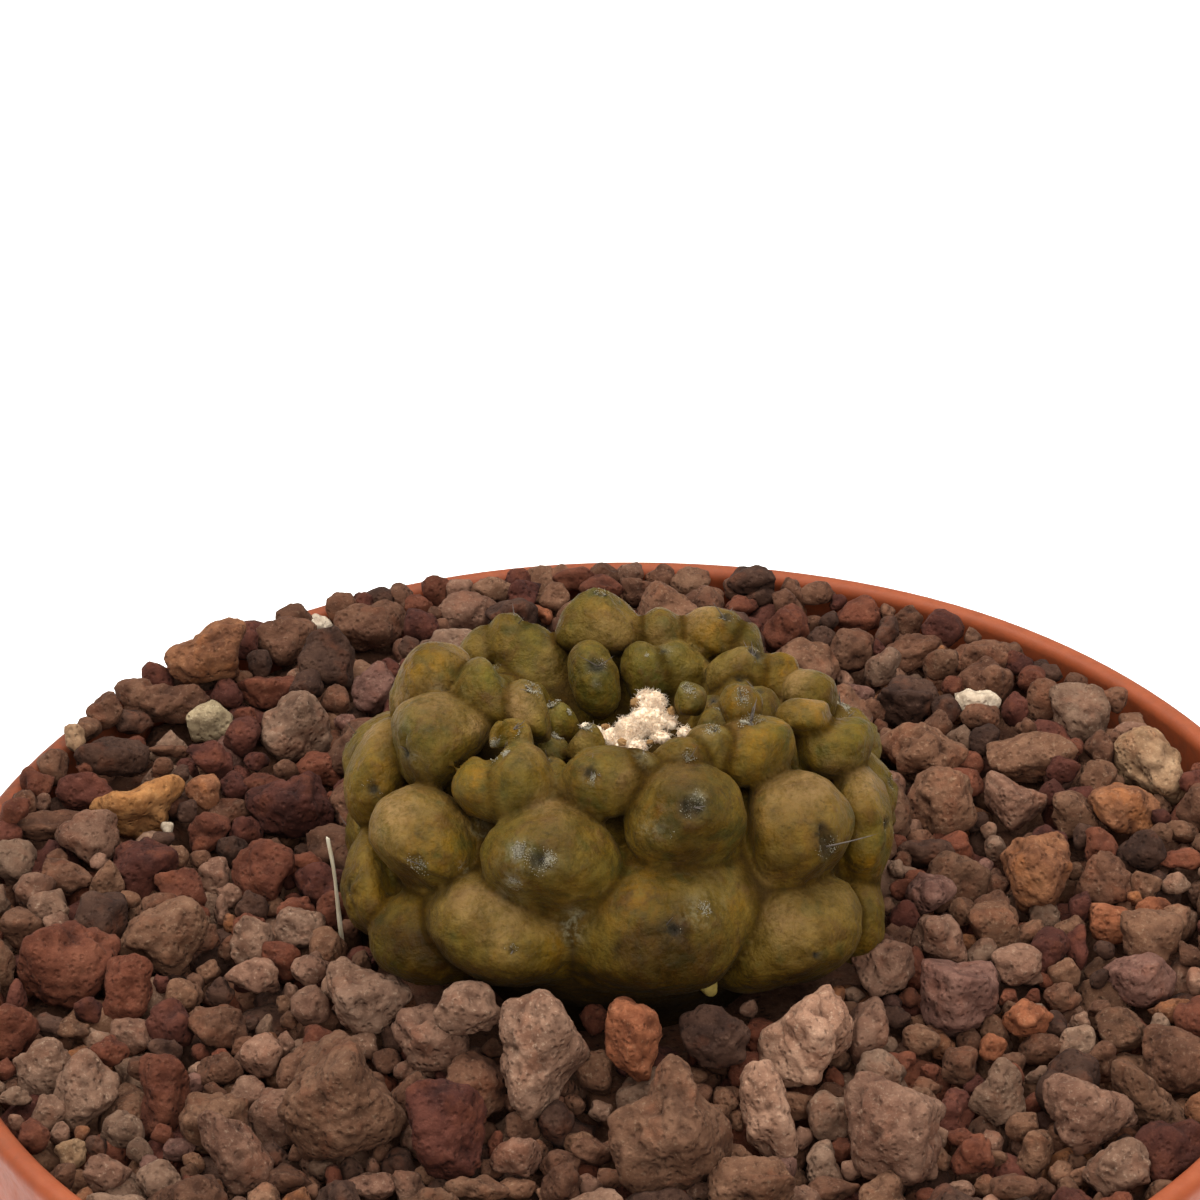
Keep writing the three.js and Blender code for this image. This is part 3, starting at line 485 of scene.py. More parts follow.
def spine_material():
    m = Mat("spine", 0.55)
    c = m.ramp(m.noise(0.35, 2.0, 0.6), [(0.3, (0.035, 0.027, 0.022)), (0.7, (0.16, 0.125, 0.10))])
    return m.done(c, None, m.bump(m.noise(0.1, 2.0), 0.01, 0.5))


def straw_material():
    m = Mat("dry_straw", 0.6)
    co = m.coords()
    s = m.node("ShaderNodeMapping", Vector=co)
    s.inputs["Scale"].default_value = (6.0, 6.0, 0.5)
    c = m.ramp(m.noise(0.6, 3.0, 0.6, s.outputs[0]), [(0.3, (0.52, 0.40, 0.24)), (0.5, (0.78, 0.68, 0.48)), (0.75, (0.92, 0.86, 0.70))])
    return m.done(c, None, m.bump(m.noise(0.4, 2.0, 0.6, s.outputs[0]), 0.03, 0.8))


MATS = {
    "maroon": stone_material("lava_maroon", (0.060, 0.020, 0.017), (0.110, 0.036, 0.028), (0.165, 0.060, 0.046), (0.30, 0.16, 0.13), 0.18),
    "dark": stone_material("lava_dark", (0.050, 0.026, 0.020), (0.085, 0.045, 0.034), (0.130, 0.075, 0.058), (0.26, 0.17, 0.14), 0.18),
    "red": stone_material("lava_red", (0.120, 0.038, 0.024), (0.185, 0.064, 0.040), (0.250, 0.100, 0.066), (0.40, 0.24, 0.18), 0.22),
    "brown": stone_material("lava_brown", (0.105, 0.050, 0.032), (0.165, 0.083, 0.056), (0.230, 0.128, 0.090), (0.42, 0.30, 0.24), 0.28),
    "tan": stone_material("lava_tan", (0.150, 0.078, 0.050), (0.215, 0.118, 0.080), (0.300, 0.180, 0.130), (0.48, 0.36, 0.28), 0.34),
    "pink": stone_material("lava_pink", (0.190, 0.100, 0.075), (0.275, 0.160, 0.125), (0.360, 0.230, 0.185), (0.54, 0.42, 0.36), 0.42),
    "pale": stone_material("lava_pale", (0.220, 0.130, 0.098), (0.330, 0.212, 0.168), (0.430, 0.300, 0.250), (0.62, 0.50, 0.43), 0.5),
    "blush": stone_material("lava_blush", (0.290, 0.170, 0.128), (0.420, 0.262, 0.205), (0.530, 0.365, 0.300), (0.68, 0.55, 0.48), 0.5),
    "orange": stone_material("lava_orange", (0.230, 0.085, 0.045), (0.360, 0.140, 0.075), (0.470, 0.210, 0.125), (0.60, 0.36, 0.24), 0.3),
    "orange2": stone_material("lava_rust", (0.170, 0.075, 0.042), (0.260, 0.120, 0.068), (0.400, 0.200, 0.110), (0.52, 0.34, 0.24), 0.3, rusty=(0.48, 0.20, 0.08), rust=0.5),
    "purple": stone_material("lava_purple", (0.150, 0.080, 0.073), (0.235, 0.128, 0.116), (0.310, 0.185, 0.168), (0.44, 0.32, 0.29), 0.32),
    "grey": stone_material("lava_grey", (0.170, 0.105, 0.080), (0.250, 0.165, 0.130), (0.350, 0.250, 0.205), (0.50, 0.41, 0.35), 0.4),
    "cream": stone_material("lava_cream", (0.250, 0.160, 0.098), (0.370, 0.250, 0.165), (0.470, 0.340, 0.240), (0.62, 0.50, 0.38), 0.4),
    "ochre": stone_material("ochre_stone", (0.400, 0.185, 0.070), (0.540, 0.275, 0.110), (0.640, 0.370, 0.180), (0.72, 0.48, 0.27), 0.3, rusty=(0.46, 0.17, 0.06)),
    "green": stone_material("green_stone", (0.290, 0.255, 0.180), (0.480, 0.425, 0.310), (0.640, 0.580, 0.440), (0.76, 0.71, 0.58), 0.45, rusty=(0.30, 0.22, 0.12)),
    "white": stone_material("perlite", (0.62, 0.57, 0.51), (0.82, 0.78, 0.72), (0.92, 0.90, 0.86), (0.97, 0.96, 0.94), 0.5, rusty=(0.60, 0.50, 0.40), rust=0.2),
}
POT_MAT, SKIN_MAT, SPINE_MAT, STRAW_MAT = pot_material(), skin_material(), spine_material(), straw_material()
WOOL_MAT = wool_material("crown_wool", (0.72, 0.45, 0.26), (0.97, 0.75, 0.53), (1.0, 0.84, 0.64))
FELT_MAT = wool_material("areole_felt", (0.20, 0.165, 0.10), (0.38, 0.34, 0.24), (0.42, 0.38, 0.28))
SCRAP_MAT = wool_material("dead_felt", (0.15, 0.075, 0.024), (0.30, 0.17, 0.07), (0.30, 0.18, 0.08))
HUSK_MAT = wool_material("dry_husk", (0.36, 0.25, 0.05), (0.56, 0.42, 0.12), (0.54, 0.41, 0.12), 0.6)


# --------------------------------------------------------------------- floor
fx = np.linspace(-3000, 3000, 25)
GX, GY = np.meshgrid(fx, fx, indexing="ij")
fv = np.stack([GX.ravel(), GY.ravel(), np.zeros(GX.size)], 1)
idx = np.arange(GX.size).reshape(GX.shape)
ff = np.stack([idx[:-1, :-1].ravel(), idx[1:, :-1].ravel(), idx[1:, 1:].ravel(), idx[:-1, 1:].ravel()], 1)
floor = mesh_object("floor", fv, ff)
floor.data.materials.append(floor_material())


# ----------------------------------------------------------------------- pot
def arc(cx, cz, r, a0, a1, n):
    return [(cx + r * math.cos(math.radians(a0 + (a1 - a0) * k / n)), cz + r * math.sin(math.radians(a0 + (a1 - a0) * k / n))) for k in range(n + 1)]


def lines(points, step):
    """The same outline with no stretch longer than step."""
    out = [points[0]]
    for p, q in zip(points, points[1:]):
        n = max(1, int(math.dist(p, q) / step))
        for k in range(1, n + 1):
            out.append((p[0] + (q[0] - p[0]) * k / n, p[1] + (q[1] - p[1]) * k / n))
    return out


def make_pot():
    outer_top = RIM_R - 0.35 - 1.15
    z = H - 9.0
    prof = [(0, 1.2), (19.2, 1.2)] + arc(19.55, 0.85, 0.35, 90, 0, 4)[1:] + arc(20.15, 0.25, 0.25, 180, 270, 3) \
        + arc(21.3, 0.7, 0.7, 270, 350, 6) \
        + [(22.05, 1.4), (22.2, 2.6)] \
        + [(outer_top - 0.05, z - 1.0)] + arc(outer_top + 0.35, z - 0.75, 0.4, 180, 110, 4) \
        + arc(RIM_R - 0.95, z + 0.75, 0.55, -80, 0, 5) \
        + [(RIM_R - 0.28, H - 1.7), (RIM_R - 0.1, H - 1.15)] + arc(RIM_R - 0.55, H - 0.55, 0.55, -10, 90, 8) \
        + arc(RIM_R - 0.62, H - 0.55, 0.55, 90, 190, 8) \
        + [(RIM_R - 1.3, z + 1.2), (outer_top - 0.95, z - 1.0), (21.1, 3.4)] + arc(20.4, 3.0, 0.7, 0, -90, 4) + [(12, 2.3), (0, 2.3)]
    prof = lines(prof, 2.6)

    def wobble(V):
        r = np.hypot(V[:, 0], V[:, 1]) + 1e-9
        a = np.arctan2(V[:, 1], V[:, 0])
        up = np.clip((V[:, 2] - 20) / 36, 0, 1)
        k = 1 + up * (0.0011 * np.sin(2 * a + 0.6) + 0.0006 * np.sin(3 * a + 2.1) + 0.0004 * np.sin(7 * a))
        V = V.copy()
        V[:, 0] *= k
        V[:, 1] *= k
        lip = np.clip((V[:, 2] - (H - 2)) / 2, 0, 1)
        V[:, 2] += lip * (0.05 * np.sin(3 * a + 1.0) + 0.03 * np.sin(8 * a + 0.3))
        return V

    V, T = revolve(prof, 144, wobble)
    r = np.hypot(V[:, 0], V[:, 1])
    # soil dust and painted shade on the inside of the wall, full strength from about 2 mm below the top
    inside = ((r < RIM_R - 1.0) & (V[:, 2] > H - 9)).astype(float)
    ring_dust_and_shade = np.clip((H - 0.3 - V[:, 2]) / 1.6, 0, 1)
    # the top edge of the lip, where the painted highlight goes
    lip = np.clip(1 - np.abs(V[:, 2] - (H + 0.02)) / 0.35, 0, 1)
    turn = np.degrees(np.arctan2(V[:, 1], V[:, 0])) % 360
    # painted shade on the top of the rim, deepest at the left and back left
    rim_shade = np.clip(np.interp(turn, [0, 30, 60, 100, 140, 195, 225, 360], [0.25, 0.40, 0.35, 0.50, 0.85, 0.85, 0.2, 0.2]), 0, 1) * (V[:, 2] > H - 3)
    o = mesh_object("nursery_pot", V, T, True, {"dust_and_shade": np.maximum(inside * (0.35 + 0.65 * ring_dust_and_shade), rim_shade), "lip": lip * (1 - rim_shade)})
    o.data.materials.append(POT_MAT)
    return o


pot = make_pot()
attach(pot, "root")
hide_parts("pot")

# -------------------------------------------------------------------- stones
# Big stones are CAD nodes: centre from the middle of the rim plane, half-width,
# half-height (mm) and kind.  The next list is the smaller ones seen in between.
CAD_STONES = [
    (-22.99, 5.34, -0.67, 1.67, 1.55, "maroon"),
    (-17.21, 4.81, -0.57, 1.55, 1.55, "red"),
    (-21.88, -0.42, -0.86, 2.11, 1.76, "tan"),
    (-26.17, -2.18, -1.09, 2.44, 2.09, "red"),
    (-11.65, -7.13, 0.43, 1.82, 1.64, "pale"),
    (-24.41, -11.18, -1.60, 1.48, 1.44, "pale"),
    (-20.99, -11.51, -1.32, 1.23, 2.02, "red"),
    (-12.82, -14.61, -0.05, 2.76, 2.76, "tan"),
    (-17.40, -16.35, -1.42, 1.43, 1.65, "pink"),
    (-3.92, -12.71, 1.31, 2.12, 2.50, "pale"),
    (0.22, -12.50, 1.71, 1.30, 2.02, "orange"),
    (-8.91, -9.70, -0.09, 1.71, 1.49, "pink"),
    (-6.97, -10.67, 2.06, 1.58, 1.36, "pale"),
    (1.95, -17.14, 0.45, 2.84, 3.28, "tan"),
    (3.94, -11.84, 1.08, 1.61, 1.52, "dark"),
    (6.23, -15.13, -0.42, 1.24, 2.65, "cream"),
    (-7.87, -16.14, -0.38, 2.20, 2.37, "maroon"),
    (5.42, -19.72, -1.03, 1.96, 1.30, "tan"),
    (19.58, 3.39, -0.66, 1.80, 2.04, "orange2"),
    (22.90, 3.42, -1.39, 1.54, 1.43, "brown"),
    (15.34, -6.83, -0.44, 1.87, 1.73, "purple"),
    (23.66, -4.31, -1.44, 1.73, 1.27, "purple"),
    (16.51, -13.04, -1.33, 1.34, 1.56, "grey"),
    (20.20, -15.44, -0.68, 1.99, 1.68, "pink"),
    (23.08, -13.34, -1.65, 1.78, 2.11, "tan"),
    (24.81, -10.34, -1.70, 1.49, 1.58, "brown"),
    (8.16, -11.28, 0.41, 2.06, 2.33, "pale"),
    (11.66, -16.54, -0.60, 2.06, 2.46, "pink"),
    (21.41, -18.56, -1.61, 1.64, 1.44, "pale"),
    (-20.90, 21.07, 1.74, 1.94, 1.50, "orange2"),
    (-17.03, 24.63, -0.04, 1.55, 1.30, "brown"),
    (-15.43, 26.37, -0.26, 0.89, 0.68, "white"),
    (-12.79, 26.16, -0.20, 1.91, 1.40, "brown"),
    (-22.93, 18.92, -0.01, 2.33, 1.17, "brown"),
    (-16.33, 16.92, -0.38, 2.09, 1.99, "grey"),
    (-23.67, 10.32, -0.30, 2.25, 1.72, "ochre"),
    (-25.12, 14.28, -0.21, 1.97, 1.09, "dark"),
    (-16.00, 9.80, -0.29, 2.14, 1.85, "maroon"),
    (17.68, 17.60, -0.16, 1.17, 0.82, "white"),
    (18.55, 19.56, -0.30, 1.75, 1.40, "brown"),
    (14.52, 18.62, -0.46, 1.81, 1.35, "dark"),
    (23.01, 16.84, -0.43, 1.50, 1.55, "grey"),
    (26.15, 12.30, -0.85, 2.05, 2.00, "cream"),
    (19.78, 13.15, -0.58, 2.26, 1.32, "tan"),
    (14.80, 13.78, -0.57, 2.12, 1.82, "red"),
    (15.65, 9.55, -0.52, 1.79, 1.65, "tan"),
    (19.06, 10.21, -1.16, 1.51, 1.51, "pink"),
    (24.24, 8.32, -0.62, 1.79, 1.40, "orange2"),
    (-5.00, 22.00, -0.80, 2.10, 1.80, "brown"),
    (3.00, 20.50, -0.70, 1.90, 1.70, "pink"),
    (9.00, 22.40, -1.00, 2.10, 1.70, "tan"),
    (0.00, 27.00, -1.30, 1.80, 1.50, "red"),
    (-9.00, 18.60, -0.60, 1.70, 1.60, "grey"),
]
SEEN_STONES = [
  [-26.68, 4.40, -0.51, 1.43, 1.07, "brown"],
  [-19.56, 5.61, -1.52, 0.84, 0.96, "pink"],
  [-28.48, 0.97, -0.92, 1.18, 0.94, "brown"],
  [-23.02, -3.88, -1.23, 1.16, 1.62, "red"],
  [-17.55, -0.72, -0.87, 1.05, 1.40, "pale"],
  [-15.17, -0.21, -0.44, 1.17, 1.05, "pale"],
  [-14.67, -3.25, -0.64, 1.04, 0.81, "pink"],
  [-17.03, -3.53, -0.95, 1.39, 0.93, "pink"],
  [-14.56, -5.93, -0.87, 0.92, 0.92, "pink"],
  [-18.77, -6.70, -1.34, 1.37, 1.03, "brown"],
  [-20.47, -4.02, -1.64, 0.93, 0.93, "tan"],
  [-22.66, -6.59, -1.88, 1.03, 0.80, "pink"],
  [-26.59, -9.15, -1.70, 1.41, 1.36, "pale"],
  [-18.37, -9.72, -1.60, 1.24, 0.79, "brown"],
  [-22.64, -13.57, -2.02, 1.00, 0.89, "grey"],
  [-24.84, -14.66, -2.25, 0.78, 0.78, "cream"],
  [-23.15, -16.67, -2.01, 1.10, 0.99, "pink"],
  [-20.06, -14.88, -2.20, 0.78, 0.56, "purple"],
  [-20.78, -17.12, -2.06, 0.99, 0.88, "grey"],
  [-4.80, -17.19, -1.23, 1.21, 0.99, "pink"],
  [-3.15, -14.90, -1.02, 0.77, 1.00, "dark"],
  [-1.25, -14.16, -1.07, 0.62, 0.53, "pale"],
  [-2.82, -18.82, -1.55, 0.98, 0.98, "brown"],
  [-6.61, -18.86, -1.58, 1.42, 0.61, "tan"],
  [-1.75, -16.55, -1.34, 0.97, 0.66, "brown"],
  [11.76, -5.49, 0.37, 1.42, 1.28, "pink"],
  [14.37, 1.36, -0.34, 1.18, 1.06, "purple"],
  [14.51, -2.22, -0.36, 1.28, 1.28, "pink"],
  [17.25, -0.48, -0.91, 1.29, 1.17, "tan"],
  [22.99, 0.48, -1.72, 1.18, 0.94, "orange"],
  [18.19, -3.40, -1.27, 1.20, 0.97, "pink"],
  [18.24, -7.31, -1.51, 1.14, 0.91, "orange"],
  [20.46, -8.65, -1.89, 0.80, 0.91, "grey"],
  [22.70, -8.05, -1.71, 1.37, 1.02, "tan"],
  [10.78, -9.30, -0.49, 0.95, 1.54, "pink"],
  [8.83, -14.42, -1.31, 0.93, 1.11, "grey"],
  [17.93, -16.52, -1.94, 0.84, 1.10, "tan"],
  [16.85, -18.99, -1.98, 1.20, 0.76, "brown"],
  [15.08, -16.91, -1.84, 0.99, 0.99, "red"],
  [13.33, -9.19, -1.20, 0.91, 0.72, "tan"],
  [14.85, -10.76, -1.48, 0.90, 0.90, "brown"],
  [16.57, -8.95, -1.73, 0.64, 0.68, "orange"],
  [-20.38, 17.37, -0.10, 1.24, 1.05, "green"],
  [-26.90, 14.82, 0.69, 0.51, 0.76, "cream"],
  [-17.63, 20.16, -0.11, 2.02, 0.91, "red"],
  [-12.49, 19.97, -0.22, 1.21, 1.52, "purple"],
  [-21.94, 8.12, -0.33, 0.34, 0.34, "white"],
  [-19.92, 13.71, -0.12, 1.47, 0.99, "maroon"],
  [-26.34, 11.72, -0.27, 1.48, 0.98, "maroon"],
  [-19.22, 10.30, -0.84, 1.12, 0.69, "brown"],
  [-14.95, 14.71, -1.36, 1.24, 0.89, "red"],
  [18.30, 22.20, -0.35, 1.80, 0.90, "brown"],
  [14.90, 23.14, -0.42, 1.83, 0.92, "brown"],
  [21.22, 18.08, -0.29, 0.90, 1.10, "brown"],
  [23.20, 11.15, -0.43, 0.88, 0.98, "tan"],
  [21.74, 8.61, -0.75, 1.11, 1.16, "tan"],
  [6.90, 29.30, 0.30, 1.35, 0.80, "dark"],
  [12.40, 26.84, -0.44, 1.36, 1.04, "red"],
  [11.79, 23.10, -0.33, 1.17, 1.17, "brown"],
  [-3.79, 26.99, -0.15, 0.72, 0.62, "orange"],
  [-27.73, 8.85, -0.41, 2.42, 0.77, "brown"],
  [-22.48, 15.07, -0.22, 1.11, 0.45, "brown"],
  [-20.13, 8.44, -0.91, 1.09, 1.09, "red"],
  [-18.98, 23.55, 0.77, 0.67, 1.03, "maroon"],
  [-21.50, 21.18, -0.07, 1.52, 0.56, "dark"],
  [-14.33, 19.44, -0.25, 0.75, 0.90, "brown"],
  [-19.12, 12.26, -0.66, 0.74, 0.74, "maroon"],
  [-11.57, 21.69, 0.01, 0.61, 0.76, "maroon"],
  [-29.26, 8.21, 0.92, 0.73, 0.68, "red"],
  [-24.47, 17.73, -0.26, 1.10, 0.65, "dark"],
  [-19.22, 2.95, -1.66, 0.43, 0.85, "pink"],
  [-19.42, -1.75, -1.81, 0.56, 0.56, "tan"],
  [-25.29, -6.48, -1.55, 0.92, 0.55, "tan"],
  [-26.40, -6.17, -1.57, 0.83, 0.55, "dark"],
  [-28.25, -4.31, -1.35, 0.51, 1.06, "maroon"],
  [-16.63, -6.16, -1.84, 0.46, 0.60, "grey"],
  [-15.64, -7.61, -1.82, 0.46, 0.59, "pink"],
  [-16.96, -11.17, -1.96, 0.90, 0.90, "pink"],
  [-27.62, -11.19, -1.78, 0.77, 0.50, "grey"],
  [-25.97, -12.23, -1.90, 0.81, 0.81, "pale"],
  [-15.11, -17.24, -2.23, 1.10, 0.66, "brown"],
  [-11.21, -17.81, -2.16, 1.32, 0.66, "pink"],
  [-13.13, -17.22, -2.30, 0.44, 0.75, "red"],
  [-1.46, -8.00, -0.34, 0.64, 0.77, "red"],
  [5.60, -7.59, -0.42, 0.45, 0.41, "pink"],
  [-10.98, -9.75, -1.33, 0.68, 0.59, "brown"],
  [19.89, 1.92, -2.20, 0.80, 0.85, "grey"],
  [21.09, -1.27, -1.93, 0.51, 1.17, "maroon"],
  [20.05, -5.13, -2.00, 0.92, 0.78, "brown"],
  [25.79, -0.20, -1.22, 0.84, 0.93, "tan"],
  [25.10, -6.48, -1.73, 1.15, 0.55, "orange2"],
  [21.73, -5.88, -2.07, 0.69, 0.46, "brown"],
  [18.81, -8.30, -2.41, 1.14, 0.77, "brown"],
  [12.05, -10.18, -1.61, 0.90, 0.50, "red"],
  [13.61, -10.58, -1.91, 0.54, 0.50, "red"],
  [14.53, -13.59, -2.08, 0.89, 1.11, "maroon"],
  [8.43, -17.06, -2.05, 0.88, 1.10, "grey"],
  [8.79, -18.66, -2.19, 1.31, 0.52, "brown"],
  [14.25, -18.76, -2.37, 0.79, 0.48, "pink"],
  [18.96, -17.48, -2.38, 0.53, 0.57, "tan"],
  [10.45, -6.18, -0.73, 0.59, 0.41, "grey"],
  [12.22, -7.22, -1.25, 0.78, 0.50, "dark"],
  [26.23, -4.53, -1.57, 0.46, 0.69, "pink"],
  [14.45, 5.99, -1.13, 1.44, 0.72, "dark"],
  [17.96, 16.42, -0.22, 1.00, 0.64, "brown"],
  [19.64, 17.03, -0.17, 0.64, 0.90, "maroon"],
  [17.16, 13.52, -0.94, 0.74, 0.59, "red"],
  [25.29, 15.22, -0.47, 0.99, 0.50, "pink"],
  [17.93, 7.33, -1.83, 0.58, 0.72, "grey"],
  [17.31, 5.62, -1.82, 0.48, 0.48, "purple"],
  [26.51, 4.54, -0.93, 1.43, 0.58, "red"],
  [26.84, 6.71, -0.78, 0.96, 0.58, "tan"],
  [24.72, 2.47, -1.02, 0.71, 0.71, "tan"],
  [26.06, 2.58, -1.02, 0.71, 0.62, "grey"],
  [24.98, 0.74, -1.13, 0.93, 0.60, "orange"],
  [17.66, 3.86, -1.79, 0.71, 0.57, "brown"],
  [12.89, 3.98, -0.77, 0.43, 0.48, "grey"],
  [13.51, 10.15, -1.44, 0.44, 0.97, "pink"],
  [24.68, 17.71, -0.14, 0.76, 0.66, "brown"],
  [18.42, 22.54, -0.32, 1.02, 0.41, "grey"],
  [11.81, 19.49, -0.64, 1.00, 0.56, "purple"],
  [-7.82, 27.56, -0.15, 1.55, 1.14, "pink"],
  [-2.17, 29.99, 0.19, 1.47, 0.68, "red"],
  [-6.60, 29.35, 0.08, 1.30, 0.73, "tan"],
  [-10.63, 28.31, -0.17, 1.04, 0.62, "red"],
  [3.65, 29.89, -0.07, 1.15, 0.78, "tan"],
  [6.04, 29.71, -0.39, 0.78, 0.68, "pink"],
  [1.04, 29.40, -0.26, 1.04, 0.78, "brown"],
  [6.29, 27.79, -0.27, 0.93, 0.52, "red"],
  [8.52, 25.23, -0.29, 1.29, 1.44, "red"],
  [10.25, 28.46, -0.05, 1.04, 0.63, "brown"],
  [7.40, 28.59, -0.32, 0.78, 0.62, "dark"],
  [20.80, -17.95, -2.52, 0.88, 0.66, "brown"],
  [3.03, -18.47, -2.21, 0.87, 0.52, "pink"],
  [-0.90, -17.83, -2.03, 0.66, 0.53, "brown"],
  [-4.85, -18.18, -2.26, 0.96, 0.53, "tan"],
  [-8.36, -18.05, -2.22, 0.66, 0.57, "dark"],
]
STONE_U = np.array([0.9998, -0.0078, -0.0202])
STONE_W = np.array([-0.0037, 0.8576, -0.5143])
STONE_U /= np.linalg.norm(STONE_U)
STONE_W /= np.linalg.norm(STONE_W)
STONE_V = np.cross(STONE_U, STONE_W)
WAVES = np.array([[1.9, 0.4, -0.7], [-0.6, 2.1, 0.9], [0.8, -0.9, 2.3], [2.6, 1.7, 1.1], [-1.8, 2.4, -1.9]])


def hash1(i, j):
    s = math.sin(i * 12.9898 + j * 78.233 + 4.137) * 43758.5453
    return s - math.floor(s)


ICO = {}


def ico(f):
    """A unit geodesic sphere, each edge of the icosahedron cut into f: vertices and triangles."""
    f = int(f)
    if f in ICO:
        return ICO[f]
    g = (1 + 5 ** 0.5) / 2
    V0 = np.array([(-1, g, 0), (1, g, 0), (-1, -g, 0), (1, -g, 0), (0, -1, g), (0, 1, g), (0, -1, -g), (0, 1, -g), (g, 0, -1), (g, 0, 1), (-g, 0, -1), (-g, 0, 1)], dtype=F)
    V0 /= np.linalg.norm(V0, axis=1)[:, None]
    T0 = [(0, 11, 5), (0, 5, 1), (0, 1, 7), (0, 7, 10), (0, 10, 11), (1, 5, 9), (5, 11, 4), (11, 10, 2), (10, 7, 6), (7, 1, 8),
          (3, 9, 4), (3, 4, 2), (3, 2, 6), (3, 6, 8), (3, 8, 9), (4, 9, 5), (2, 4, 11), (6, 2, 10), (8, 6, 7), (9, 8, 1)]
    rows = [(i, j) for i in range(f + 1) for j in range(f + 1 - i)]
    at = {ij: n for n, ij in enumerate(rows)}
    W = np.array([(f - i - j, i, j) for i, j in rows], dtype=F) / f
    tri = []
    for i in range(f):
        for j in range(f - i):
            tri.append((at[i, j], at[i + 1, j], at[i, j + 1]))
            if j < f - i - 1:
                tri.append((at[i + 1, j], at[i + 1, j + 1], at[i, j + 1]))
    tri = np.array(tri)
    pts = np.concatenate([W @ V0[list(face)] for face in T0])
    pts /= np.linalg.norm(pts, axis=1)[:, None]
    all_tri = np.concatenate([tri + n * len(rows) for n in range(20)])
    _, first, back = np.unique(np.round(pts, 6), axis=0, return_index=True, return_inverse=True)
    ICO[f] = (pts[first], back.reshape(-1)[all_tri])
    return ICO[f]


# most of the mesh goes to the side of a stone that can be seen, from above and the front
SEEN_SIDE = np.array([0.0, -0.49, 0.87])


def fineness(radius, edge):
    return max(3, int(round(1.05 * radius / edge)))


OUTLINES = {
    1: (1.0, 1.04, 1.0, 1.02, 1.0, 1.0, 0.97, 0.93), 2: (1.05, 1.15, 1.0, 0.95, 0.93, 0.75, 1.0, 0.95), 3: (0.97, 1.05, 1.0, 0.80, 1.05, 0.90, 0.95, 0.90),
    4: (1.10, 1.12, 0.95, 1.08, 1.02, 1.05, 1.0, 1.0), 5: (0.98, 1.1, 1.38, 1.12, 0.95, 1.3, 1.1, 0.93), 6: (1.0, 1.12, 0.93, 1.1, 0.95, 1.12, 0.98, 1.12),
    7: (1.06, 0.98, 1.12, 0.95, 1.0, 0.93, 1.03, 1.05), 8: (1.18, 0.93, 0.98, 1.30, 0.84, 0.74, 1.12, 1.2), 9: (1.02, 0.93, 1.08, 0.95, 0.93, 1.12, 1.10, 0.76),
    10: (1.0, 0.84, 1.05, 1.1, 0.9, 0.9, 0.95, 1.0), 11: (1.22, 0.9, 1.0, 1.0, 0.95, 0.95, 1.25, 1.3), 12: (0.95, 0.97, 1.0, 0.93, 1.0, 0.88, 0.9, 0.95),
    13: (1.02, 0.62, 1.04, 0.62, 1.0, 1.36, 1.0, 0.98), 14: (0.95, 0.9, 1.02, 1.0, 0.95, 0.9, 1.0, 0.88), 15: (0.68, 0.60, 0.82, 1.15, 1.03, 0.8, 0.98, 1.5),
    16: (0.85, 0.97, 0.95, 0.93, 0.76, 1.15, 1.1, 0.95), 18: (1.05, 1.07, 0.92, 0.87, 0.85, 0.85, 1.0, 1.0), 19: (1.0, 0.94, 1.0, 1.03, 0.97, 1.0, 1.0, 1.0),
    20: (0.98, 1.04, 0.94, 1.1, 0.98, 0.94, 1.0, 0.88), 21: (0.97, 1.07, 0.98, 1.07, 0.94, 1.0, 1.0, 1.02), 22: (1.0, 0.98, 1.0, 0.88, 0.95, 0.9, 1.0, 1.0),
    23: (1.07, 0.75, 0.80, 1.32, 0.95, 0.95, 1.05, 1.0), 24: (0.80, 0.62, 0.75, 1.34, 0.80, 0.68, 0.80, 1.34), 26: (0.93, 1.03, 1.03, 1.0, 1.0, 1.03, 0.97, 0.86),
    27: (1.0, 1.04, 0.97, 1.16, 1.0, 0.95, 1.02, 1.16), 28: (1.05, 1.0, 1.06, 0.94, 0.94, 1.0, 1.0, 1.0), 29: (0.90, 1.22, 0.80, 0.62, 1.0, 1.12, 1.0, 1.0),
    30: (1.1, 1.1, 1.0, 1.05, 1.1, 1.0, 1.0, 1.0), 32: (1.05, 1.1, 1.0, 1.1, 1.0, 1.0, 1.05, 1.0), 34: (0.95, 1.0, 0.94, 0.88, 1.0, 1.15, 0.80, 0.84),
    35: (0.74, 1.46, 0.50, 0.66, 0.98, 1.08, 1.10, 0.86), 36: (1.0, 1.05, 1.0, 0.9, 0.95, 0.9, 0.9, 1.0), 37: (1.0, 0.94, 0.94, 1.06, 1.0, 0.95, 0.95, 0.88),
    38: (1.0, 1.05, 0.78, 1.08, 1.0, 0.95, 1.0, 0.9), 41: (1.0, 1.12, 0.98, 1.07, 1.0, 0.93, 1.0, 0.93), 42: (0.76, 0.74, 0.98, 1.22, 0.95, 0.62, 0.82, 1.28),
    43: (1.05, 1.15, 0.93, 0.9, 1.0, 1.0, 1.1, 1.1), 44: (1.0, 0.84, 0.9, 1.07, 0.95, 1.0, 0.88, 0.9), 45: (1.0, 1.0, 0.97, 1.02, 1.0, 1.2, 1.35, 1.15),
    46: (1.1, 0.78, 0.84, 1.16, 0.85, 0.78, 0.85, 1.02), 47: (1.0, 0.75, 0.88, 1.12, 0.84, 0.74, 0.80, 1.2),
}


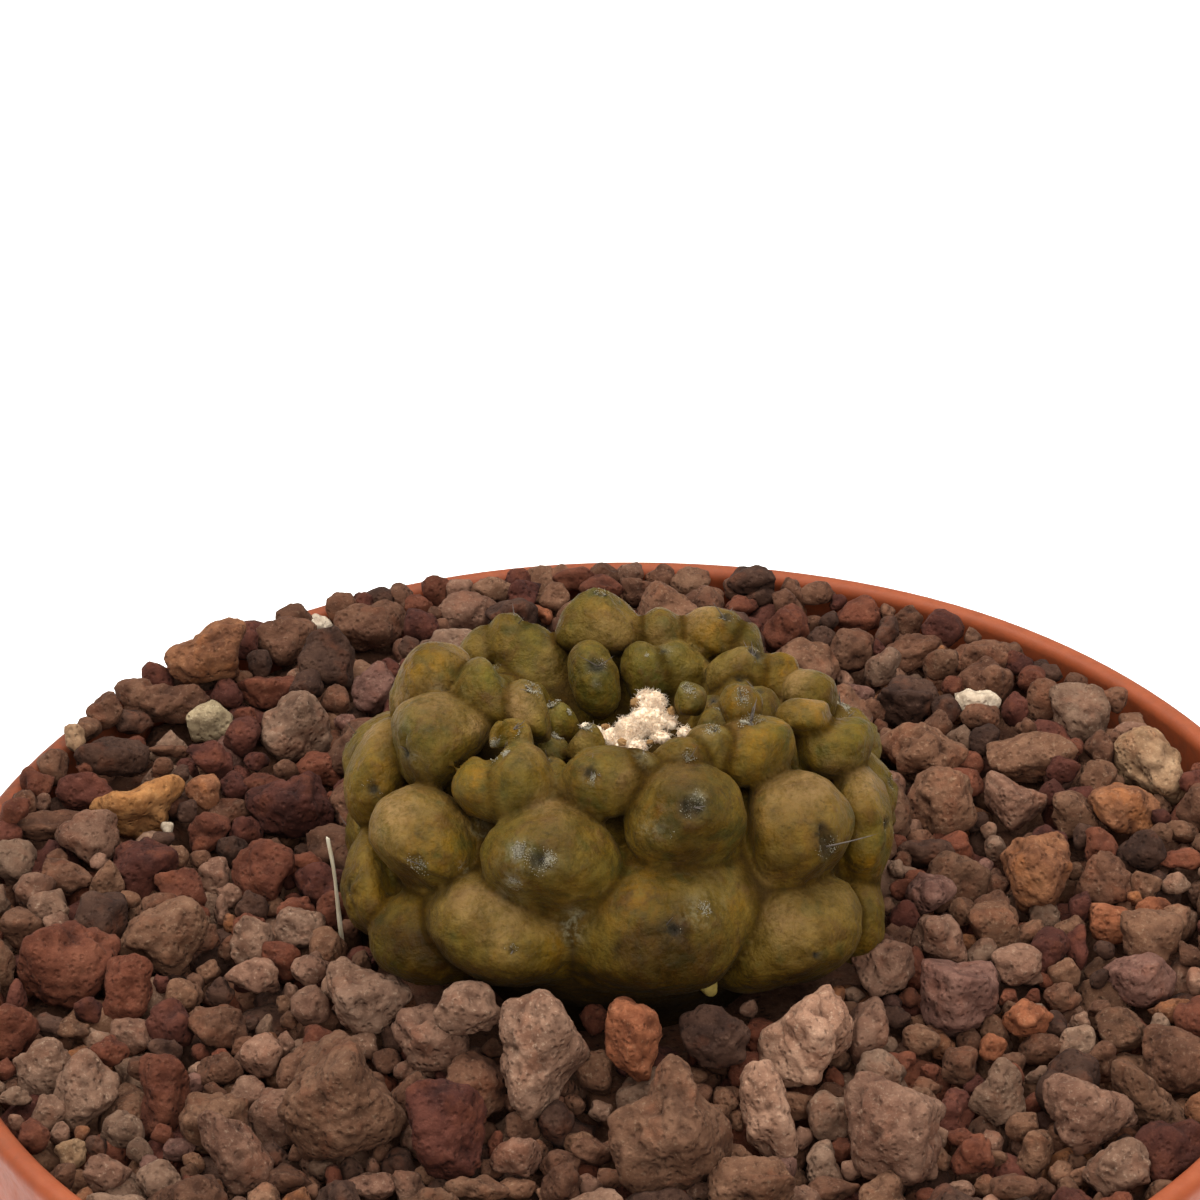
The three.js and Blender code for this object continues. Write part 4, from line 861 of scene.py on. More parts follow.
def ring(factors, angle):
    """Smooth periodic curve through eight values."""
    f = np.array(factors, dtype=F)
    x = (angle / (math.pi / 4)) % 8
    i = np.floor(x).astype(int) % 8
    t = x - np.floor(x)
    p0, p1, p2, p3 = f[(i - 1) % 8], f[i], f[(i + 1) % 8], f[(i + 2) % 8]
    return 0.5 * (2 * p1 + (p2 - p0) * t + (2 * p0 - 5 * p1 + 4 * p2 - p3) * t * t + (3 * p1 - p0 - 3 * p2 + p3) * t ** 3)


def stone_shape(centre, a, b, seed, level, axes=None, outline=None, rough=1.0, depth=None):
    """Vertices (mm), triangles and a hollow value, where painted shade goes, for one lump of lava."""
    D, T = ico(level)
    rng = np.random.RandomState((seed * 7 + 11) % 100000)
    if axes is None:
        axes = (STONE_U, STONE_V, STONE_W)
    m = np.array([SEEN_SIDE @ v for v in axes])
    D = D + 0.34 * (1 - (D @ m)[:, None] ** 2) * m
    D /= np.linalg.norm(D, axis=1)[:, None]
    c = depth or math.sqrt(a * b) * (0.85 + 0.25 * hash1(seed, 9))
    # a chunk with rounded corners: many planes around it, blended
    n = rng.randint(11, 17)
    k = (np.arange(n) + 0.5) / n
    ph = np.arccos(1 - 2 * k)
    th = math.pi * (1 + 5 ** 0.5) * np.arange(n) + rng.rand() * 6.28
    N = np.stack([np.cos(th) * np.sin(ph), np.sin(th) * np.sin(ph), np.cos(ph)], 1) + rng.normal(size=(n, 3)) * 0.28
    N /= np.linalg.norm(N, axis=1)[:, None]
    q, _ = np.linalg.qr(rng.normal(size=(3, 3)))
    N = N @ q
    off = rng.uniform(0.84, 1.06, n)
    p = 9.0
    r = (np.maximum(D @ N.T / off, 0) ** p).sum(1) ** (-1 / p)
    for j, w in enumerate(WAVES):
        r += np.sin(D @ w + hash1(seed, j) * math.pi * 2) * (0.055 if j < 3 else 0.035)
    L = D * r[:, None]
    L = L / np.percentile(np.abs(L), 99.5, axis=0) * np.array([a, b, c])
    if outline is not None:
        ang = np.arctan2(L[:, 1] / b, L[:, 0] / a) % (2 * math.pi)
        inplane = np.sqrt(np.clip(1 - (D[:, 2]) ** 2, 0, 1))
        f = ring(outline, ang) ** inplane
        L[:, :2] *= f[:, None]
    size = math.sqrt(a * b)
    P = L + rng.uniform(-500, 500, 3)
    nrm = D / np.array([a, b, c])
    nrm /= np.linalg.norm(nrm, axis=1)[:, None]
    lumps = fbm(P, size * 0.80, 3, seed, 0.58)
    warp = np.stack([noise(P, 0.9, seed + 61), noise(P, 0.9, seed + 62), noise(P, 0.9, seed + 63)], 1) * 0.22
    f1, f2 = cells(P + warp, 0.95, seed)
    knob = np.sqrt(np.clip(1 - (f1 / 0.85) ** 2, 0, 1))
    g1, _ = cells(P + warp, 0.48, seed + 31)
    grit = np.sqrt(np.clip(1 - (g1 / 0.85) ** 2, 0, 1))
    h1, _ = cells(P, 1.25, seed + 47)
    pit = np.clip((0.36 - h1) / 0.36, 0, 1)
    fine = noise(P, 0.24, seed + 5)
    scale = min(1.0, 0.45 + size * 0.28)
    disp = (size * 0.13 * lumps + scale * (0.28 * (knob - 0.7) + 0.16 * (grit - 0.7) - 0.20 * np.minimum(pit * 1.6, 1.0)) + 0.045 * fine) * rough
    R = L + nrm * disp[:, None]
    # where the stone dips in, in pores and between knobs: painted shade there
    hollow = np.clip(0.8 * pit + np.clip(0.66 - knob, 0, 1) * 1.1 + np.clip(0.55 - grit, 0, 1) * 0.8 + np.clip(-lumps - 0.30, 0, 1) * 0.5, 0, 1)
    V = R[:, :1] * axes[0] + R[:, 1:2] * axes[1] + R[:, 2:3] * axes[2]
    return V + np.asarray(centre), T, hollow


def random_axes(rng, flat=0.5):
    q = rng.normal(size=(3, 3))
    u = q[0] / np.linalg.norm(q[0])
    v = q[1] - (q[1] @ u) * u
    v /= np.linalg.norm(v)
    return u, v, np.cross(u, v)


def join(parts):
    """Several (V, T, hollow, tint) as one set of arrays."""
    Vs, Ts, Hs, Ks, n = [], [], [], [], 0
    for V, T, h, tint in parts:
        Vs.append(V)
        Ts.append(T + n)
        Hs.append(h)
        Ks.append(np.full(len(V), tint))
        n += len(V)
    return np.concatenate(Vs), np.concatenate(Ts), np.concatenate(Hs), np.concatenate(Ks)


def painted_side_light(x, y):
    """Painted light and shade: a paler tint for stones at the right and a darker one for those at the front left."""
    return 0.30 * min(max((x - 8) / 8, 0), 1) * min(max((y + 10) / 8, 0), 1) - 0.14 * min(max((-x - 5) / 8, 0), 1) * min(max((-y - 6) / 6, 0), 1)


LOOKS = {9: "pale", 15: "blush", 20: "purple", 26: "blush", 44: "tan"}      # lumps whose colour is not the usual one of their sort
whites = 0
placed = []      # centre, mean radius for everything that later stones must miss
for i, (x, y, z, a, b, kind) in enumerate(CAD_STONES):
    level = fineness(math.sqrt(a * b), 0.138 if y < 6 else 0.165)
    node = "lava_stone_%02d" % (i + 1)
    if kind == "white":
        whites += 1
        node = "perlite_grain_%d" % whites
    V, T, h = stone_shape((x, y, z + H), a, b, i, level, None, OUTLINES.get(i), 0.8 if kind == "ochre" else 1.0)
    o = mesh_object(node + "_rock", V, T, True, {"hollow": h, "tint": np.full(len(V), 0.3 + 0.4 * hash1(i, 40) + painted_side_light(x, y) + (0.3 if i in LOOKS else 0))})
    o.data.materials.append(MATS[LOOKS.get(i, kind)])
    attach(o, "root")
    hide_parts(node)
    placed.append((x, y, z + H, math.sqrt(a * b)))


def zlevel(x, y):
    """Height of the gravel's top from the rim plane: a mound at the plant, banked up at the back."""
    r, ra = math.hypot(x, y), math.hypot(x - PLANT_X, y - PLANT_Y)
    base = -3.1 + 2.3 * math.exp(-max(ra - 12.5, 0) / 7.0) + 0.25 * min(max((20 - r) / 10, 0), 1)
    th = math.degrees(math.atan2(y, x)) % 360
    g = float(np.interp(th, [0, 20, 45, 60, 75, 110, 150, 170, 185, 200, 230, 310, 335, 360], [1.6, 2.3, 2.7, 2.5, 2.6, 2.8, 2.8, 2.4, 1.6, 1.0, 0.2, 0.2, 0.8, 1.6]))
    t = min(max((r - 17) / 9, 0), 1)
    return base + g * t * t * (3 - 2 * t)


seen = []
for i, (x, y, z, a, b, kind) in enumerate(SEEN_STONES):
    seen.append((kind, stone_shape((x, y, z + H), a, b, 100 + i, fineness(math.sqrt(a * b), 0.156 if y < 6 else 0.185)), 0.25 + 0.5 * hash1(i, 41) + painted_side_light(x, y)))
    placed.append((x, y, z + H, math.sqrt(a * b)))

# The gravel in between: stones set down one at a time wherever there is room
# and where they hide none of the stones above.
rng = np.random.RandomState(2024)
centres = np.array([p[:3] for p in placed])
radii = np.array([p[3] for p in placed])
su, sv, ss, sz = screen(centres)
front_px = (su, sv, radii * ss, sz)
extra = []
KINDS_A = ["brown"] * 6 + ["tan"] * 5 + ["pink"] * 3 + ["red"] * 4 + ["maroon"] * 3 + ["grey"] * 2 + ["pale"] + ["purple"] + ["dark"] * 4 + ["orange2"]


def body_radius(z):
    return float(np.interp(z, [-8, -5, -2.5, -0.6, 1.4, 3.4], [6.5, 9.4, 11.3, 12.2, 12.7, 12.9]))


def try_fill(count, rmin, rmax, zoff, tight, hide_test, power=1.0, rim=30.95):
    global centres, radii
    done = 0
    for _ in range(count):
        rad = rmin + (rmax - rmin) * rng.rand() ** power
        rr, aa = (rim - rad) * math.sqrt(rng.rand()), rng.rand() * 2 * math.pi
        x, y = rr * math.cos(aa), rr * math.sin(aa)
        zc = H + zlevel(x, y) + zoff(rad)
        ra = math.hypot(x - PLANT_X, y - PLANT_Y)
        if ra < body_radius(zc - H) + rad * 0.9:
            continue
        P = np.array([x, y, zc])
        d = np.linalg.norm(centres - P, axis=1)
        if np.any(d < (radii + rad) * tight):
            continue
        if hide_test:
            u, v, s, zz = (q[0] for q in screen(P))
            m = front_px[3] > zz
            dist = np.hypot(front_px[0][m] - u, front_px[1][m] - v)
            if np.any(dist < front_px[2][m] * 0.86 + rad * s * 0.5):
                continue
        centres = np.vstack([centres, P])
        radii = np.append(radii, rad)
        kind = KINDS_A[rng.randint(len(KINDS_A))]
        extra.append((kind, P, rad, rng.randint(1 << 30)))
        done += 1
    return done


# the top of the bank: stones that lie on the lip and lean over it at the back left
for deg, rr, z, rad, kind in ((122.5, 31.0, 0.30, 0.95, "brown"), (126.5, 31.3, 0.15, 0.85, "maroon"), (129.8, 30.9, 0.35, 1.00, "tan"), (134.2, 31.2, 0.35, 1.05, "brown"), (138.2, 31.25, 0.25, 0.90, "maroon"),
                               (141.6, 31.1, 0.35, 1.00, "brown"), (145.2, 31.2, 0.30, 0.92, "brown"), (148.6, 31.2, 0.25, 0.85, "tan"), (151.6, 31.1, 0.30, 0.90, "brown"), (117.6, 30.8, 0.25, 0.85, "brown"),
                               (113.6, 30.9, 0.30, 0.80, "dark"), (109.9, 30.7, 0.15, 0.90, "brown"), (106.0, 30.6, 0.00, 0.95, "pink"), (101.8, 30.5, -0.10, 0.95, "brown"), (97.6, 30.5, -0.15, 0.90, "tan"),
                               (93.6, 30.5, -0.15, 0.85, "red"), (78.2, 30.4, -0.20, 0.80, "maroon"), (66.0, 30.4, -0.35, 0.85, "red"), (60.5, 30.3, -0.60, 0.85, "brown"), (49.0, 30.2, -0.55, 0.90, "brown"),
                               (45.0, 30.1, -0.70, 0.85, "dark"), (40.8, 30.2, -0.75, 0.85, "brown"), (36.5, 30.2, -0.75, 0.80, "brown"), (32.8, 30.2, -0.85, 0.75, "tan"),
                               (119.9, 30.7, 0.20, 0.75, "tan"), (115.6, 30.8, 0.25, 0.80, "maroon"), (111.8, 30.7, 0.20, 0.75, "brown"), (107.9, 30.7, 0.10, 0.80, "red"), (103.9, 30.6, 0.05, 0.80, "brown"),
                               (99.7, 30.6, 0.00, 0.80, "maroon"), (95.6, 30.6, 0.00, 0.80, "brown"), (91.4, 30.6, 0.00, 0.85, "brown"), (88.6, 30.5, -0.05, 0.80, "pink"), (85.8, 30.5, -0.05, 0.80, "brown"),
                               (82.9, 30.5, -0.10, 0.80, "tan"), (72.5, 30.4, -0.20, 0.85, "brown"), (69.3, 30.4, -0.30, 0.80, "maroon"), (154.6, 31.0, 0.20, 0.85, "brown"), (157.8, 30.9, 0.10, 0.85, "red"),
                               (161.2, 30.8, 0.0, 0.80, "brown"), (165.0, 30.7, -0.20, 0.85, "maroon")):
    P = np.array([rr * math.cos(math.radians(deg)), rr * math.sin(math.radians(deg)), H + z])
    if np.all(np.linalg.norm(centres - P, axis=1) > (radii + rad) * 0.52):
        centres = np.vstack([centres, P])
        radii = np.append(radii, rad)
        extra.append((kind, P, rad, int(deg * 100)))
print("lip stones", len(extra))
n1 = try_fill(5000, 1.25, 2.0, lambda r: 0.25 * r, 0.90, True)
n2 = try_fill(9000, 0.75, 1.25, lambda r: 0.35 * r, 0.88, True)
n3 = try_fill(9000, 0.42, 0.75, lambda r: 0.1 * r, 0.84, True)
n4 = try_fill(2200, 1.2, 1.9, lambda r: -1.6, 0.80, False)
n5 = try_fill(4200, 0.6, 1.1, lambda r: -1.1, 0.78, False)
print("stones", len(CAD_STONES), len(SEEN_STONES), n1, n2, n3, n4, n5)

groups = {}
for kind, (V, T, h), tint in seen:
    groups.setdefault(kind, []).append((V, T, h, tint))
for kind, P, rad, seed in extra:
    r2 = np.random.RandomState(seed)
    a = rad * r2.uniform(0.9, 1.25)
    b = rad * rad / a
    shown = P[2] > H + zlevel(P[0], P[1]) - 0.5
    level = fineness(rad, 0.188 if P[1] < 6 else 0.215) if shown else 3
    V, T, h = stone_shape(P, a, b, seed % 100000, level, random_axes(r2))
    groups.setdefault(kind, []).append((V, T, h, r2.uniform(0.05, 0.95)))
total = 0
for kind, parts in sorted(groups.items()):
    V, T, h, tint = join(parts)
    total += len(T)
    o = mesh_object("gravel_" + kind, V, T, True, {"hollow": h, "tint": tint})
    o.data.materials.append(MATS[kind])
    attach(o, "root")
print("gravel triangles", total, {k: sum(len(p[1]) for p in v) for k, v in groups.items()})


# ----------------------------------------------------------------- gravel bed
def make_bed():
    n_r, n_a = 66, 208
    verts, faces = [], []
    prof_r = np.linspace(0, 30.7, n_r)
    A = np.arange(n_a) * 2 * math.pi / n_a
    X = prof_r[:, None] * np.cos(A)[None]
    Y = prof_r[:, None] * np.sin(A)[None]
    P = np.stack([X.ravel(), Y.ravel(), np.zeros(X.size)], 1)
    lev = np.array([zlevel(x, y) for x, y in P[:, :2]])
    f1, _ = cells(P, 1.3, 3)
    g1, _ = cells(P, 0.7, 8)
    Z = H + lev - 2.6 + 0.9 * np.sqrt(np.clip(1 - (f1 / 0.75) ** 2, 0, 1)) + 0.35 * np.clip(0.7 - g1, 0, 1)
    ra = np.hypot(P[:, 0] - PLANT_X, P[:, 1] - PLANT_Y)
    Z = np.where(ra < 12.6, np.minimum(Z, H - 3.5), Z)
    # painted shade between the bed's lumps
    hollow = np.clip(f1 - 0.35, 0, 1)
    V = np.stack([P[:, 0], P[:, 1], Z], 1)
    idx = np.arange(n_r * n_a).reshape(n_r, n_a)
    q = []
    for k in range(n_r - 1):
        a, b = idx[k], idx[k + 1]
        a2, b2 = np.roll(a, -1), np.roll(b, -1)
        q.append(np.stack([a, b, b2], 1))
        q.append(np.stack([a, b2, a2], 1))
    base = len(V)
    rings = [(30.55, H - 8), (29.4, H - 11), (20.9, 3.6), (0.01, 3.0)]
    prev = idx[-1]
    add = []
    for r, z in rings:
        ring = base + len(add) + np.arange(n_a)
        add += [(r * math.cos(t), r * math.sin(t), z) for t in A]
        p2, r2 = np.roll(prev, -1), np.roll(ring, -1)
        q.append(np.stack([prev, ring, r2], 1))
        q.append(np.stack([prev, r2, p2], 1))
        prev = ring
    V = np.concatenate([V, np.array(add)])
    T = np.concatenate(q)
    hollow = np.concatenate([hollow, np.zeros(len(add))])
    # merge the point rings at the axis
    V[idx[0]] = V[idx[0]].mean(0)
    return V, T, hollow


V, T, h = make_bed()
bed = mesh_object("fine_gravel_bed", V, T, True, {"hollow": h, "tint": np.full(len(V), 0.3)})
bed.data.materials.append(MATS["brown"])
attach(bed, "root")
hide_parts("gravel_bed")

# --------------------------------------------------------------------- plant
# name, centre, direction, half-width, half-height, half-length, areole (mm,
# from the middle of the rim plane)
TUBERCLES = [
    ("F1", -6.97, -1.70, 9.30, -0.58, -0.30, 0.76, 3.28, 2.19, 2.84, -9.35, -2.45, 10.27),
    ("F2", -5.96, -4.62, 9.69, -0.42, -0.48, 0.77, 1.74, 1.85, 1.86, -6.74, -5.51, 11.13),
    ("F2b", -4.08, -5.14, 10.23, -0.27, -0.49, 0.83, 1.61, 2.03, 1.89, -5.45, -4.06, 11.43),
    ("F3", -0.99, -5.80, 10.03, -0.05, -0.55, 0.84, 2.06, 1.79, 2.00, -1.32, -6.43, 11.89),
    ("F4", 2.81, -4.81, 10.72, 0.18, -0.39, 0.90, 1.32, 1.23, 1.32, 3.05, -5.32, 11.92),
    ("F5", 2.45, -6.43, 8.79, 0.23, -0.69, 0.69, 2.89, 2.53, 2.82, 3.07, -7.90, 11.11),
    ("F6", 6.06, -3.20, 9.92, 0.47, -0.37, 0.80, 2.32, 1.54, 2.01, 5.83, -2.47, 11.83),
    ("F7", 8.56, -0.25, 8.15, 0.75, -0.17, 0.64, 2.67, 1.82, 2.34, 10.52, 4.28, 7.55),
    ("F8", 7.81, -0.27, 9.94, 0.55, -0.14, 0.82, 1.51, 1.01, 1.31, 8.53, -0.45, 11.02),
    ("L1", -9.93, -0.46, 6.85, -0.85, -0.20, 0.49, 2.36, 2.69, 2.62, -11.30, -1.98, 8.40),
    ("L2", -7.48, -4.77, 6.79, -0.64, -0.59, 0.49, 3.32, 2.40, 2.98, -9.20, -7.01, 7.67),
    ("L3", -9.42, -2.59, 4.02, -0.90, -0.43, 0.08, 3.25, 2.98, 3.24, -12.33, -4.00, 4.28),
    ("L4", -9.59, -2.99, 2.29, -0.86, -0.44, -0.25, 2.74, 2.20, 2.57, -11.80, -4.13, 1.64),
    ("C1", -2.89, -7.25, 7.68, -0.22, -0.78, 0.58, 3.26, 2.63, 3.07, -3.87, -9.65, 9.33),
    ("R1", 6.48, -4.73, 6.81, 0.62, -0.59, 0.51, 3.44, 2.64, 3.16, 8.91, -6.25, 8.16),
    ("R2", 9.15, -1.98, 5.55, 0.88, -0.35, 0.31, 2.43, 3.16, 2.90, 11.70, -3.00, 6.46),
    ("D1", -4.44, -7.00, 4.82, -0.42, -0.90, 0.14, 3.74, 2.41, 2.72, -5.07, -9.66, 4.63),
    ("D2", 1.09, -7.27, 4.88, 0.15, -0.97, 0.17, 4.23, 3.09, 3.23, 2.12, -10.22, 5.81),
    ("D3", 5.97, -5.31, 3.76, 0.66, -0.75, -0.02, 4.20, 3.03, 3.20, 8.90, -5.03, 0.46),
    ("D3b", 9.58, -2.81, 2.78, 0.90, -0.42, -0.14, 2.56, 2.56, 2.26, 11.61, -3.76, 2.45),
    ("D4", -7.01, -5.88, 3.01, -0.65, -0.74, -0.20, 2.89, 2.30, 2.30, -8.50, -7.57, 2.55),
    ("D6", -2.52, -8.66, 3.47, -0.19, -0.91, -0.36, 2.25, 2.10, 1.92, -2.90, -10.41, 2.78),
    ("D7", 3.98, -7.84, 2.50, 0.37, -0.83, -0.43, 2.37, 2.12, 1.98, 4.71, -9.48, 1.64),
    ("B1", -7.39, 1.58, 9.79, -0.51, -0.02, 0.86, 3.04, 2.03, 2.63, -9.31, 5.39, 10.21),
    ("B2", -4.66, 8.60, 8.78, -0.31, 0.48, 0.82, 2.04, 1.99, 2.01, -5.02, 8.73, 11.03),
    ("B2p", -5.24, 9.20, 10.20, -0.31, 0.46, 0.83, 0.80, 0.99, 0.90, -5.51, 9.61, 10.95),
    ("B2s", -6.56, 9.00, 8.69, -0.41, 0.47, 0.78, 1.23, 1.09, 1.16, -7.04, 9.55, 9.60),
    ("B4", -0.89, 8.80, 9.89, -0.04, 0.43, 0.90, 2.13, 2.08, 2.10, -0.85, 8.97, 11.99),
    ("B5", -1.41, 4.71, 8.58, 0.11, -0.29, 0.95, 1.34, 2.44, 1.96, -1.06, 3.78, 10.29),
    ("B6", 1.19, 6.30, 9.38, -0.14, -0.43, 0.89, 1.27, 1.74, 1.50, 0.98, 5.66, 10.72),
    ("B6b", 2.85, 6.90, 9.41, -0.21, -0.33, 0.92, 1.18, 1.60, 1.39, 2.00, 6.23, 10.62),
    ("B7", 4.59, 8.60, 9.43, 0.33, 0.45, 0.83, 1.80, 1.75, 1.77, 5.16, 8.38, 11.10),
    ("B7b", 5.81, 8.40, 9.19, 0.40, 0.43, 0.81, 0.95, 1.32, 1.13, 6.43, 5.93, 10.58),
    ("B8", 5.82, 5.80, 9.14, 0.43, 0.28, 0.86, 1.64, 1.50, 1.57, 6.48, 5.76, 10.57),
    ("B8b", 7.75, 6.20, 9.28, 0.52, 0.28, 0.81, 0.84, 1.22, 1.03, 8.29, 6.49, 10.12),
    ("B9", 9.32, 4.50, 8.76, 0.66, 0.18, 0.73, 1.26, 1.17, 1.21, 10.54, 5.57, 7.61),
    ("M1", -6.50, -0.09, 10.46, 0.02, 0.01, 1.00, 2.17, 1.45, 1.88, -5.95, 5.08, 10.10),
    ("M2", -4.71, -0.76, 10.08, 0.30, 0.17, 0.94, 1.80, 1.47, 1.70, -4.20, -0.46, 11.67),
    ("M3", -3.09, 0.72, 8.84, 0.24, 0.09, 0.97, 1.63, 1.23, 1.48, -2.73, 0.86, 10.27),
    ("M9", -3.26, 2.71, 9.43, 0.26, -0.08, 0.96, 1.38, 0.92, 1.19, -2.96, 2.61, 10.58),
    ("M10", 4.70, 0.31, 10.82, -0.29, 0.09, 0.95, 1.21, 0.93, 1.11, 4.37, 0.41, 11.88),
    ("M11", -1.62, -0.38, 9.46, 0.13, 0.21, 0.97, 0.84, 0.93, 0.92, -1.50, -0.19, 10.35),
    ("M4", 5.41, -1.67, 10.98, 0.06, -0.03, 1.00, 1.55, 1.04, 1.35, 5.49, -1.71, 12.32),
    ("M5", 3.60, 1.28, 9.90, -0.33, 0.04, 0.94, 1.18, 0.79, 1.02, 3.27, 1.32, 10.87),
    ("M6", -4.73, -3.38, 11.34, -0.07, -0.09, 0.99, 1.01, 0.85, 0.97, -4.80, -3.46, 12.31),
    ("M7", 3.95, -3.46, 10.94, 0.10, -0.12, 0.99, 1.29, 1.33, 1.36, 4.08, -3.62, 12.29),
    ("M8", 0.78, -5.30, 11.16, 0.04, -0.27, 0.96, 1.09, 0.86, 1.01, 0.82, -5.58, 12.14),
    ("H1", 9.66, 2.36, 2.94, 1.00, 0.06, -0.08, 3.13, 2.88, 3.01, 12.65, 2.53, 2.70),
    ("H2", 8.36, 6.92, 2.70, 0.86, 0.51, -0.10, 3.06, 2.73, 2.90, 10.84, 8.39, 2.40),
    ("H3", 6.10, 9.56, 2.82, 0.63, 0.77, -0.09, 3.11, 2.72, 2.92, 7.95, 11.80, 2.55),
    ("H4", 1.56, 11.64, 2.59, 0.18, 0.98, -0.12, 3.11, 2.77, 2.94, 2.10, 14.50, 2.25),
    ("H5", -2.34, 11.59, 2.75, -0.20, 0.97, -0.10, 3.17, 2.76, 2.96, -2.94, 14.48, 2.45),
    ("H6", -5.88, 10.16, 2.55, -0.55, 0.83, -0.12, 3.07, 2.71, 2.89, -7.47, 12.55, 2.20),
    ("H7", -8.66, 7.23, 2.94, -0.84, 0.54, -0.08, 3.30, 2.73, 3.01, -11.18, 8.87, 2.70),
    ("H8", -10.03, 3.49, 2.57, -0.98, 0.17, -0.12, 3.21, 2.94, 3.07, -13.03, 4.01, 2.20),
    ("H9", 9.79, 1.07, 5.00, 0.91, -0.07, 0.42, 3.18, 2.80, 2.99, 12.50, 0.88, 6.26),
    ("H10", 9.46, 5.09, 5.16, 0.86, 0.29, 0.43, 2.91, 2.64, 2.78, 11.83, 5.89, 6.35),
    ("H11", 7.58, 8.11, 4.92, 0.71, 0.57, 0.41, 3.24, 2.83, 3.03, 9.74, 9.84, 6.16),
    ("H12", 3.66, 11.07, 5.09, 0.35, 0.83, 0.43, 3.12, 2.89, 3.01, 4.72, 13.56, 6.40),
    ("H13", -0.58, 11.91, 5.29, -0.02, 0.89, 0.46, 3.19, 2.64, 2.91, -0.65, 14.50, 6.63),
    ("H14", -4.13, 11.21, 4.84, -0.35, 0.85, 0.40, 3.09, 2.89, 2.99, -5.17, 13.75, 6.02),
    ("H15", -7.47, 9.14, 4.96, -0.64, 0.65, 0.41, 3.03, 2.70, 2.86, -9.29, 11.02, 6.12),
    ("H16", -10.00, 4.81, 5.02, -0.87, 0.27, 0.42, 3.12, 2.78, 2.95, -12.56, 5.60, 6.26),
    ("H17", -8.83, 5.41, 7.76, -0.58, 0.25, 0.78, 2.80, 2.30, 2.55, -10.32, 6.03, 9.74),
    ("H18", 1.88, -7.70, -0.17, 0.20, -0.89, -0.41, 2.69, 2.46, 2.57, 2.40, -9.98, -1.24),
    ("H19", 5.35, -6.05, -0.18, 0.53, -0.74, -0.42, 2.77, 2.52, 2.65, 6.75, -8.00, -1.29),
    ("H20", 8.39, -2.34, 0.01, 0.83, -0.39, -0.41, 2.80, 2.69, 2.74, 10.66, -3.42, -1.10),
    ("H21", 9.18, 1.30, -0.46, 0.88, -0.05, -0.47, 2.84, 2.61, 2.72, 11.58, 1.17, -1.74),
    ("H22", 8.30, 6.06, 0.03, 0.82, 0.41, -0.41, 2.91, 2.64, 2.78, 10.58, 7.19, -1.10),
    ("H23", 5.66, 9.23, -0.11, 0.57, 0.71, -0.42, 2.91, 2.71, 2.81, 7.26, 11.22, -1.29),
    ("H24", 2.14, 11.08, -0.52, 0.22, 0.85, -0.47, 2.74, 2.47, 2.61, 2.73, 13.30, -1.74),
    ("H25", -2.18, 11.33, -0.15, -0.18, 0.89, -0.41, 2.69, 2.55, 2.62, -2.64, 13.66, -1.24),
    ("H26", -6.49, 9.21, -0.44, -0.57, 0.68, -0.45, 2.69, 2.48, 2.58, -7.96, 10.97, -1.60),
    ("H27", -8.85, 6.44, -0.16, -0.80, 0.43, -0.41, 2.72, 2.46, 2.59, -10.93, 7.57, -1.24),
    ("H28", -9.86, 1.48, -0.09, -0.91, -0.03, -0.41, 2.86, 2.69, 2.78, -12.38, 1.40, -1.24),
    ("H29", -6.08, -5.72, -0.35, -0.54, -0.71, -0.45, 2.93, 2.61, 2.77, -7.59, -7.67, -1.60),
    ("H30", -1.80, -7.59, -0.47, -0.14, -0.87, -0.47, 2.85, 2.55, 2.70, -2.18, -9.95, -1.74),
    ("B6t", 2.05, 8.60, 9.30, 0.05, -0.25, 0.95, 1.15, 1.35, 1.50, 2.10, 8.30, 10.85),
    ("N1", -6.20, 5.10, 8.35, -0.15, 0.05, 1.00, 1.60, 1.45, 1.45, -6.41, 5.17, 9.78),
    ("N2", -4.20, 4.50, 8.30, 0.05, 0.00, 1.00, 1.20, 1.20, 1.30, -4.14, 4.50, 9.60),
    ("N3", -8.30, 4.20, 8.20, -0.35, 0.05, 0.95, 1.35, 1.30, 1.45, -8.80, 4.27, 9.56),
    ("N4", -5.70, 7.00, 7.70, -0.15, 0.25, 1.00, 1.35, 1.20, 1.40, -5.90, 7.34, 9.04),
    ("N5", -7.90, 6.50, 7.35, -0.40, 0.25, 0.90, 1.30, 1.25, 1.45, -8.47, 6.86, 8.63),
    ("N6", 6.20, 2.30, 8.90, 0.15, 0.00, 1.00, 1.45, 1.35, 1.60, 6.44, 2.30, 10.48),
    ("N7", 4.30, 2.90, 8.20, 0.04, 0.06, 1.00, 1.15, 1.10, 1.45, 4.30, 2.90, 9.65),
    ("N8", 5.40, 4.20, 8.40, 0.10, 0.10, 1.00, 1.20, 1.10, 1.40, 5.54, 4.34, 9.79),
    ("N9", 1.70, -2.80, 8.50, 0.00, 0.20, 1.00, 1.25, 1.15, 1.45, 1.70, -2.52, 9.92),
    ("N10", -0.90, -2.90, 8.45, 0.00, 0.20, 1.00, 1.20, 1.10, 1.40, -0.90, -2.63, 9.82),
    ("N11", -3.30, -2.50, 8.60, 0.10, 0.15, 1.00, 1.15, 1.05, 1.40, -3.16, -2.29, 9.98),
    ("N12", 4.10, -1.90, 8.80, -0.10, 0.10, 1.00, 1.10, 1.05, 1.40, 3.96, -1.76, 10.19),
]
PROFILE = [(7.6, -5.0), (9.0, -2.6), (10.7, -0.8), (12.1, 1.2), (12.8, 3.4), (12.7, 5.4), (12.1, 7.2), (11.1, 8.9), (9.8, 10.4), (8.4, 11.6), (7.0, 12.3),
           (5.6, 12.2), (4.2, 11.5), (2.8, 10.6), (1.4, 10.0), (0.001, 9.8)]


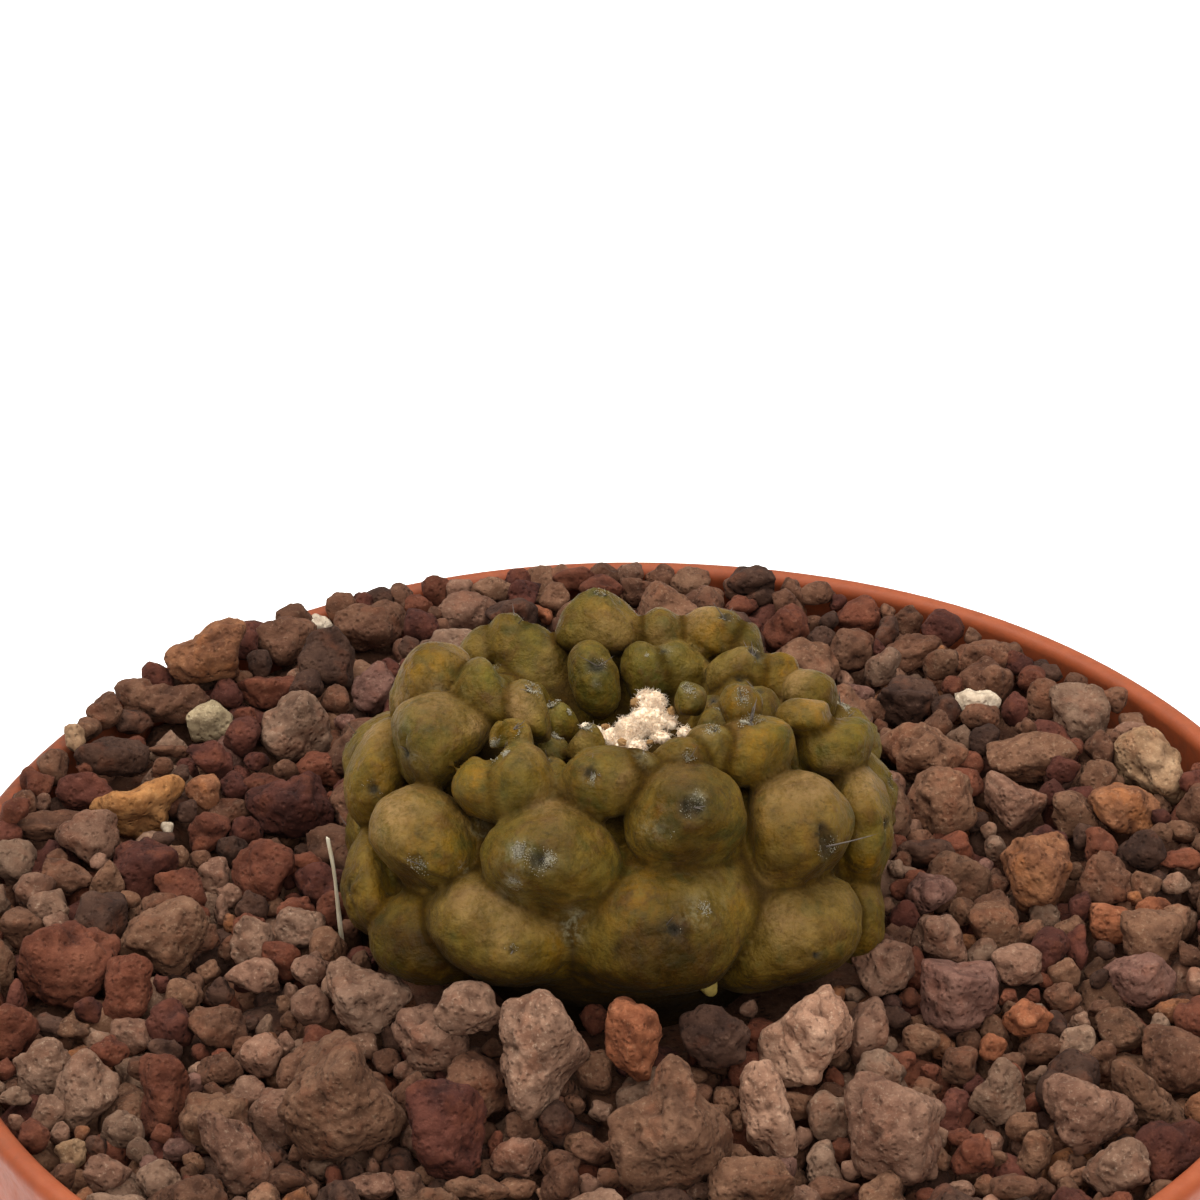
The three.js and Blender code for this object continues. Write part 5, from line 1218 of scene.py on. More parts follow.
def spline(points, n):
    P = np.array(points, dtype=F)
    out = []
    for x in np.linspace(0, len(P) - 1, n):
        i = min(int(x), len(P) - 2)
        f = x - i
        p0, p1, p2, p3 = P[max(i - 1, 0)], P[i], P[i + 1], P[min(i + 2, len(P) - 1)]
        out.append(0.5 * ((2 * p1) + (-p0 + p2) * f + (2 * p0 - 5 * p1 + 4 * p2 - p3) * f * f + (-p0 + 3 * p1 - 3 * p2 + p3) * f ** 3))
    return np.array(out)


class Round:
    """Signed distance to a body of revolution, looked up in a table of radius and height."""

    def __init__(self, outline, step=0.2):
        C = spline(outline, 500)
        tangent = np.gradient(C, axis=0)
        N = np.stack([tangent[:, 1], -tangent[:, 0]], 1)
        self.h = step
        self.r = np.arange(0, 18, step)
        self.z = np.arange(-42, 18, step)
        R, Z = np.meshgrid(self.r, self.z, indexing="ij")
        Q = np.stack([R.ravel(), Z.ravel()], 1)
        D = np.empty(len(Q))
        for i in range(0, len(Q), 3000):
            d = Q[i:i + 3000, None, :] - C[None]
            dd = (d ** 2).sum(2)
            k = dd.argmin(1)
            v = Q[i:i + 3000] - C[k]
            D[i:i + 3000] = np.sqrt(dd[np.arange(len(k)), k]) * np.where((v * N[k]).sum(1) > 0, 1, -1)
        self.D = D.reshape(R.shape)

    def __call__(self, r, z):
        x = np.clip(r / self.h, 0, len(self.r) - 1.001)
        y = np.clip((z + 42) / self.h, 0, len(self.z) - 1.001)
        i, j = x.astype(int), y.astype(int)
        fx, fy = x - i, y - j
        D = self.D
        return D[i, j] * (1 - fx) * (1 - fy) + D[i + 1, j] * fx * (1 - fy) + D[i, j + 1] * (1 - fx) * fy + D[i + 1, j + 1] * fx * fy


crown = Round(PROFILE)
ROOT = [(0.001, -35), (0.9, -33.6), (2.2, -31), (3.9, -27), (5.5, -22), (6.1, -17), (5.3, -12.5), (4.1, -9), (4.6, -6.5), (5.2, -4.0), (4.0, -2.0), (0.001, 0.0)]
root = Round(ROOT)


def smin(a, b, k):
    h = np.maximum(k - np.abs(a - b), 0) / k
    return np.minimum(a, b) - h * h * k * 0.25


def smax(a, b, k):
    return -smin(-a, -b, k)


# The outline of each tubercle that faces the camera, in its 1200-pixel frame,
# and where the nose of the tubercle is.
FACES = {
    "F1": ([(407, 705), (432, 695), (455, 702), (484, 724), (478, 745), (455, 770), (437, 787), (410, 783), (400, 760), (396, 733)], (432, 766)),
    "F2": ([(462, 765), (478, 757), (490, 768), (504, 785), (508, 812), (477, 813), (458, 799), (452, 780)], (474, 792)),
    "F2b": ([(513, 742), (532, 745), (546, 762), (553, 785), (546, 803), (525, 814), (492, 815), (488, 790), (496, 766), (504, 752)], (522, 794)),
    "F3": ([(570, 766), (590, 751), (612, 752), (640, 754), (650, 768), (638, 787), (618, 808), (600, 815), (574, 806), (561, 794)], (600, 796)),
    "F4": ([(652, 757), (668, 742), (688, 736), (704, 752), (716, 772), (700, 778), (676, 768), (656, 770)], (688, 752)),
    "F5": ([(645, 783), (668, 767), (690, 763), (708, 770), (735, 789), (742, 820), (737, 850), (724, 865), (690, 868), (658, 861), (636, 848), (630, 820), (636, 800)], (690, 838)),
    "F6": ([(722, 736), (734, 721), (760, 717), (790, 719), (801, 740), (799, 766), (780, 778), (750, 785), (728, 779), (719, 760)], (762, 764)),
    "F7": ([(800, 727), (828, 722), (855, 719), (872, 730), (870, 750), (858, 768), (835, 776), (806, 772), (797, 750)], (842, 758)),
    "F8": ([(780, 713), (798, 700), (825, 702), (842, 714), (842, 728), (800, 732), (782, 726)], (812, 712)),
    "L1": ([(362, 748), (372, 730), (387, 720), (399, 727), (404, 755), (402, 785), (389, 808), (370, 822), (358, 822), (350, 800), (352, 770)], (376, 795)),
    "L2": ([(382, 805), (398, 791), (425, 791), (450, 807), (468, 835), (471, 858), (456, 873), (436, 886), (410, 889), (390, 873), (377, 850), (376, 825)], (408, 860)),
    "L3": ([(354, 862), (361, 840), (376, 828), (388, 850), (392, 873), (404, 890), (408, 915), (390, 934), (362, 926), (351, 900), (349, 877)], (374, 900)),
    "C1": ([(481, 846), (500, 828), (525, 814), (555, 802), (585, 814), (606, 835), (616, 858), (609, 886), (590, 906), (560, 914), (530, 909), (500, 889), (481, 868)], (548, 882)),
    "R1": ([(752, 802), (762, 783), (790, 775), (820, 777), (840, 795), (847, 822), (845, 850), (836, 871), (815, 887), (790, 885), (764, 881), (753, 850)], (806, 862)),
    "R2": ([(836, 800), (846, 778), (858, 768), (870, 779), (882, 805), (886, 835), (881, 860), (871, 881), (856, 877), (841, 850)], (866, 850)),
    "D1": ([(426, 917), (440, 895), (465, 881), (490, 885), (520, 905), (560, 920), (571, 945), (564, 966), (540, 977), (500, 977), (470, 964), (445, 942)], (505, 955)),
    "D2": ([(573, 917), (590, 889), (615, 876), (660, 868), (720, 868), (747, 880), (750, 905), (742, 940), (722, 970), (690, 994), (640, 998), (600, 988), (576, 960)], (668, 908)),
    "D3": ([(753, 900), (773, 886), (800, 888), (845, 883), (854, 905), (850, 935), (831, 961), (800, 971), (770, 981), (735, 987), (729, 965), (744, 940)], (792, 952)),
    "D3b": ([(842, 895), (861, 884), (875, 908), (873, 942), (858, 956), (840, 944)], (858, 930)),
    "D4": ([(378, 925), (404, 903), (434, 908), (452, 935), (462, 968), (440, 978), (405, 968), (380, 950)], (425, 938)),
    "B1": ([(390, 717), (391, 695), (402, 672), (414, 655), (432, 645), (448, 647), (462, 652), (468, 668), (462, 684), (452, 700), (430, 710), (405, 716)], (424, 682)),
    "B2": ([(490, 640), (508, 630), (528, 629), (560, 631), (565, 660), (560, 684), (530, 689), (503, 682), (489, 662)], (530, 652)),
    "B2p": ([(492, 642), (496, 622), (504, 607), (511, 608), (520, 624), (524, 640), (508, 655), (494, 653)], (507, 622)),
    "B2s": ([(458, 652), (470, 638), (488, 627), (496, 640), (492, 658), (472, 665)], (478, 645)),
    "B4": ([(561, 612), (568, 599), (584, 591), (604, 590), (624, 600), (639, 620), (639, 640), (618, 652), (600, 653), (575, 648), (561, 641), (556, 625)], (600, 622)),
    "B5": ([(574, 652), (589, 642), (603, 649), (614, 670), (618, 695), (607, 713), (590, 713), (577, 700), (571, 675)], (596, 682)),
    "B6": ([(625, 660), (631, 644), (642, 639), (652, 652), (663, 665), (663, 690), (640, 702), (627, 687)], (645, 672)),
    "B6b": ([(652, 668), (663, 650), (680, 638), (693, 647), (702, 665), (692, 681), (676, 692), (652, 692)], (678, 668)),
    "B6t": ([(634, 636), (641, 618), (654, 608), (674, 613), (690, 628), (690, 650), (655, 657), (636, 650)], (660, 632)),
    "B7": ([(678, 623), (694, 609), (710, 602), (724, 606), (736, 617), (748, 620), (759, 632), (760, 647), (738, 652), (715, 658), (700, 652), (686, 637)], (722, 632)),
    "B8": ([(710, 669), (721, 651), (738, 643), (753, 648), (763, 665), (772, 690), (752, 700), (725, 696), (711, 685)], (742, 674)),
    "B8b": ([(772, 656), (784, 640), (794, 649), (799, 670), (797, 687), (777, 696), (758, 689), (761, 668)], (782, 664)),
    "B9": ([(788, 681), (799, 670), (820, 676), (839, 688), (846, 700), (838, 713), (805, 708), (786, 698)], (822, 692)),
    "M1": ([(450, 691), (459, 672), (478, 657), (494, 663), (503, 680), (516, 700), (513, 723), (490, 723), (465, 708)], (478, 690)),
    "M2": ([(498, 702), (510, 684), (530, 681), (544, 697), (550, 720), (547, 738), (525, 734), (503, 718)], (526, 706)),
    "M3": ([(533, 741), (549, 734), (566, 744), (571, 763), (553, 771), (537, 760)], (551, 752)),
    "M4": ([(722, 701), (731, 689), (748, 686), (760, 697), (760, 713), (743, 723), (726, 718)], (742, 704)),
    "M5": ([(672, 694), (682, 682), (697, 684), (703, 697), (698, 712), (680, 714)], (688, 698)),
    "M6": ([(488, 736), (502, 721), (518, 716), (529, 728), (529, 744), (507, 748), (492, 746)], (512, 732)),
    "M9": ([(546, 705), (558, 698), (574, 712), (578, 732), (562, 742), (548, 733)], (562, 720)),
    "M10": ([(688, 726), (699, 710), (720, 707), (737, 721), (737, 742), (716, 751), (694, 743)], (714, 728)),
}
# How much is cut off below the nose of each, and how much the cut faces down.
CHIN = {"D2": (0.86, 0.95), "D1": (0.90, 0.85), "D3": (0.94, 0.80), "D4": (0.9, 0.8), "C1": (0.78, 1.0), "F5": (0.74, 1.1), "L2": (0.74, 1.1), "R1": (0.76, 1.1), "F1": (0.76, 1.0), "F6": (0.80, 1.0),
        "F2": (0.82, 0.9), "F2b": (0.82, 0.9), "F3": (0.82, 0.9), "L3": (0.80, 0.9), "L1": (0.82, 0.9)}
# Which of them share their body with the one before: a heart with one notch.
SOFT = {"F2b": 0.9, "B2p": 0.62, "B2s": 0.62, "B6b": 1.0, "B8b": 0.9, "F8": 0.5, "M2": 0.45, "D3b": 0.6, "B6t": 0.5, "L3": 0.5, "D4": 0.6}


def solid_at(u, v, depth):
    """The point (mm) that lies at (u, v) of the 1200-pixel frame, at a depth from the camera."""
    return CAM + depth * (FWD + RIGHT * (u - 600) / FOCAL - UP * (v - 600) / FOCAL)


TOWARDS = -FWD
LEFT_OUT = ("D6", "D7", "H18", "H19", "H29", "H30", "H17")
TURN = {"L3": 0.7, "L4": 0.6, "L1": 0.4, "R2": 0.7, "D3b": 0.7, "D4": 0.3, "B9": 0.5, "B7": 0.6, "B8": 0.4, "B8b": 0.4, "B2": 0.5, "B2p": 0.3, "B2s": 0.5, "B4": 0.35, "B1": 0.4, "F7": 0.3,
        "B5": 0.2, "D1": 0.1, "D3": 0.15, "B6t": 0.3}
DEEP = {"B4": 1.5, "B7": 1.7, "B2": 1.5, "B2p": 1.3, "B8": 1.5, "B8b": 1.5, "B6": 1.3, "B6b": 1.3, "B6t": 1.4, "B9": 1.5, "B1": 1.3, "M1": 1.4, "M2": 1.4, "M4": 1.5, "M5": 1.5, "M10": 1.5, "F6": 1.3,
        "F7": 1.3, "F8": 1.5, "M3": 1.3, "M9": 1.4, "M6": 1.4, "F4": 1.4, "B2s": 1.5}
TUB = []
for row in TUBERCLES:
    if row[0] in LEFT_OUT:
        continue
    n = np.array(row[4:7], dtype=F)
    n /= np.linalg.norm(n)
    n = n + TOWARDS * TURN.get(row[0], 0.0)
    n /= np.linalg.norm(n)
    t1 = np.cross([0, 0, 1.0], n)
    t1 /= np.linalg.norm(t1)
    q = dict(name=row[0], c=np.array(row[1:4]) + [0, 0, H], n=n, t1=t1, t2=np.cross(n, t1), a=row[7], b=row[8], l=row[9], ar=np.array(row[10:13]) + [0, 0, H], k=0.24)
    out = {"D1": 0.60, "D2": 0.50, "D3": 0.55, "D3b": 0.3, "D4": 0.2, "C1": 0.30, "F5": 0.30, "L2": 0.20, "R1": 0.20, "F1": 0.10}.get(row[0], 0.0)
    q["c"] = q["c"] + n * out
    q["ar"] = q["ar"] + n * out * 0.8
    if row[0][0] == "H" and int(row[0][1:]) >= 18:
        # the lowest ring, half under the gravel, stands further in
        q["c"] = q["c"] - n * 0.9
        q["ar"] = q["ar"] - n * 0.9
    TUB.append(q)


def support(m, q, grow=1.0):
    return grow * math.sqrt((q["a"] * (m @ q["t1"])) ** 2 + (q["b"] * (m @ q["t2"])) ** 2 + (q["l"] * (m @ q["n"])) ** 2)


def power_norm(W, N, h):
    """How far out points are in a rounded block with face normals N at distances h, and the slope of that."""
    t = np.maximum(W @ N.T / h, 0.0)
    t2 = t * t
    t4 = t2 * t2
    t7 = t4 * t2 * t
    k = (t7 * t).sum(1) ** 0.125 + 1e-9
    g = (t7 / h) @ N / (k ** 7)[:, None]
    return k, g


_g = (np.arange(600) + 0.5) / 600
SPHERE = np.stack([np.sqrt(1 - (1 - 2 * _g) ** 2) * np.cos(np.arange(600) * 2.399963), np.sqrt(1 - (1 - 2 * _g) ** 2) * np.sin(np.arange(600) * 2.399963), 1 - 2 * _g], 1)

for i, q in enumerate(TUB):
    jit = lambda j, amount: amount * (2 * hash1(i * 31 + j, 60) - 1)
    n, t1, t2 = q["n"], q["t1"], q["t2"]
    faces, dist = [], []
    if q["name"] in FACES:
        outline, nose = FACES[q["name"]]
        outline = np.array(outline, dtype=F)
        depth = float((q["c"] - CAM) @ FWD)
        area2 = 0.0
        cen = np.zeros(2)
        for A, B in zip(outline, np.roll(outline, -1, 0)):
            w = A[0] * B[1] - B[0] * A[1]
            area2 += w
            cen += (A + B) * w
        cen /= 3 * area2
        c = solid_at(cen[0], cen[1], depth)
        shift = c - q["c"]
        q["c"] = c
        px = FOCAL / depth
        reach = 0.0
        for A, B in zip(outline, np.roll(outline, -1, 0)):
            e = B - A
            out = np.array([e[1], -e[0]])
            out /= np.linalg.norm(out)
            d = (A - cen) @ out
            if d < 0:
                out, d = -out, -d
            d = d / px + (0.50 if q["name"][0] == "D" else 0.25 if q["name"][0] in "CLR" or q["name"] in ("F5", "F1", "F3") else 0.10)
            reach = max(reach, d)
            E = RIGHT * out[0] - UP * out[1]
            for tilt in (0.30, -0.55):
                m = E + TOWARDS * tilt
                faces.append(m / np.linalg.norm(m))
                dist.append(d / np.linalg.norm(m))
        n_side = len(faces)
        q["a2"] = reach
        # grow the block until it fills its outline, keeping its tip where it is
        grow = 1.0
        for f, r in zip(faces[::2], dist[::2]):
            E = f - TOWARDS * (f @ TOWARDS)
            width = np.linalg.norm(E)
            grow = max(grow, 1.03 * (r / width) / support(E / width, q))
        grow = min(grow, 1.75)
        deep = DEEP.get(q["name"], 1.0)
        away = -n * q["l"] * (grow * deep - 1)
        q = dict(q, l=q["l"] * deep)
        chin = CHIN.get(q["name"], (0.86, 0.80))
        for x, y, z, w in ((0, 0.05, 1, 0.99), (0, 0.75, 0.75, 0.97), (0, -chin[1], 0.65, chin[0]), (0.75, 0.05, 0.75, 0.95), (-0.75, 0.05, 0.75, 0.95), (0.55, 0.7, 0.5, 0.97), (-0.55, 0.7, 0.5, 0.97),
                           (0.65, -0.7, 0.45, 0.92), (-0.65, -0.7, 0.45, 0.92), (0, 0, -1, 1.0)):
            m = t1 * (x + jit(len(faces), 0.12)) + t2 * (y + jit(len(faces) + 9, 0.10)) + n * z
            m /= np.linalg.norm(m)
            faces.append(m)
            dist.append(support(m, q, w * grow) + float(away @ m))
        q = TUB[i]
    else:
        n_side = 0
        for x, y, z, w in ((0, 0.1, 1, 0.97), (0, 0.75, 0.75, 0.93), (0, -0.85, 0.6, 0.88), (0.75, 0.1, 0.75, 0.9), (-0.75, 0.1, 0.75, 0.9), (0.6, 0.75, 0.35, 0.93), (-0.6, 0.75, 0.35, 0.93),
                           (0.65, -0.7, 0.3, 0.9), (-0.65, -0.7, 0.3, 0.9), (1, 0, 0, 0.95), (-1, 0, 0, 0.95), (0, 1, -0.2, 0.95), (0, -1, -0.2, 0.95), (0, 0, -1, 1), (0.7, 0, -0.7, 1), (-0.7, 0, -0.7, 1),
                           (0, 0.7, -0.7, 1), (0, -0.7, -0.7, 1)):
            m = t1 * (x + jit(len(faces), 0.16)) + t2 * (y + jit(len(faces) + 9, 0.16)) + n * z
            m /= np.linalg.norm(m)
            faces.append(m)
            dist.append(support(m, q, w))
    N, h = np.array(faces), np.array(dist)
    for _ in range(3):
        # let the rounding take nothing off the outline
        if n_side:
            for s in range(0, n_side, 2):
                e = N[s] + N[s + 1] * 0
                flat = N[s] - TOWARDS * (N[s] @ TOWARDS)
                r = h[s] / np.linalg.norm(flat)
                flat = flat / np.linalg.norm(flat)
                k, _g = power_norm((flat * r)[None], N, h)
                h[s] *= min(max(k[0], 1.0), 1.15) ** 0.5
                h[s + 1] *= min(max(k[0], 1.0), 1.15) ** 0.5
        else:
            h *= 1.02
    q["N"], q["h"] = N, h
    k, _g = power_norm(SPHERE, N, h)
    q["size"] = float(np.max(1 / k)) + 0.1
    q["k"] = SOFT.get(q["name"], 0.46 if q["name"][0] in "DL" else 0.36 if q["name"][0] in "RC" else 0.32)


def lobe(P, q):
    """Roughly the distance to one tubercle, a rounded block."""
    k, g = power_norm(P - q["c"], q["N"], q["h"])
    return (k - 1) / np.maximum(np.linalg.norm(g, axis=1), 0.12)


def core(P):
    r = np.hypot(P[:, 0] - PLANT_X, P[:, 1] - PLANT_Y)
    z = P[:, 2] - H
    t = np.clip((z - 5.0) / 4.0, 0, 1)
    inner = np.clip((8.6 - r) / 2.5, 0, 1)
    d = crown(r, z) + 1.10 + 0.35 * np.clip((6.0 - z) / 4, 0, 1) + (1.45 + 0.75 * inner) * t * t * (3 - 2 * t)
    d = smax(d, -(z + 7.0), 2.0)
    return smin(d, root(r, z), 1.2)


def detail(P):
    """Fine unevenness of the skin."""
    folds = 1 - 2 * np.abs(noise(P + 0.5 * noise(P, 1.6, 8)[:, None], 1.5, 7))
    return 0.12 * noise(P, 2.3, 5) + 0.075 * noise(P, 0.95, 6) - 0.060 * np.clip(folds, -0.2, 1) ** 3


NOTCHED = {"F2b": (0.50, 1.5), "F6": (0.36, 1.0), "B7": (0.30, 0.9), "F1": (0.26, 0.8), "F7": (0.30, 0.9), "H10": (0.35, 1.0), "H14": (0.35, 1.0)}
# hollows round areoles: radius in mm, and where the camera sees the middle of some of them
PIT_RADIUS = {"B5": 0.42, "C1": 0.34, "F5": 0.44, "D2": 0.24, "R1": 0.58, "D1": 0.14, "D3": 0.14, "L2": 0.24, "L1": 0.20, "F1": 0.26, "F3": 0.22, "B7": 0.30, "B8": 0.30}
AREOLE_AT = {"F5": (692, 807), "C1": (537, 860), "R1": (829, 846), "D2": (673, 930), "B5": (597, 664), "F3": (591, 773), "L1": (374, 789), "L2": (416, 864), "D1": (512, 950), "D3": (815, 955)}
NO_PIT = ("B2s", "B8b", "B6", "B6t", "D6", "D7", "H18", "H19", "H20", "H21", "H22", "H23", "H24", "H25", "H26", "H27", "H28", "H29", "H30", "L4", "D3b", "D4", "F2", "F8")
PITS = [q for q in TUB if q["name"] not in NO_PIT]


def near_to(P, q, extra=1.0):
    return ((P - q["c"]) ** 2).sum(1) < (q["size"] + extra) ** 2


def body(P):
    """Roughly the distance to the skin without its areole hollows."""
    d = core(P)
    for q in TUB:
        near = near_to(P, q)
        if near.any():
            d[near] = smin(d[near], lobe(P[near], q), q["k"])
    return d


def skin_at(u, v):
    """The skin's point that the camera sees at (u, v)."""
    d = FWD + RIGHT * (u - 600) / FOCAL - UP * (v - 600) / FOCAL
    d = d / np.linalg.norm(d)
    o = CAM + d * 198.0
    for _ in range(300):
        e = float(body(o[None])[0])
        if e < 0.01:
            break
        o = o + d * min(max(e * 0.6, 0.01), 0.8)
    return o


for q in PITS:
    q["pit"] = PIT_RADIUS.get(q["name"], 0.22 * min(1.0, 0.42 * (q["a"] + q["b"]) / 2))
    if q["name"] in AREOLE_AT:
        q["ar"] = skin_at(*AREOLE_AT[q["name"]])
    else:
        p = q["ar"] + q["n"] * 0.8
        for _ in range(25):
            p = p - q["n"] * float(np.clip(body(p[None])[0] * 0.8, -0.3, 0.4))
        q["ar"] = p


GASH = {"R1": (0.62, 1.60)}


def hollow(P, q):
    """Roughly the distance to the hollow round an areole, and how much the skin is puckered there."""
    v = P - q["ar"]
    x, y, z = v @ q["t1"], v @ q["t2"], v @ q["n"]
    wide, tall = GASH.get(q["name"], (0.85, 1.25))
    e = np.sqrt((x / wide) ** 2 + (y / tall) ** 2 + z ** 2) - q["pit"]
    if q["name"] in NOTCHED:
        rad, length = NOTCHED[q["name"]]
        axis = q["t2"] * 0.95 + q["n"] * 0.45
        axis /= np.linalg.norm(axis)
        s = np.clip(v @ axis, -0.1, length)
        e = np.minimum(e, np.linalg.norm(v - s[:, None] * axis, axis=1) - rad * (0.8 + 0.35 * s / length))
    r = np.sqrt(x * x + y * y)
    turn = np.arctan2(y, x)
    size = min(1.0, 0.30 * (q["a"] + q["b"]) / 2)
    fold = np.cos((4 + q["id"] % 3) * turn + q["id"] * 1.7 + 0.8 * np.sin(turn + q["id"])) * np.clip((r - 0.6 * q["pit"]) / 0.4, 0, 1) * np.exp(-(r / (0.9 + 0.9 * size)) ** 2)
    rim = np.exp(-((e - 0.28) / 0.22) ** 2)
    return e, size * (0.085 * fold - 0.075 * rim)


for i, q in enumerate(TUB):
    q["id"] = i


def whole(P, with_detail=True):
    d = body(P)
    for q in PITS:
        near = np.abs(P - q["ar"]).max(1) < 3.0
        if not near.any():
            continue
        e, pucker = hollow(P[near], q)
        d[near] = smax(d[near] + pucker, -e, 0.26)
    if with_detail:
        d = d + detail(P)
    return d


def surface_nets(xs, ys, zs, D):
    """Quads on the zero level of D on a grid."""
    nx, ny, nz = D.shape
    S = D < 0
    corner = [(0, 0, 0), (1, 0, 0), (0, 1, 0), (1, 1, 0), (0, 0, 1), (1, 0, 1), (0, 1, 1), (1, 1, 1)]
    cnt = np.zeros((nx - 1, ny - 1, nz - 1), np.int8)
    for a, b, c in corner:
        cnt += S[a:nx - 1 + a, b:ny - 1 + b, c:nz - 1 + c]
    act = (cnt > 0) & (cnt < 8)
    I, J, K = np.nonzero(act)
    idx = np.full(act.shape, -1, np.int64)
    idx[I, J, K] = np.arange(len(I))
    pos = np.zeros((len(I), 3))
    num = np.zeros(len(I))
    X = [np.stack([xs[I + a], ys[J + b], zs[K + c]], 1) for a, b, c in corner]
    Dv = [D[I + a, J + b, K + c] for a, b, c in corner]
    for p, q in ((0, 1), (2, 3), (4, 5), (6, 7), (0, 2), (1, 3), (4, 6), (5, 7), (0, 4), (1, 5), (2, 6), (3, 7)):
        m = (Dv[p] < 0) != (Dv[q] < 0)
        t = Dv[p][m] / (Dv[p][m] - Dv[q][m])
        pos[m] += X[p][m] + (X[q][m] - X[p][m]) * t[:, None]
        num[m] += 1
    pos /= num[:, None]
    quads = []
    # edges along x, then y, then z
    m = S[:-1, 1:-1, 1:-1] != S[1:, 1:-1, 1:-1]
    i, j, k = np.nonzero(m)
    j, k = j + 1, k + 1
    q = np.stack([idx[i, j - 1, k - 1], idx[i, j, k - 1], idx[i, j, k], idx[i, j - 1, k]], 1)
    flip = ~S[i, j, k]
    q[flip] = q[flip][:, ::-1]
    quads.append(q)
    m = S[1:-1, :-1, 1:-1] != S[1:-1, 1:, 1:-1]
    i, j, k = np.nonzero(m)
    i, k = i + 1, k + 1
    q = np.stack([idx[i - 1, j, k - 1], idx[i - 1, j, k], idx[i, j, k], idx[i, j, k - 1]], 1)
    flip = ~S[i, j, k]
    q[flip] = q[flip][:, ::-1]
    quads.append(q)
    m = S[1:-1, 1:-1, :-1] != S[1:-1, 1:-1, 1:]
    i, j, k = np.nonzero(m)
    i, j = i + 1, j + 1
    q = np.stack([idx[i - 1, j - 1, k], idx[i, j - 1, k], idx[i, j, k], idx[i - 1, j, k]], 1)
    flip = ~S[i, j, k]
    q[flip] = q[flip][:, ::-1]
    quads.append(q)
    return pos, np.concatenate(quads)


def gradient(fn, P, e=0.04):
    g = np.stack([fn(P + np.array(v) * e) - fn(P - np.array(v) * e) for v in ((1, 0, 0), (0, 1, 0), (0, 0, 1))], 1)
    return g / (2 * e)


WOOL_BY_NAME = {"C1": 1.2, "F2b": 1.3, "F5": 0.6, "F3": 0.5, "F6": 0.9, "B6b": 0.9, "B8": 0.9, "B9": 0.9, "B5": 0.7, "L2": 0.5, "L1": 0.5, "R1": 0.5, "D2": 0.25, "F1": 0.45}


def WOOL_AMOUNT(name):
    return WOOL_BY_NAME.get(name, {"M": 0.8, "B": 0.6, "F": 0.5, "H": 0.35, "L": 0.25, "R": 0.25, "D": 0.12}.get(name[0], 0.3))


STEP = 0.207
xs = np.arange(PLANT_X - 14.6, PLANT_X + 14.6, STEP)
ys = np.arange(PLANT_Y - 14.6, PLANT_Y + 14.6, STEP)
zs = np.concatenate([np.arange(H - 36, H - 4, 0.6), np.arange(H - 4, H + 14, STEP)])
GX, GY, GZ = np.meshgrid(xs, ys, zs, indexing="ij")
shape = GX.shape
G = np.stack([GX.ravel(), GY.ravel(), GZ.ravel()], 1)
D = core(G).reshape(shape)
for q in TUB:
    ext = q["size"] + 0.5
    sl = []
    for ax, arr in enumerate((xs, ys, zs)):
        lo = int(np.searchsorted(arr, q["c"][ax] - ext))
        hi = int(np.searchsorted(arr, q["c"][ax] + ext))
        sl.append(slice(max(lo - 1, 0), hi + 1))
    sl = tuple(sl)
    block = np.stack([GX[sl].ravel(), GY[sl].ravel(), GZ[sl].ravel()], 1)
    D[sl] = smin(D[sl], lobe(block, q).reshape(D[sl].shape), q["k"])
for q in PITS:
    sl = tuple(slice(max(int(np.searchsorted(arr, q["ar"][ax] - 2.4)) - 1, 0), int(np.searchsorted(arr, q["ar"][ax] + 2.4)) + 1) for ax, arr in enumerate((xs, ys, zs)))
    block = np.stack([GX[sl].ravel(), GY[sl].ravel(), GZ[sl].ravel()], 1)
    D[sl] = smax(D[sl], -hollow(block, q)[0].reshape(D[sl].shape), 0.26)
P, Q = surface_nets(xs, ys, zs, D)
for _ in range(3):
    d = whole(P)
    g = gradient(whole, P)
    g2 = (g ** 2).sum(1)
    step = np.clip(d / np.maximum(g2, 0.2), -0.15, 0.15)
    P = P - g * step[:, None]
skin_normal = g / np.linalg.norm(g, axis=1)[:, None]
print("plant", len(P), len(Q))

# what the skin's colour needs, a value at each vertex
E = np.full((len(P), len(TUB)), 9.0)
for j, q in enumerate(TUB):
    near = near_to(P, q, 1.5)
    E[near, j] = lobe(P[near], q)
order = np.argsort(E, axis=1)[:, :2]
e1 = E[np.arange(len(P)), order[:, 0]]
e2 = E[np.arange(len(P)), order[:, 1]]
soft = np.array([q["k"] for q in TUB])
joined = np.maximum(soft[order[:, 0]], soft[order[:, 1]]) > 0.605
gap = e2 - e1
# painted shade and dirt down between tubercles, and a wider band of shade along them
crease = np.clip(1 - gap / 0.42, 0, 1) ** 1.3 * np.where(joined, 0.25, 1.0)
crease = np.maximum(crease, np.clip((e1 - 0.10) / 0.30, 0, 1))
shade = np.maximum(np.clip(1 - gap / 1.35, 0, 1) ** 1.4 * np.where(joined, 0.35, 1.0), np.clip((e1 + 0.02) / 0.35, 0, 1))
own = order[:, 0]
up_local, side_local, to_areole = (np.zeros(len(P)) for _ in range(3))
for j, q in enumerate(TUB):
    s = own == j
    v = P[s] - q["c"]
    up_local[s] = v @ q["t2"] / q["b"]
    side_local[s] = v @ q["t1"] / q["a"]
    w = P[s] - q["ar"]
    wide, tall = GASH.get(q["name"], (1.0, 1.0))
    to_areole[s] = np.sqrt((w @ q["t1"] / wide) ** 2 + (w @ q["t2"] / tall) ** 2 + (w @ q["n"]) ** 2) * (1 + 0.22 * noise(P[s], 0.55, 93))
rad_local = np.sqrt(side_local ** 2 + up_local ** 2)
names = [q["name"] for q in TUB]
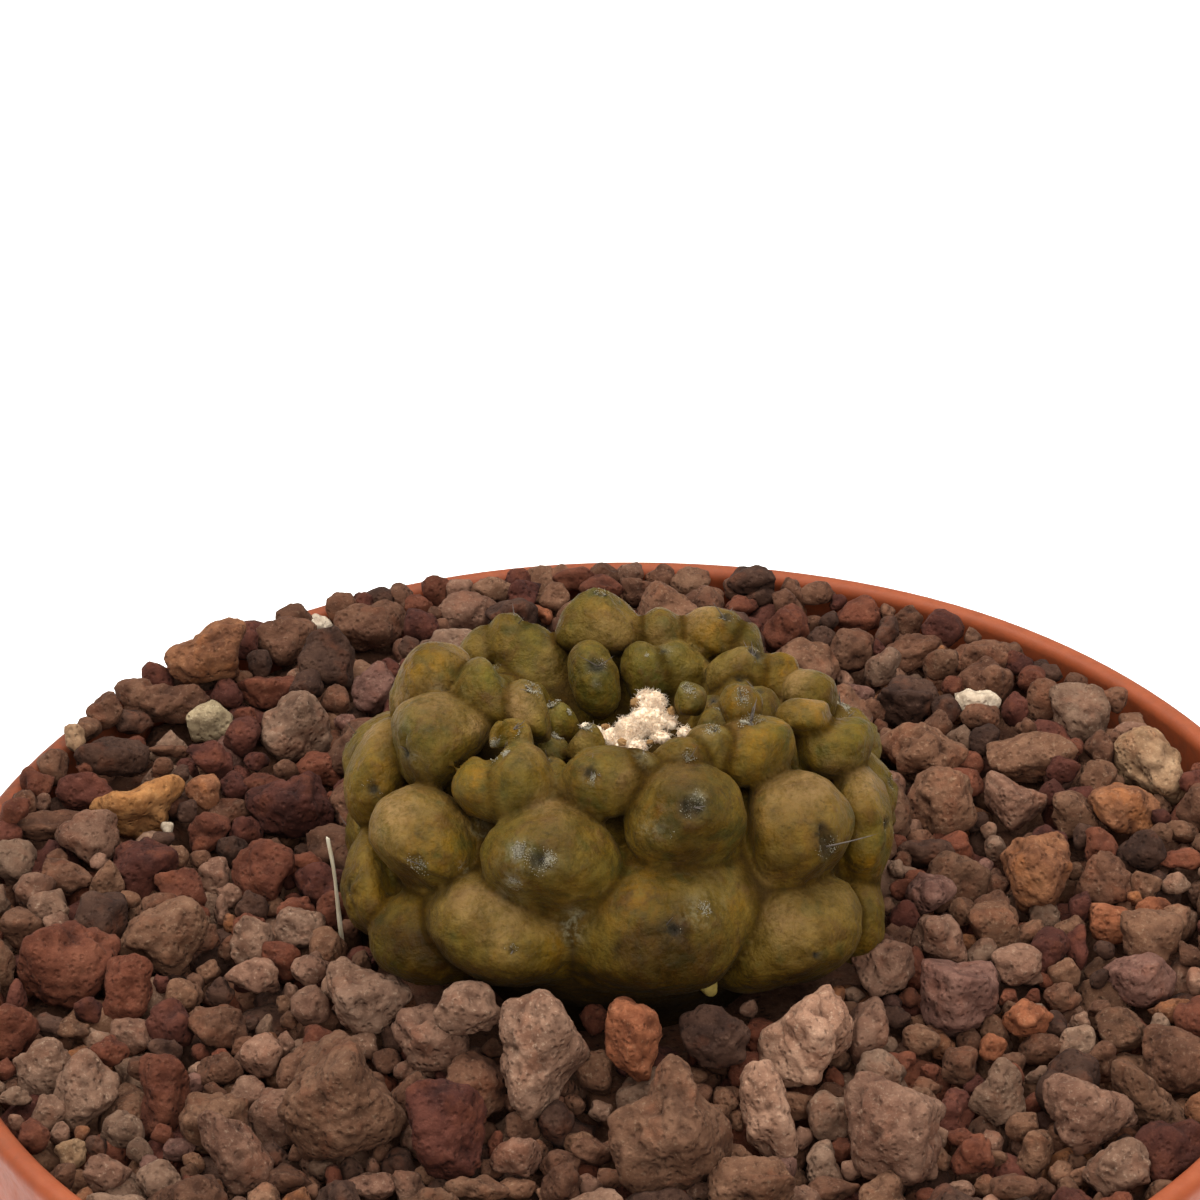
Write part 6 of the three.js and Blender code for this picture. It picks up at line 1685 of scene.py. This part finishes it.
young = np.array([1.0 if k[0] in "BMF" else 0.0 for k in names])[own]
woolly = np.array([WOOL_AMOUNT(k) for k in names])[own]
pitted = np.array([1.0 if q in PITS else 0.0 for q in TUB])[own]


def near_spot(u, v, radius, strength=1.0):
    """Soft round blotch on the skin where the camera sees (u, v)."""
    su, sv, ss, sz = screen(P)
    front = skin_normal @ TOWARDS > 0.05
    d2 = ((su - u) ** 2 + (sv - v) ** 2) / radius ** 2
    w = np.exp(-d2 * (1 + 0.5 * noise(P, 0.8, 91)))
    # only the surface in front, not what lies behind it
    hit = front & (d2 < 0.6)
    if hit.any():
        w = w * (sz < sz[hit].min() + 3.2)
    return w * strength * front


# fresh green, yellow-orange and pale corky areas; the pale upper edges carry a painted highlight
GREENS = {"F1": 0.65, "F2": 0.35, "F2b": 0.55, "F3": 0.55, "C1": 0.50, "F5": 0.50, "B2": 0.70, "B5": 0.9, "M1": 0.9, "B6": 0.8, "B6b": 0.75, "M3": 0.8, "M9": 1.0, "M5": 1.0, "B8": 0.6, "F6": 0.55,
          "M10": 0.6, "F7": 0.65, "B4": 0.5, "B2p": 0.5, "M6": 0.7, "M4": 0.5, "R1": 0.05, "D2": 0.40, "D1": 0.30, "D3": 0.10, "L2": 0.25, "L1": 0.20, "L3": 0.15, "D4": 0.35, "B1": 0.25, "B7": 0.35}
WARMS = {"B1": 0.85, "F2": 0.75, "L1": 0.55, "L2": 0.50, "B7": 0.50, "B8b": 0.75, "F6": 0.60, "M4": 0.80, "F3": 0.35, "F2b": 0.35, "D1": 0.35, "D2": 0.45, "D3": 0.30, "R1": 0.45, "R2": 0.45, "L3": 0.45,
         "F8": 0.65, "M6": 0.55, "C1": 0.36, "F5": 0.42, "B2": 0.20, "F1": 0.34, "F4": 0.55, "B4": 0.30, "B6": 0.20, "B6b": 0.25, "F7": 0.35, "B9": 0.30}
BLOOM_AND_HIGHLIGHT_BY_NAME = {"B9": 0.95, "B2s": 1.0, "M2": 0.75, "B1": 0.55, "L2": 0.45, "L1": 0.45, "R1": 0.55, "R2": 0.60, "D3": 0.40, "D1": 0.60, "B7": 0.45, "F1": 0.40, "M10": 0.45, "F3": 0.35, "B8": 0.40, "F4": 0.40,
         "C1": 0.25, "B6": 0.25, "B6t": 0.50, "B4": 0.50, "B2": 0.45, "D4": 0.0, "D2": 0.15, "F2b": 0.30, "F5": 0.20}
green = np.array([GREENS.get(k, 0.4) for k in names])[own] * np.clip(1.25 - 0.75 * rad_local, 0.15, 1)
warm = np.array([WARMS.get(k, 0.35) for k in names])[own]
pale = np.array([BLOOM_AND_HIGHLIGHT_BY_NAME.get(k, 0.3) for k in names])[own]
# paler towards the upper side of each tubercle: bloom with a painted highlight
bloom_and_highlight = np.clip((up_local - 0.30) / 0.5, 0, 1) * pale * (0.55 + 0.45 * noise(P, 1.7, 77)) + 0.30 * pale * np.clip(noise(P, 3.0, 78) + 0.1, 0, 1)
# painted highlights on the upper edges of tubercles
for u, v, r, w in ((398, 700, 12, 0.8), (430, 700, 22, 0.6), (478, 726, 10, 0.8), (478, 645, 16, 0.9), (395, 800, 20, 0.8), (385, 830, 20, 0.6), (550, 806, 22, 0.5), (812, 786, 30, 0.7), (868, 782, 16, 0.8),
                   (820, 685, 22, 0.8), (703, 608, 18, 0.8), (525, 700, 18, 0.6), (528, 752, 16, 0.4), (625, 780, 18, 0.5), (368, 728, 14, 0.7), (470, 905, 26, 0.4), (500, 935, 22, 0.4), (832, 770, 14, 0.6),
                   (657, 635, 12, 0.5), (740, 652, 14, 0.4), (700, 725, 12, 0.5), (760, 885, 16, 0.4), (790, 925, 30, 0.35), (685, 775, 20, 0.35)):
    bloom_and_highlight = bloom_and_highlight + near_spot(u, v, r, w)
# yellow-orange blotches, some of them painted highlights
for u, v, r, w in ((455, 651, 9, 0.9), (452, 848, 16, 0.75), (425, 670, 16, 0.5), (470, 775, 11, 0.7), (374, 788, 12, 0.6), (757, 745, 8, 0.9), (782, 725, 7, 0.8), (742, 697, 10, 0.8), (720, 622, 14, 0.5),
                   (785, 660, 12, 0.7), (552, 948, 16, 0.6), (866, 862, 12, 0.6), (815, 708, 16, 0.6), (592, 775, 13, 0.5), (740, 905, 10, 0.6), (640, 890, 26, 0.45), (510, 728, 9, 0.5), (378, 900, 18, 0.5),
                   (660, 808, 12, 0.5), (690, 748, 9, 0.6), (600, 612, 12, 0.4), (540, 770, 10, 0.5), (645, 660, 9, 0.3)):
    warm = warm + near_spot(u, v, r, w)
for u, v, r, w in ((465, 690, 10, 0.6), (530, 655, 24, 0.4), (655, 680, 16, 0.5), (735, 675, 12, 0.5), (420, 778, 16, 0.7), (515, 800, 16, 0.5), (680, 800, 16, 0.4), (560, 722, 14, 0.6), (640, 915, 20, 0.4),
                   (478, 940, 14, 0.3), (590, 790, 12, 0.6), (425, 735, 14, 0.5)):
    green = green + near_spot(u, v, r, w)
wax_and_sheen = np.exp(-(to_areole / (0.34 + 0.26 * woolly)) ** 2) * np.clip(0.10 + 0.8 * woolly, 0, 1) * pitted * 0.6
# pale patches of felt and wax, some of them painted sheen
for u, v, r, w in ((705, 910, 17, 0.75), (572, 932, 12, 1.0), (575, 915, 9, 0.6), (518, 854, 12, 0.9), (547, 862, 9, 0.8), (512, 883, 11, 0.9), (650, 832, 13, 0.5), (698, 799, 7, 0.9),
                   (413, 757, 6, 0.7), (462, 867, 7, 0.6), (475, 828, 9, 0.5), (494, 744, 6, 0.9), (402, 722, 10, 0.4), (590, 784, 7, 0.7), (597, 684, 4, 0.9), (478, 833, 8, 0.4), (437, 690, 6, 0.4)):
    wax_and_sheen = wax_and_sheen + near_spot(u, v, r, w)
# painted shade on undersides and towards the gravel
underside_shade = np.clip(-skin_normal[:, 2] * 1.4 + 0.10, 0, 1)
low_shade = np.clip((0.2 - (P[:, 2] - H)) / 2.6, 0, 1) * 0.9 + underside_shade * 0.50
# painted shade blotches: dark undersides and lower faces of tubercles
for u, v, r, w in ((686, 796, 46, 0.85), (548, 836, 52, 0.55), (437, 716, 36, 0.45), (806, 800, 42, 0.42), (778, 850, 26, 0.25), (424, 826, 34, 0.24), (650, 905, 40, 0.22), (672, 968, 40, 0.7),
                   (745, 690, 24, 0.22), (560, 760, 20, 0.15), (668, 962, 44, 0.80), (628, 950, 26, 0.55), (650, 930, 24, 0.35), (715, 950, 22, 0.5), (408, 876, 18, 0.6), (690, 860, 24, 0.5), (810, 880, 22, 0.5), (400, 945, 26, 0.9), (432, 962, 22, 0.9),
                   (372, 925, 22, 0.5), (425, 780, 14, 0.45), (560, 903, 24, 0.35), (828, 848, 13, 0.7), (345, 880, 16, 0.4), (470, 975, 24, 0.6), (530, 985, 26, 0.6), (590, 985, 22, 0.6), (800, 985, 30, 0.5)):
    low_shade = low_shade + near_spot(u, v, r, w)
pit_size = np.array([q.get("pit", 0.2) for q in TUB])[own]
# dark areole and painted shade in its pit
areole_and_pit_shade = np.exp(-(to_areole / (1.22 * pit_size + 0.02)) ** 4) * pitted
clip01 = lambda x: np.clip(x, 0, 1)
plant = mesh_object("cactus_body", P, Q, True, {"crease": clip01(crease), "green": clip01(green), "bloom_and_highlight": clip01(bloom_and_highlight), "low_shade": clip01(low_shade), "warm": clip01(warm), "wax_and_sheen": clip01(wax_and_sheen),
                                                "areole_and_pit_shade": clip01(areole_and_pit_shade), "shade": clip01(shade)})
plant.data.materials.append(SKIN_MAT)
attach(plant, "root")
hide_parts("cactus_plant")


# ---------------------------------------------------------- wool, felt, spines
def strands(roots, dirs, lengths, radius, curl, rng, sides=3, segs=4, droop=0.0):
    """Thin curved hairs as little closed prisms that taper to a point."""
    R = np.asarray(roots, dtype=F)
    D = np.asarray(dirs, dtype=F)
    D = D / np.linalg.norm(D, axis=1)[:, None]
    L = np.asarray(lengths, dtype=F)
    rad = np.broadcast_to(np.asarray(radius, dtype=F), L.shape)
    n = len(R)
    u = np.cross(D, rng.normal(size=(n, 3)))
    u /= np.linalg.norm(u, axis=1)[:, None]
    w = np.cross(D, u)
    bend = rng.normal(size=(n, 3)) * curl
    pts = [R]
    d = D.copy()
    for s in range(segs):
        d = d + bend / segs + np.array([0, 0, -droop / segs])
        d /= np.linalg.norm(d, axis=1)[:, None]
        pts.append(pts[-1] + d * (L / segs)[:, None])
    blocks = []
    for s in range(segs):
        r = rad * (1 - 0.75 * s / segs)
        for k in range(sides):
            a = 2 * math.pi * k / sides
            blocks.append(pts[s] + (u * math.cos(a) + w * math.sin(a)) * r[:, None])
    blocks.append(pts[-1])
    V = np.stack(blocks, 1).reshape(-1, 3)
    tip = np.tile(np.append(np.repeat(np.arange(segs) / segs, sides), 1.0), n)
    T = []
    for s in range(segs - 1):
        for k in range(sides):
            a0, a1 = s * sides + k, s * sides + (k + 1) % sides
            T += [(a0, a1, a1 + sides), (a0, a1 + sides, a0 + sides)]
    last, top = (segs - 1) * sides, segs * sides
    T += [(last + k, last + (k + 1) % sides, top) for k in range(sides)]
    T += [(0, k + 1, k) for k in range(1, sides - 1)]
    T = (np.array(T)[None] + (np.arange(n) * (segs * sides + 1))[:, None, None]).reshape(-1, 3)
    return V, T, tip


def drop_to_skin(P, n, reach=3.0):
    """Moves points along -n until they meet the skin."""
    P = P.copy()
    for _ in range(12):
        d = whole(P, False)
        P = P - n * np.clip(d, -0.5, 0.6)[:, None] * 0.9
    return P


rng = np.random.RandomState(77)
# the crown's tuft: matted pads of wool under a tangle of fine hairs that lie down.
# Each pad: where it shows in the frame, how high it lies, its half sizes across, along and up.
PADS = [(653, 705, 9.95, 0.62, 0.80, 0.55, 1.0), (648, 722, 9.75, 0.90, 0.95, 0.60, 1.0), (632, 730, 9.65, 0.80, 0.80, 0.50, 1.0), (612, 738, 9.45, 0.52, 0.55, 0.36, 0.8), (637, 748, 9.70, 0.48, 0.62, 0.34, 0.8),
        (668, 722, 9.60, 0.42, 0.50, 0.36, 0.7), (684, 733, 9.90, 0.34, 0.36, 0.26, 0.5), (598, 732, 9.30, 0.36, 0.34, 0.22, 0.5), (645, 700, 9.95, 0.42, 0.55, 0.42, 0.8), (622, 745, 9.55, 0.42, 0.42, 0.28, 0.6),
        (660, 738, 9.70, 0.45, 0.42, 0.30, 0.6), (586, 727, 9.10, 0.26, 0.28, 0.16, 0.3)]


def frame_point(u, v, z):
    """The point at height z (mm above the rim) that the camera sees at (u, v)."""
    d = FWD + RIGHT * (u - 600) / FOCAL - UP * (v - 600) / FOCAL
    return CAM + d * ((H + z - CAM[2]) / d[2])


parts, roots, dirs, lens = [], [], [], []
for k, (u, v, z, ax, ay, az, w) in enumerate(PADS):
    c = frame_point(u, v, z)
    rads = np.array([ax, ay, az])
    D2, T2 = ico(14 if w > 0.7 else 10)
    S = D2 * rads + c
    lump = 1 + 0.34 * fbm(S, 0.55, 3, 3 + k) + 0.20 * noise(S, 0.22, 9) + 0.08 * noise(S, 0.10, 19)
    # the pads paler on their bulges and darker in their dips: painted shade
    parts.append((D2 * lump[:, None] * rads * 0.90 + c, T2, np.clip(0.45 + 0.9 * (lump - 0.9), 0, 1), 0.0))
    for _ in range(int(440 * w * (ax + az) * (ay + az))):
        d = rng.normal(size=3)
        d[2] = abs(d[2])
        d /= np.linalg.norm(d)
        roots.append(c + d * rads * rng.uniform(0.86, 1.02))
        s = np.cross(d, rng.normal(size=3))
        dirs.append(s / np.linalg.norm(s) + d * rng.uniform(-0.15, 0.12))
        lens.append(rng.uniform(0.16, 0.42))
V, T, h, _ = join(parts)
wool_pad = mesh_object("crown_wool_pad", V, T, True, {"tip": h})
wool_pad.data.materials.append(WOOL_MAT)
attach(wool_pad, "root")
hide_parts("crown_wool")
V, T, tip = strands(roots, dirs, lens, 0.023, 1.9, rng, segs=3, droop=0.6)
print("wool hairs", len(lens), len(T))
hairs = mesh_object("crown_wool_hairs", V, T, True, {"tip": 0.35 + tip * 0.65})
hairs.data.materials.append(WOOL_MAT)
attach(hairs, "root")
# brown scraps of dead felt caught in the wool, and a husk beside the plant
scraps = []
for k, (u, v, z, ax, ay, az) in enumerate([(636, 703, 10.0, 0.30, 0.34, 0.22), (622, 742, 10.0, 0.20, 0.26, 0.14), (671, 712, 9.9, 0.20, 0.28, 0.20), (606, 727, 9.7, 0.22, 0.16, 0.14), (650, 742, 10.0, 0.16, 0.14, 0.10)]):
    D2, T2 = ico(8)
    c = frame_point(u, v, z)
    lump = 1 + 0.45 * fbm(D2 + c, 0.6, 3, 40 + k)
    scraps.append((D2 * lump[:, None] * np.array([ax, ay, az]) + c, T2, np.full(len(D2), 0.2), 0.0))
V, T, h, _ = join(scraps)
scrap = mesh_object("crown_wool_scraps", V, T, True, {"tip": h})
scrap.data.materials.append(SCRAP_MAT)
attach(scrap, "root")

# felt on each areole: hairs that lie on the skin, and a few short spines
fr, fn, fd, fl = [], [], [], []
sr, sd, sl_, sw = [], [], [], []
for q in PITS:
    amount = WOOL_AMOUNT(q["name"])
    size = min(1.0, 0.42 * (q["a"] + q["b"]) / 2)
    spread = (0.13 + 0.17 * amount) * (0.6 + 0.4 * size) + 0.25 * q["pit"]
    for _ in range(int(16 + 150 * amount)):
        r = spread * math.sqrt(-math.log(1 - 0.95 * rng.rand()))
        a = rng.rand() * 2 * math.pi
        p = q["ar"] + q["t1"] * r * math.cos(a) + q["t2"] * r * math.sin(a)
        fr.append(p)
        fn.append(q["n"])
        t = q["t1"] * rng.normal() + q["t2"] * rng.normal()
        fd.append(0.8 * t / (np.linalg.norm(t) + 1e-6) + q["n"] * rng.uniform(0.5, 1.5))
        fl.append(rng.uniform(0.045, 0.085) * (0.7 + 0.3 * amount))
    k = {"M": 3, "B": 2, "F": 2, "H": 1}.get(q["name"][0], 0 if rng.rand() < 0.6 else 1)
    if q["name"] in ("B9", "B8", "F6"):
        k = 5
    for _ in range(k):
        sr.append(q["ar"] + q["t1"] * rng.normal() * 0.12 * size - q["n"] * 0.25)
        sd.append(q["n"] * rng.uniform(0.25, 0.8) + q["t1"] * rng.normal() * 0.7 + q["t2"] * rng.uniform(-0.5, 0.9))
        sl_.append(rng.uniform(0.5, 1.2) * (1.0 if q["name"][0] != "M" else 0.7))
        sw.append(rng.uniform(0.028, 0.045))
# extra patches of felt away from the areoles: where they show, how wide, how many hairs
for u, v, r, n in ((518, 850, 0.42, 190), (548, 858, 0.36, 150), (512, 884, 0.50, 200), (494, 744, 0.24, 90), (413, 757, 0.16, 50), (505, 754, 0.26, 100), (700, 797, 0.40, 130), (662, 832, 0.55, 120), (592, 776, 0.22, 70),
                   (828, 848, 0.40, 70), (462, 868, 0.25, 40), (706, 908, 0.40, 60), (648, 655, 0.20, 60), (597, 684, 0.18, 60), (570, 712, 0.18, 60), (845, 708, 0.30, 70), (745, 721, 0.30, 90)):
    view = (RIGHT * (u - 600) / FOCAL - UP * (v - 600) / FOCAL + FWD)
    view = view / np.linalg.norm(view)
    o = CAM + view * 205.0
    for _ in range(400):
        d = whole(o[None], False)[0]
        if d < 0.02:
            break
        o = o + view * min(max(d * 0.6, 0.02), 1.0)
    q = min(TUB, key=lambda q: np.linalg.norm((o - q["c"]) / q["size"]))
    nn = gradient(lambda X: whole(X, False), o[None])[0]
    nn = nn / np.linalg.norm(nn)
    a1 = np.cross(nn, [0.3, 0.2, 1.0])
    a1 /= np.linalg.norm(a1)
    a2 = np.cross(nn, a1)
    for _ in range(int(1.6 * n)):
        rr, a = r * math.sqrt(-math.log(1 - 0.95 * rng.rand())) * 0.62, rng.rand() * 2 * math.pi
        fr.append(o + a1 * rr * math.cos(a) + a2 * rr * math.sin(a))
        fn.append(nn)
        s = a1 * rng.normal() + a2 * rng.normal()
        fd.append(0.8 * s / (np.linalg.norm(s) + 1e-6) + nn * rng.uniform(0.5, 1.5))
        fl.append(rng.uniform(0.045, 0.085))
fr, fn = np.array(fr), np.array(fn)
fr = drop_to_skin(fr + fn * 0.3, fn) - fn * 0.02
V, T, tip = strands(fr, fd, fl, rng.uniform(0.020, 0.036, len(fl)), 0.2, rng, segs=1)
print("felt hairs", len(fl), len(T))
felt = mesh_object("areole_felt_hairs", V, T, True, {"tip": tip * 0.5})
felt.data.materials.append(FELT_MAT)
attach(felt, "root")
# one long thin spine lies across the right-hand tubercle
for q in TUB:
    if q["name"] == "R1":
        sr.append(q["ar"] - q["n"] * 0.2)
        sd.append(np.array([0.97, 0.12, 0.10]))
        sl_.append(2.5)
        sw.append(0.05)
V, T, tip = strands(sr, sd, sl_, sw, 0.25, rng, sides=6, segs=5)
spines = mesh_object("spines", V, T, True, {"tip": tip})
spines.data.materials.append(SPINE_MAT)
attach(spines, "root")

# --------------------------------------------------------------------- straw
path = spline([(-13.25, -0.55, H - 1.4), (-13.36, -0.5, H + 0.9), (-13.46, -0.4, H + 2.8), (-13.66, -0.35, H + 4.6)], 26)
Vs, Ts = [], []
K = 10
for s, p in enumerate(path):
    t = s / (len(path) - 1)
    w = 0.105 * (1 - 0.20 * t) * (1 + 0.12 * math.sin(9 * t))
    for k in range(K):
        a = 2 * math.pi * k / K
        Vs.append((p[0] + w * math.cos(a), p[1] + 0.6 * w * math.sin(a) * (1 - 0.45 * max(0, math.cos(a))), p[2]))
for s in range(len(path) - 1):
    for k in range(K):
        a0, a1 = s * K + k, s * K + (k + 1) % K
        Ts.append((a0, a1, a1 + K))
        Ts.append((a0, a1 + K, a0 + K))
n0 = len(Vs)
Vs.append(tuple(path[0]))
Vs.append(tuple(path[-1] + np.array([-0.05, 0, 0.12])))
for k in range(K):
    Ts.append((n0, (k + 1) % K, k))
    e = (len(path) - 1) * K
    Ts.append((n0 + 1, e + k, e + (k + 1) % K))
straw = mesh_object("dry_straw_blade", np.array(Vs), np.array(Ts), True)
straw.data.materials.append(STRAW_MAT)
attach(straw, "root")
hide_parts("dry_straw")

# a scrap of dry yellow husk on the gravel at the foot of the plant
hv, ht = ico(14)
c = frame_point(709, 986, 1.0)
lump = 1 + 0.22 * fbm(hv + 5, 0.9, 3, 71)
bend = 0.22 * hv[:, 0] ** 2
shape = hv * lump[:, None] * np.array([0.42, 0.32, 0.62])
shape[:, 2] += bend
# the husk paler on its bulges and darker in its dips: painted shade
husk = mesh_object("dry_husk_scrap", shape @ np.array([[0.90, 0.30, 0.30], [-0.32, 0.94, 0.05], [-0.27, -0.14, 0.95]]) + c, ht, True, {"tip": np.clip(0.5 + lump - 1, 0, 1)})
husk.data.materials.append(HUSK_MAT)
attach(husk, "root")
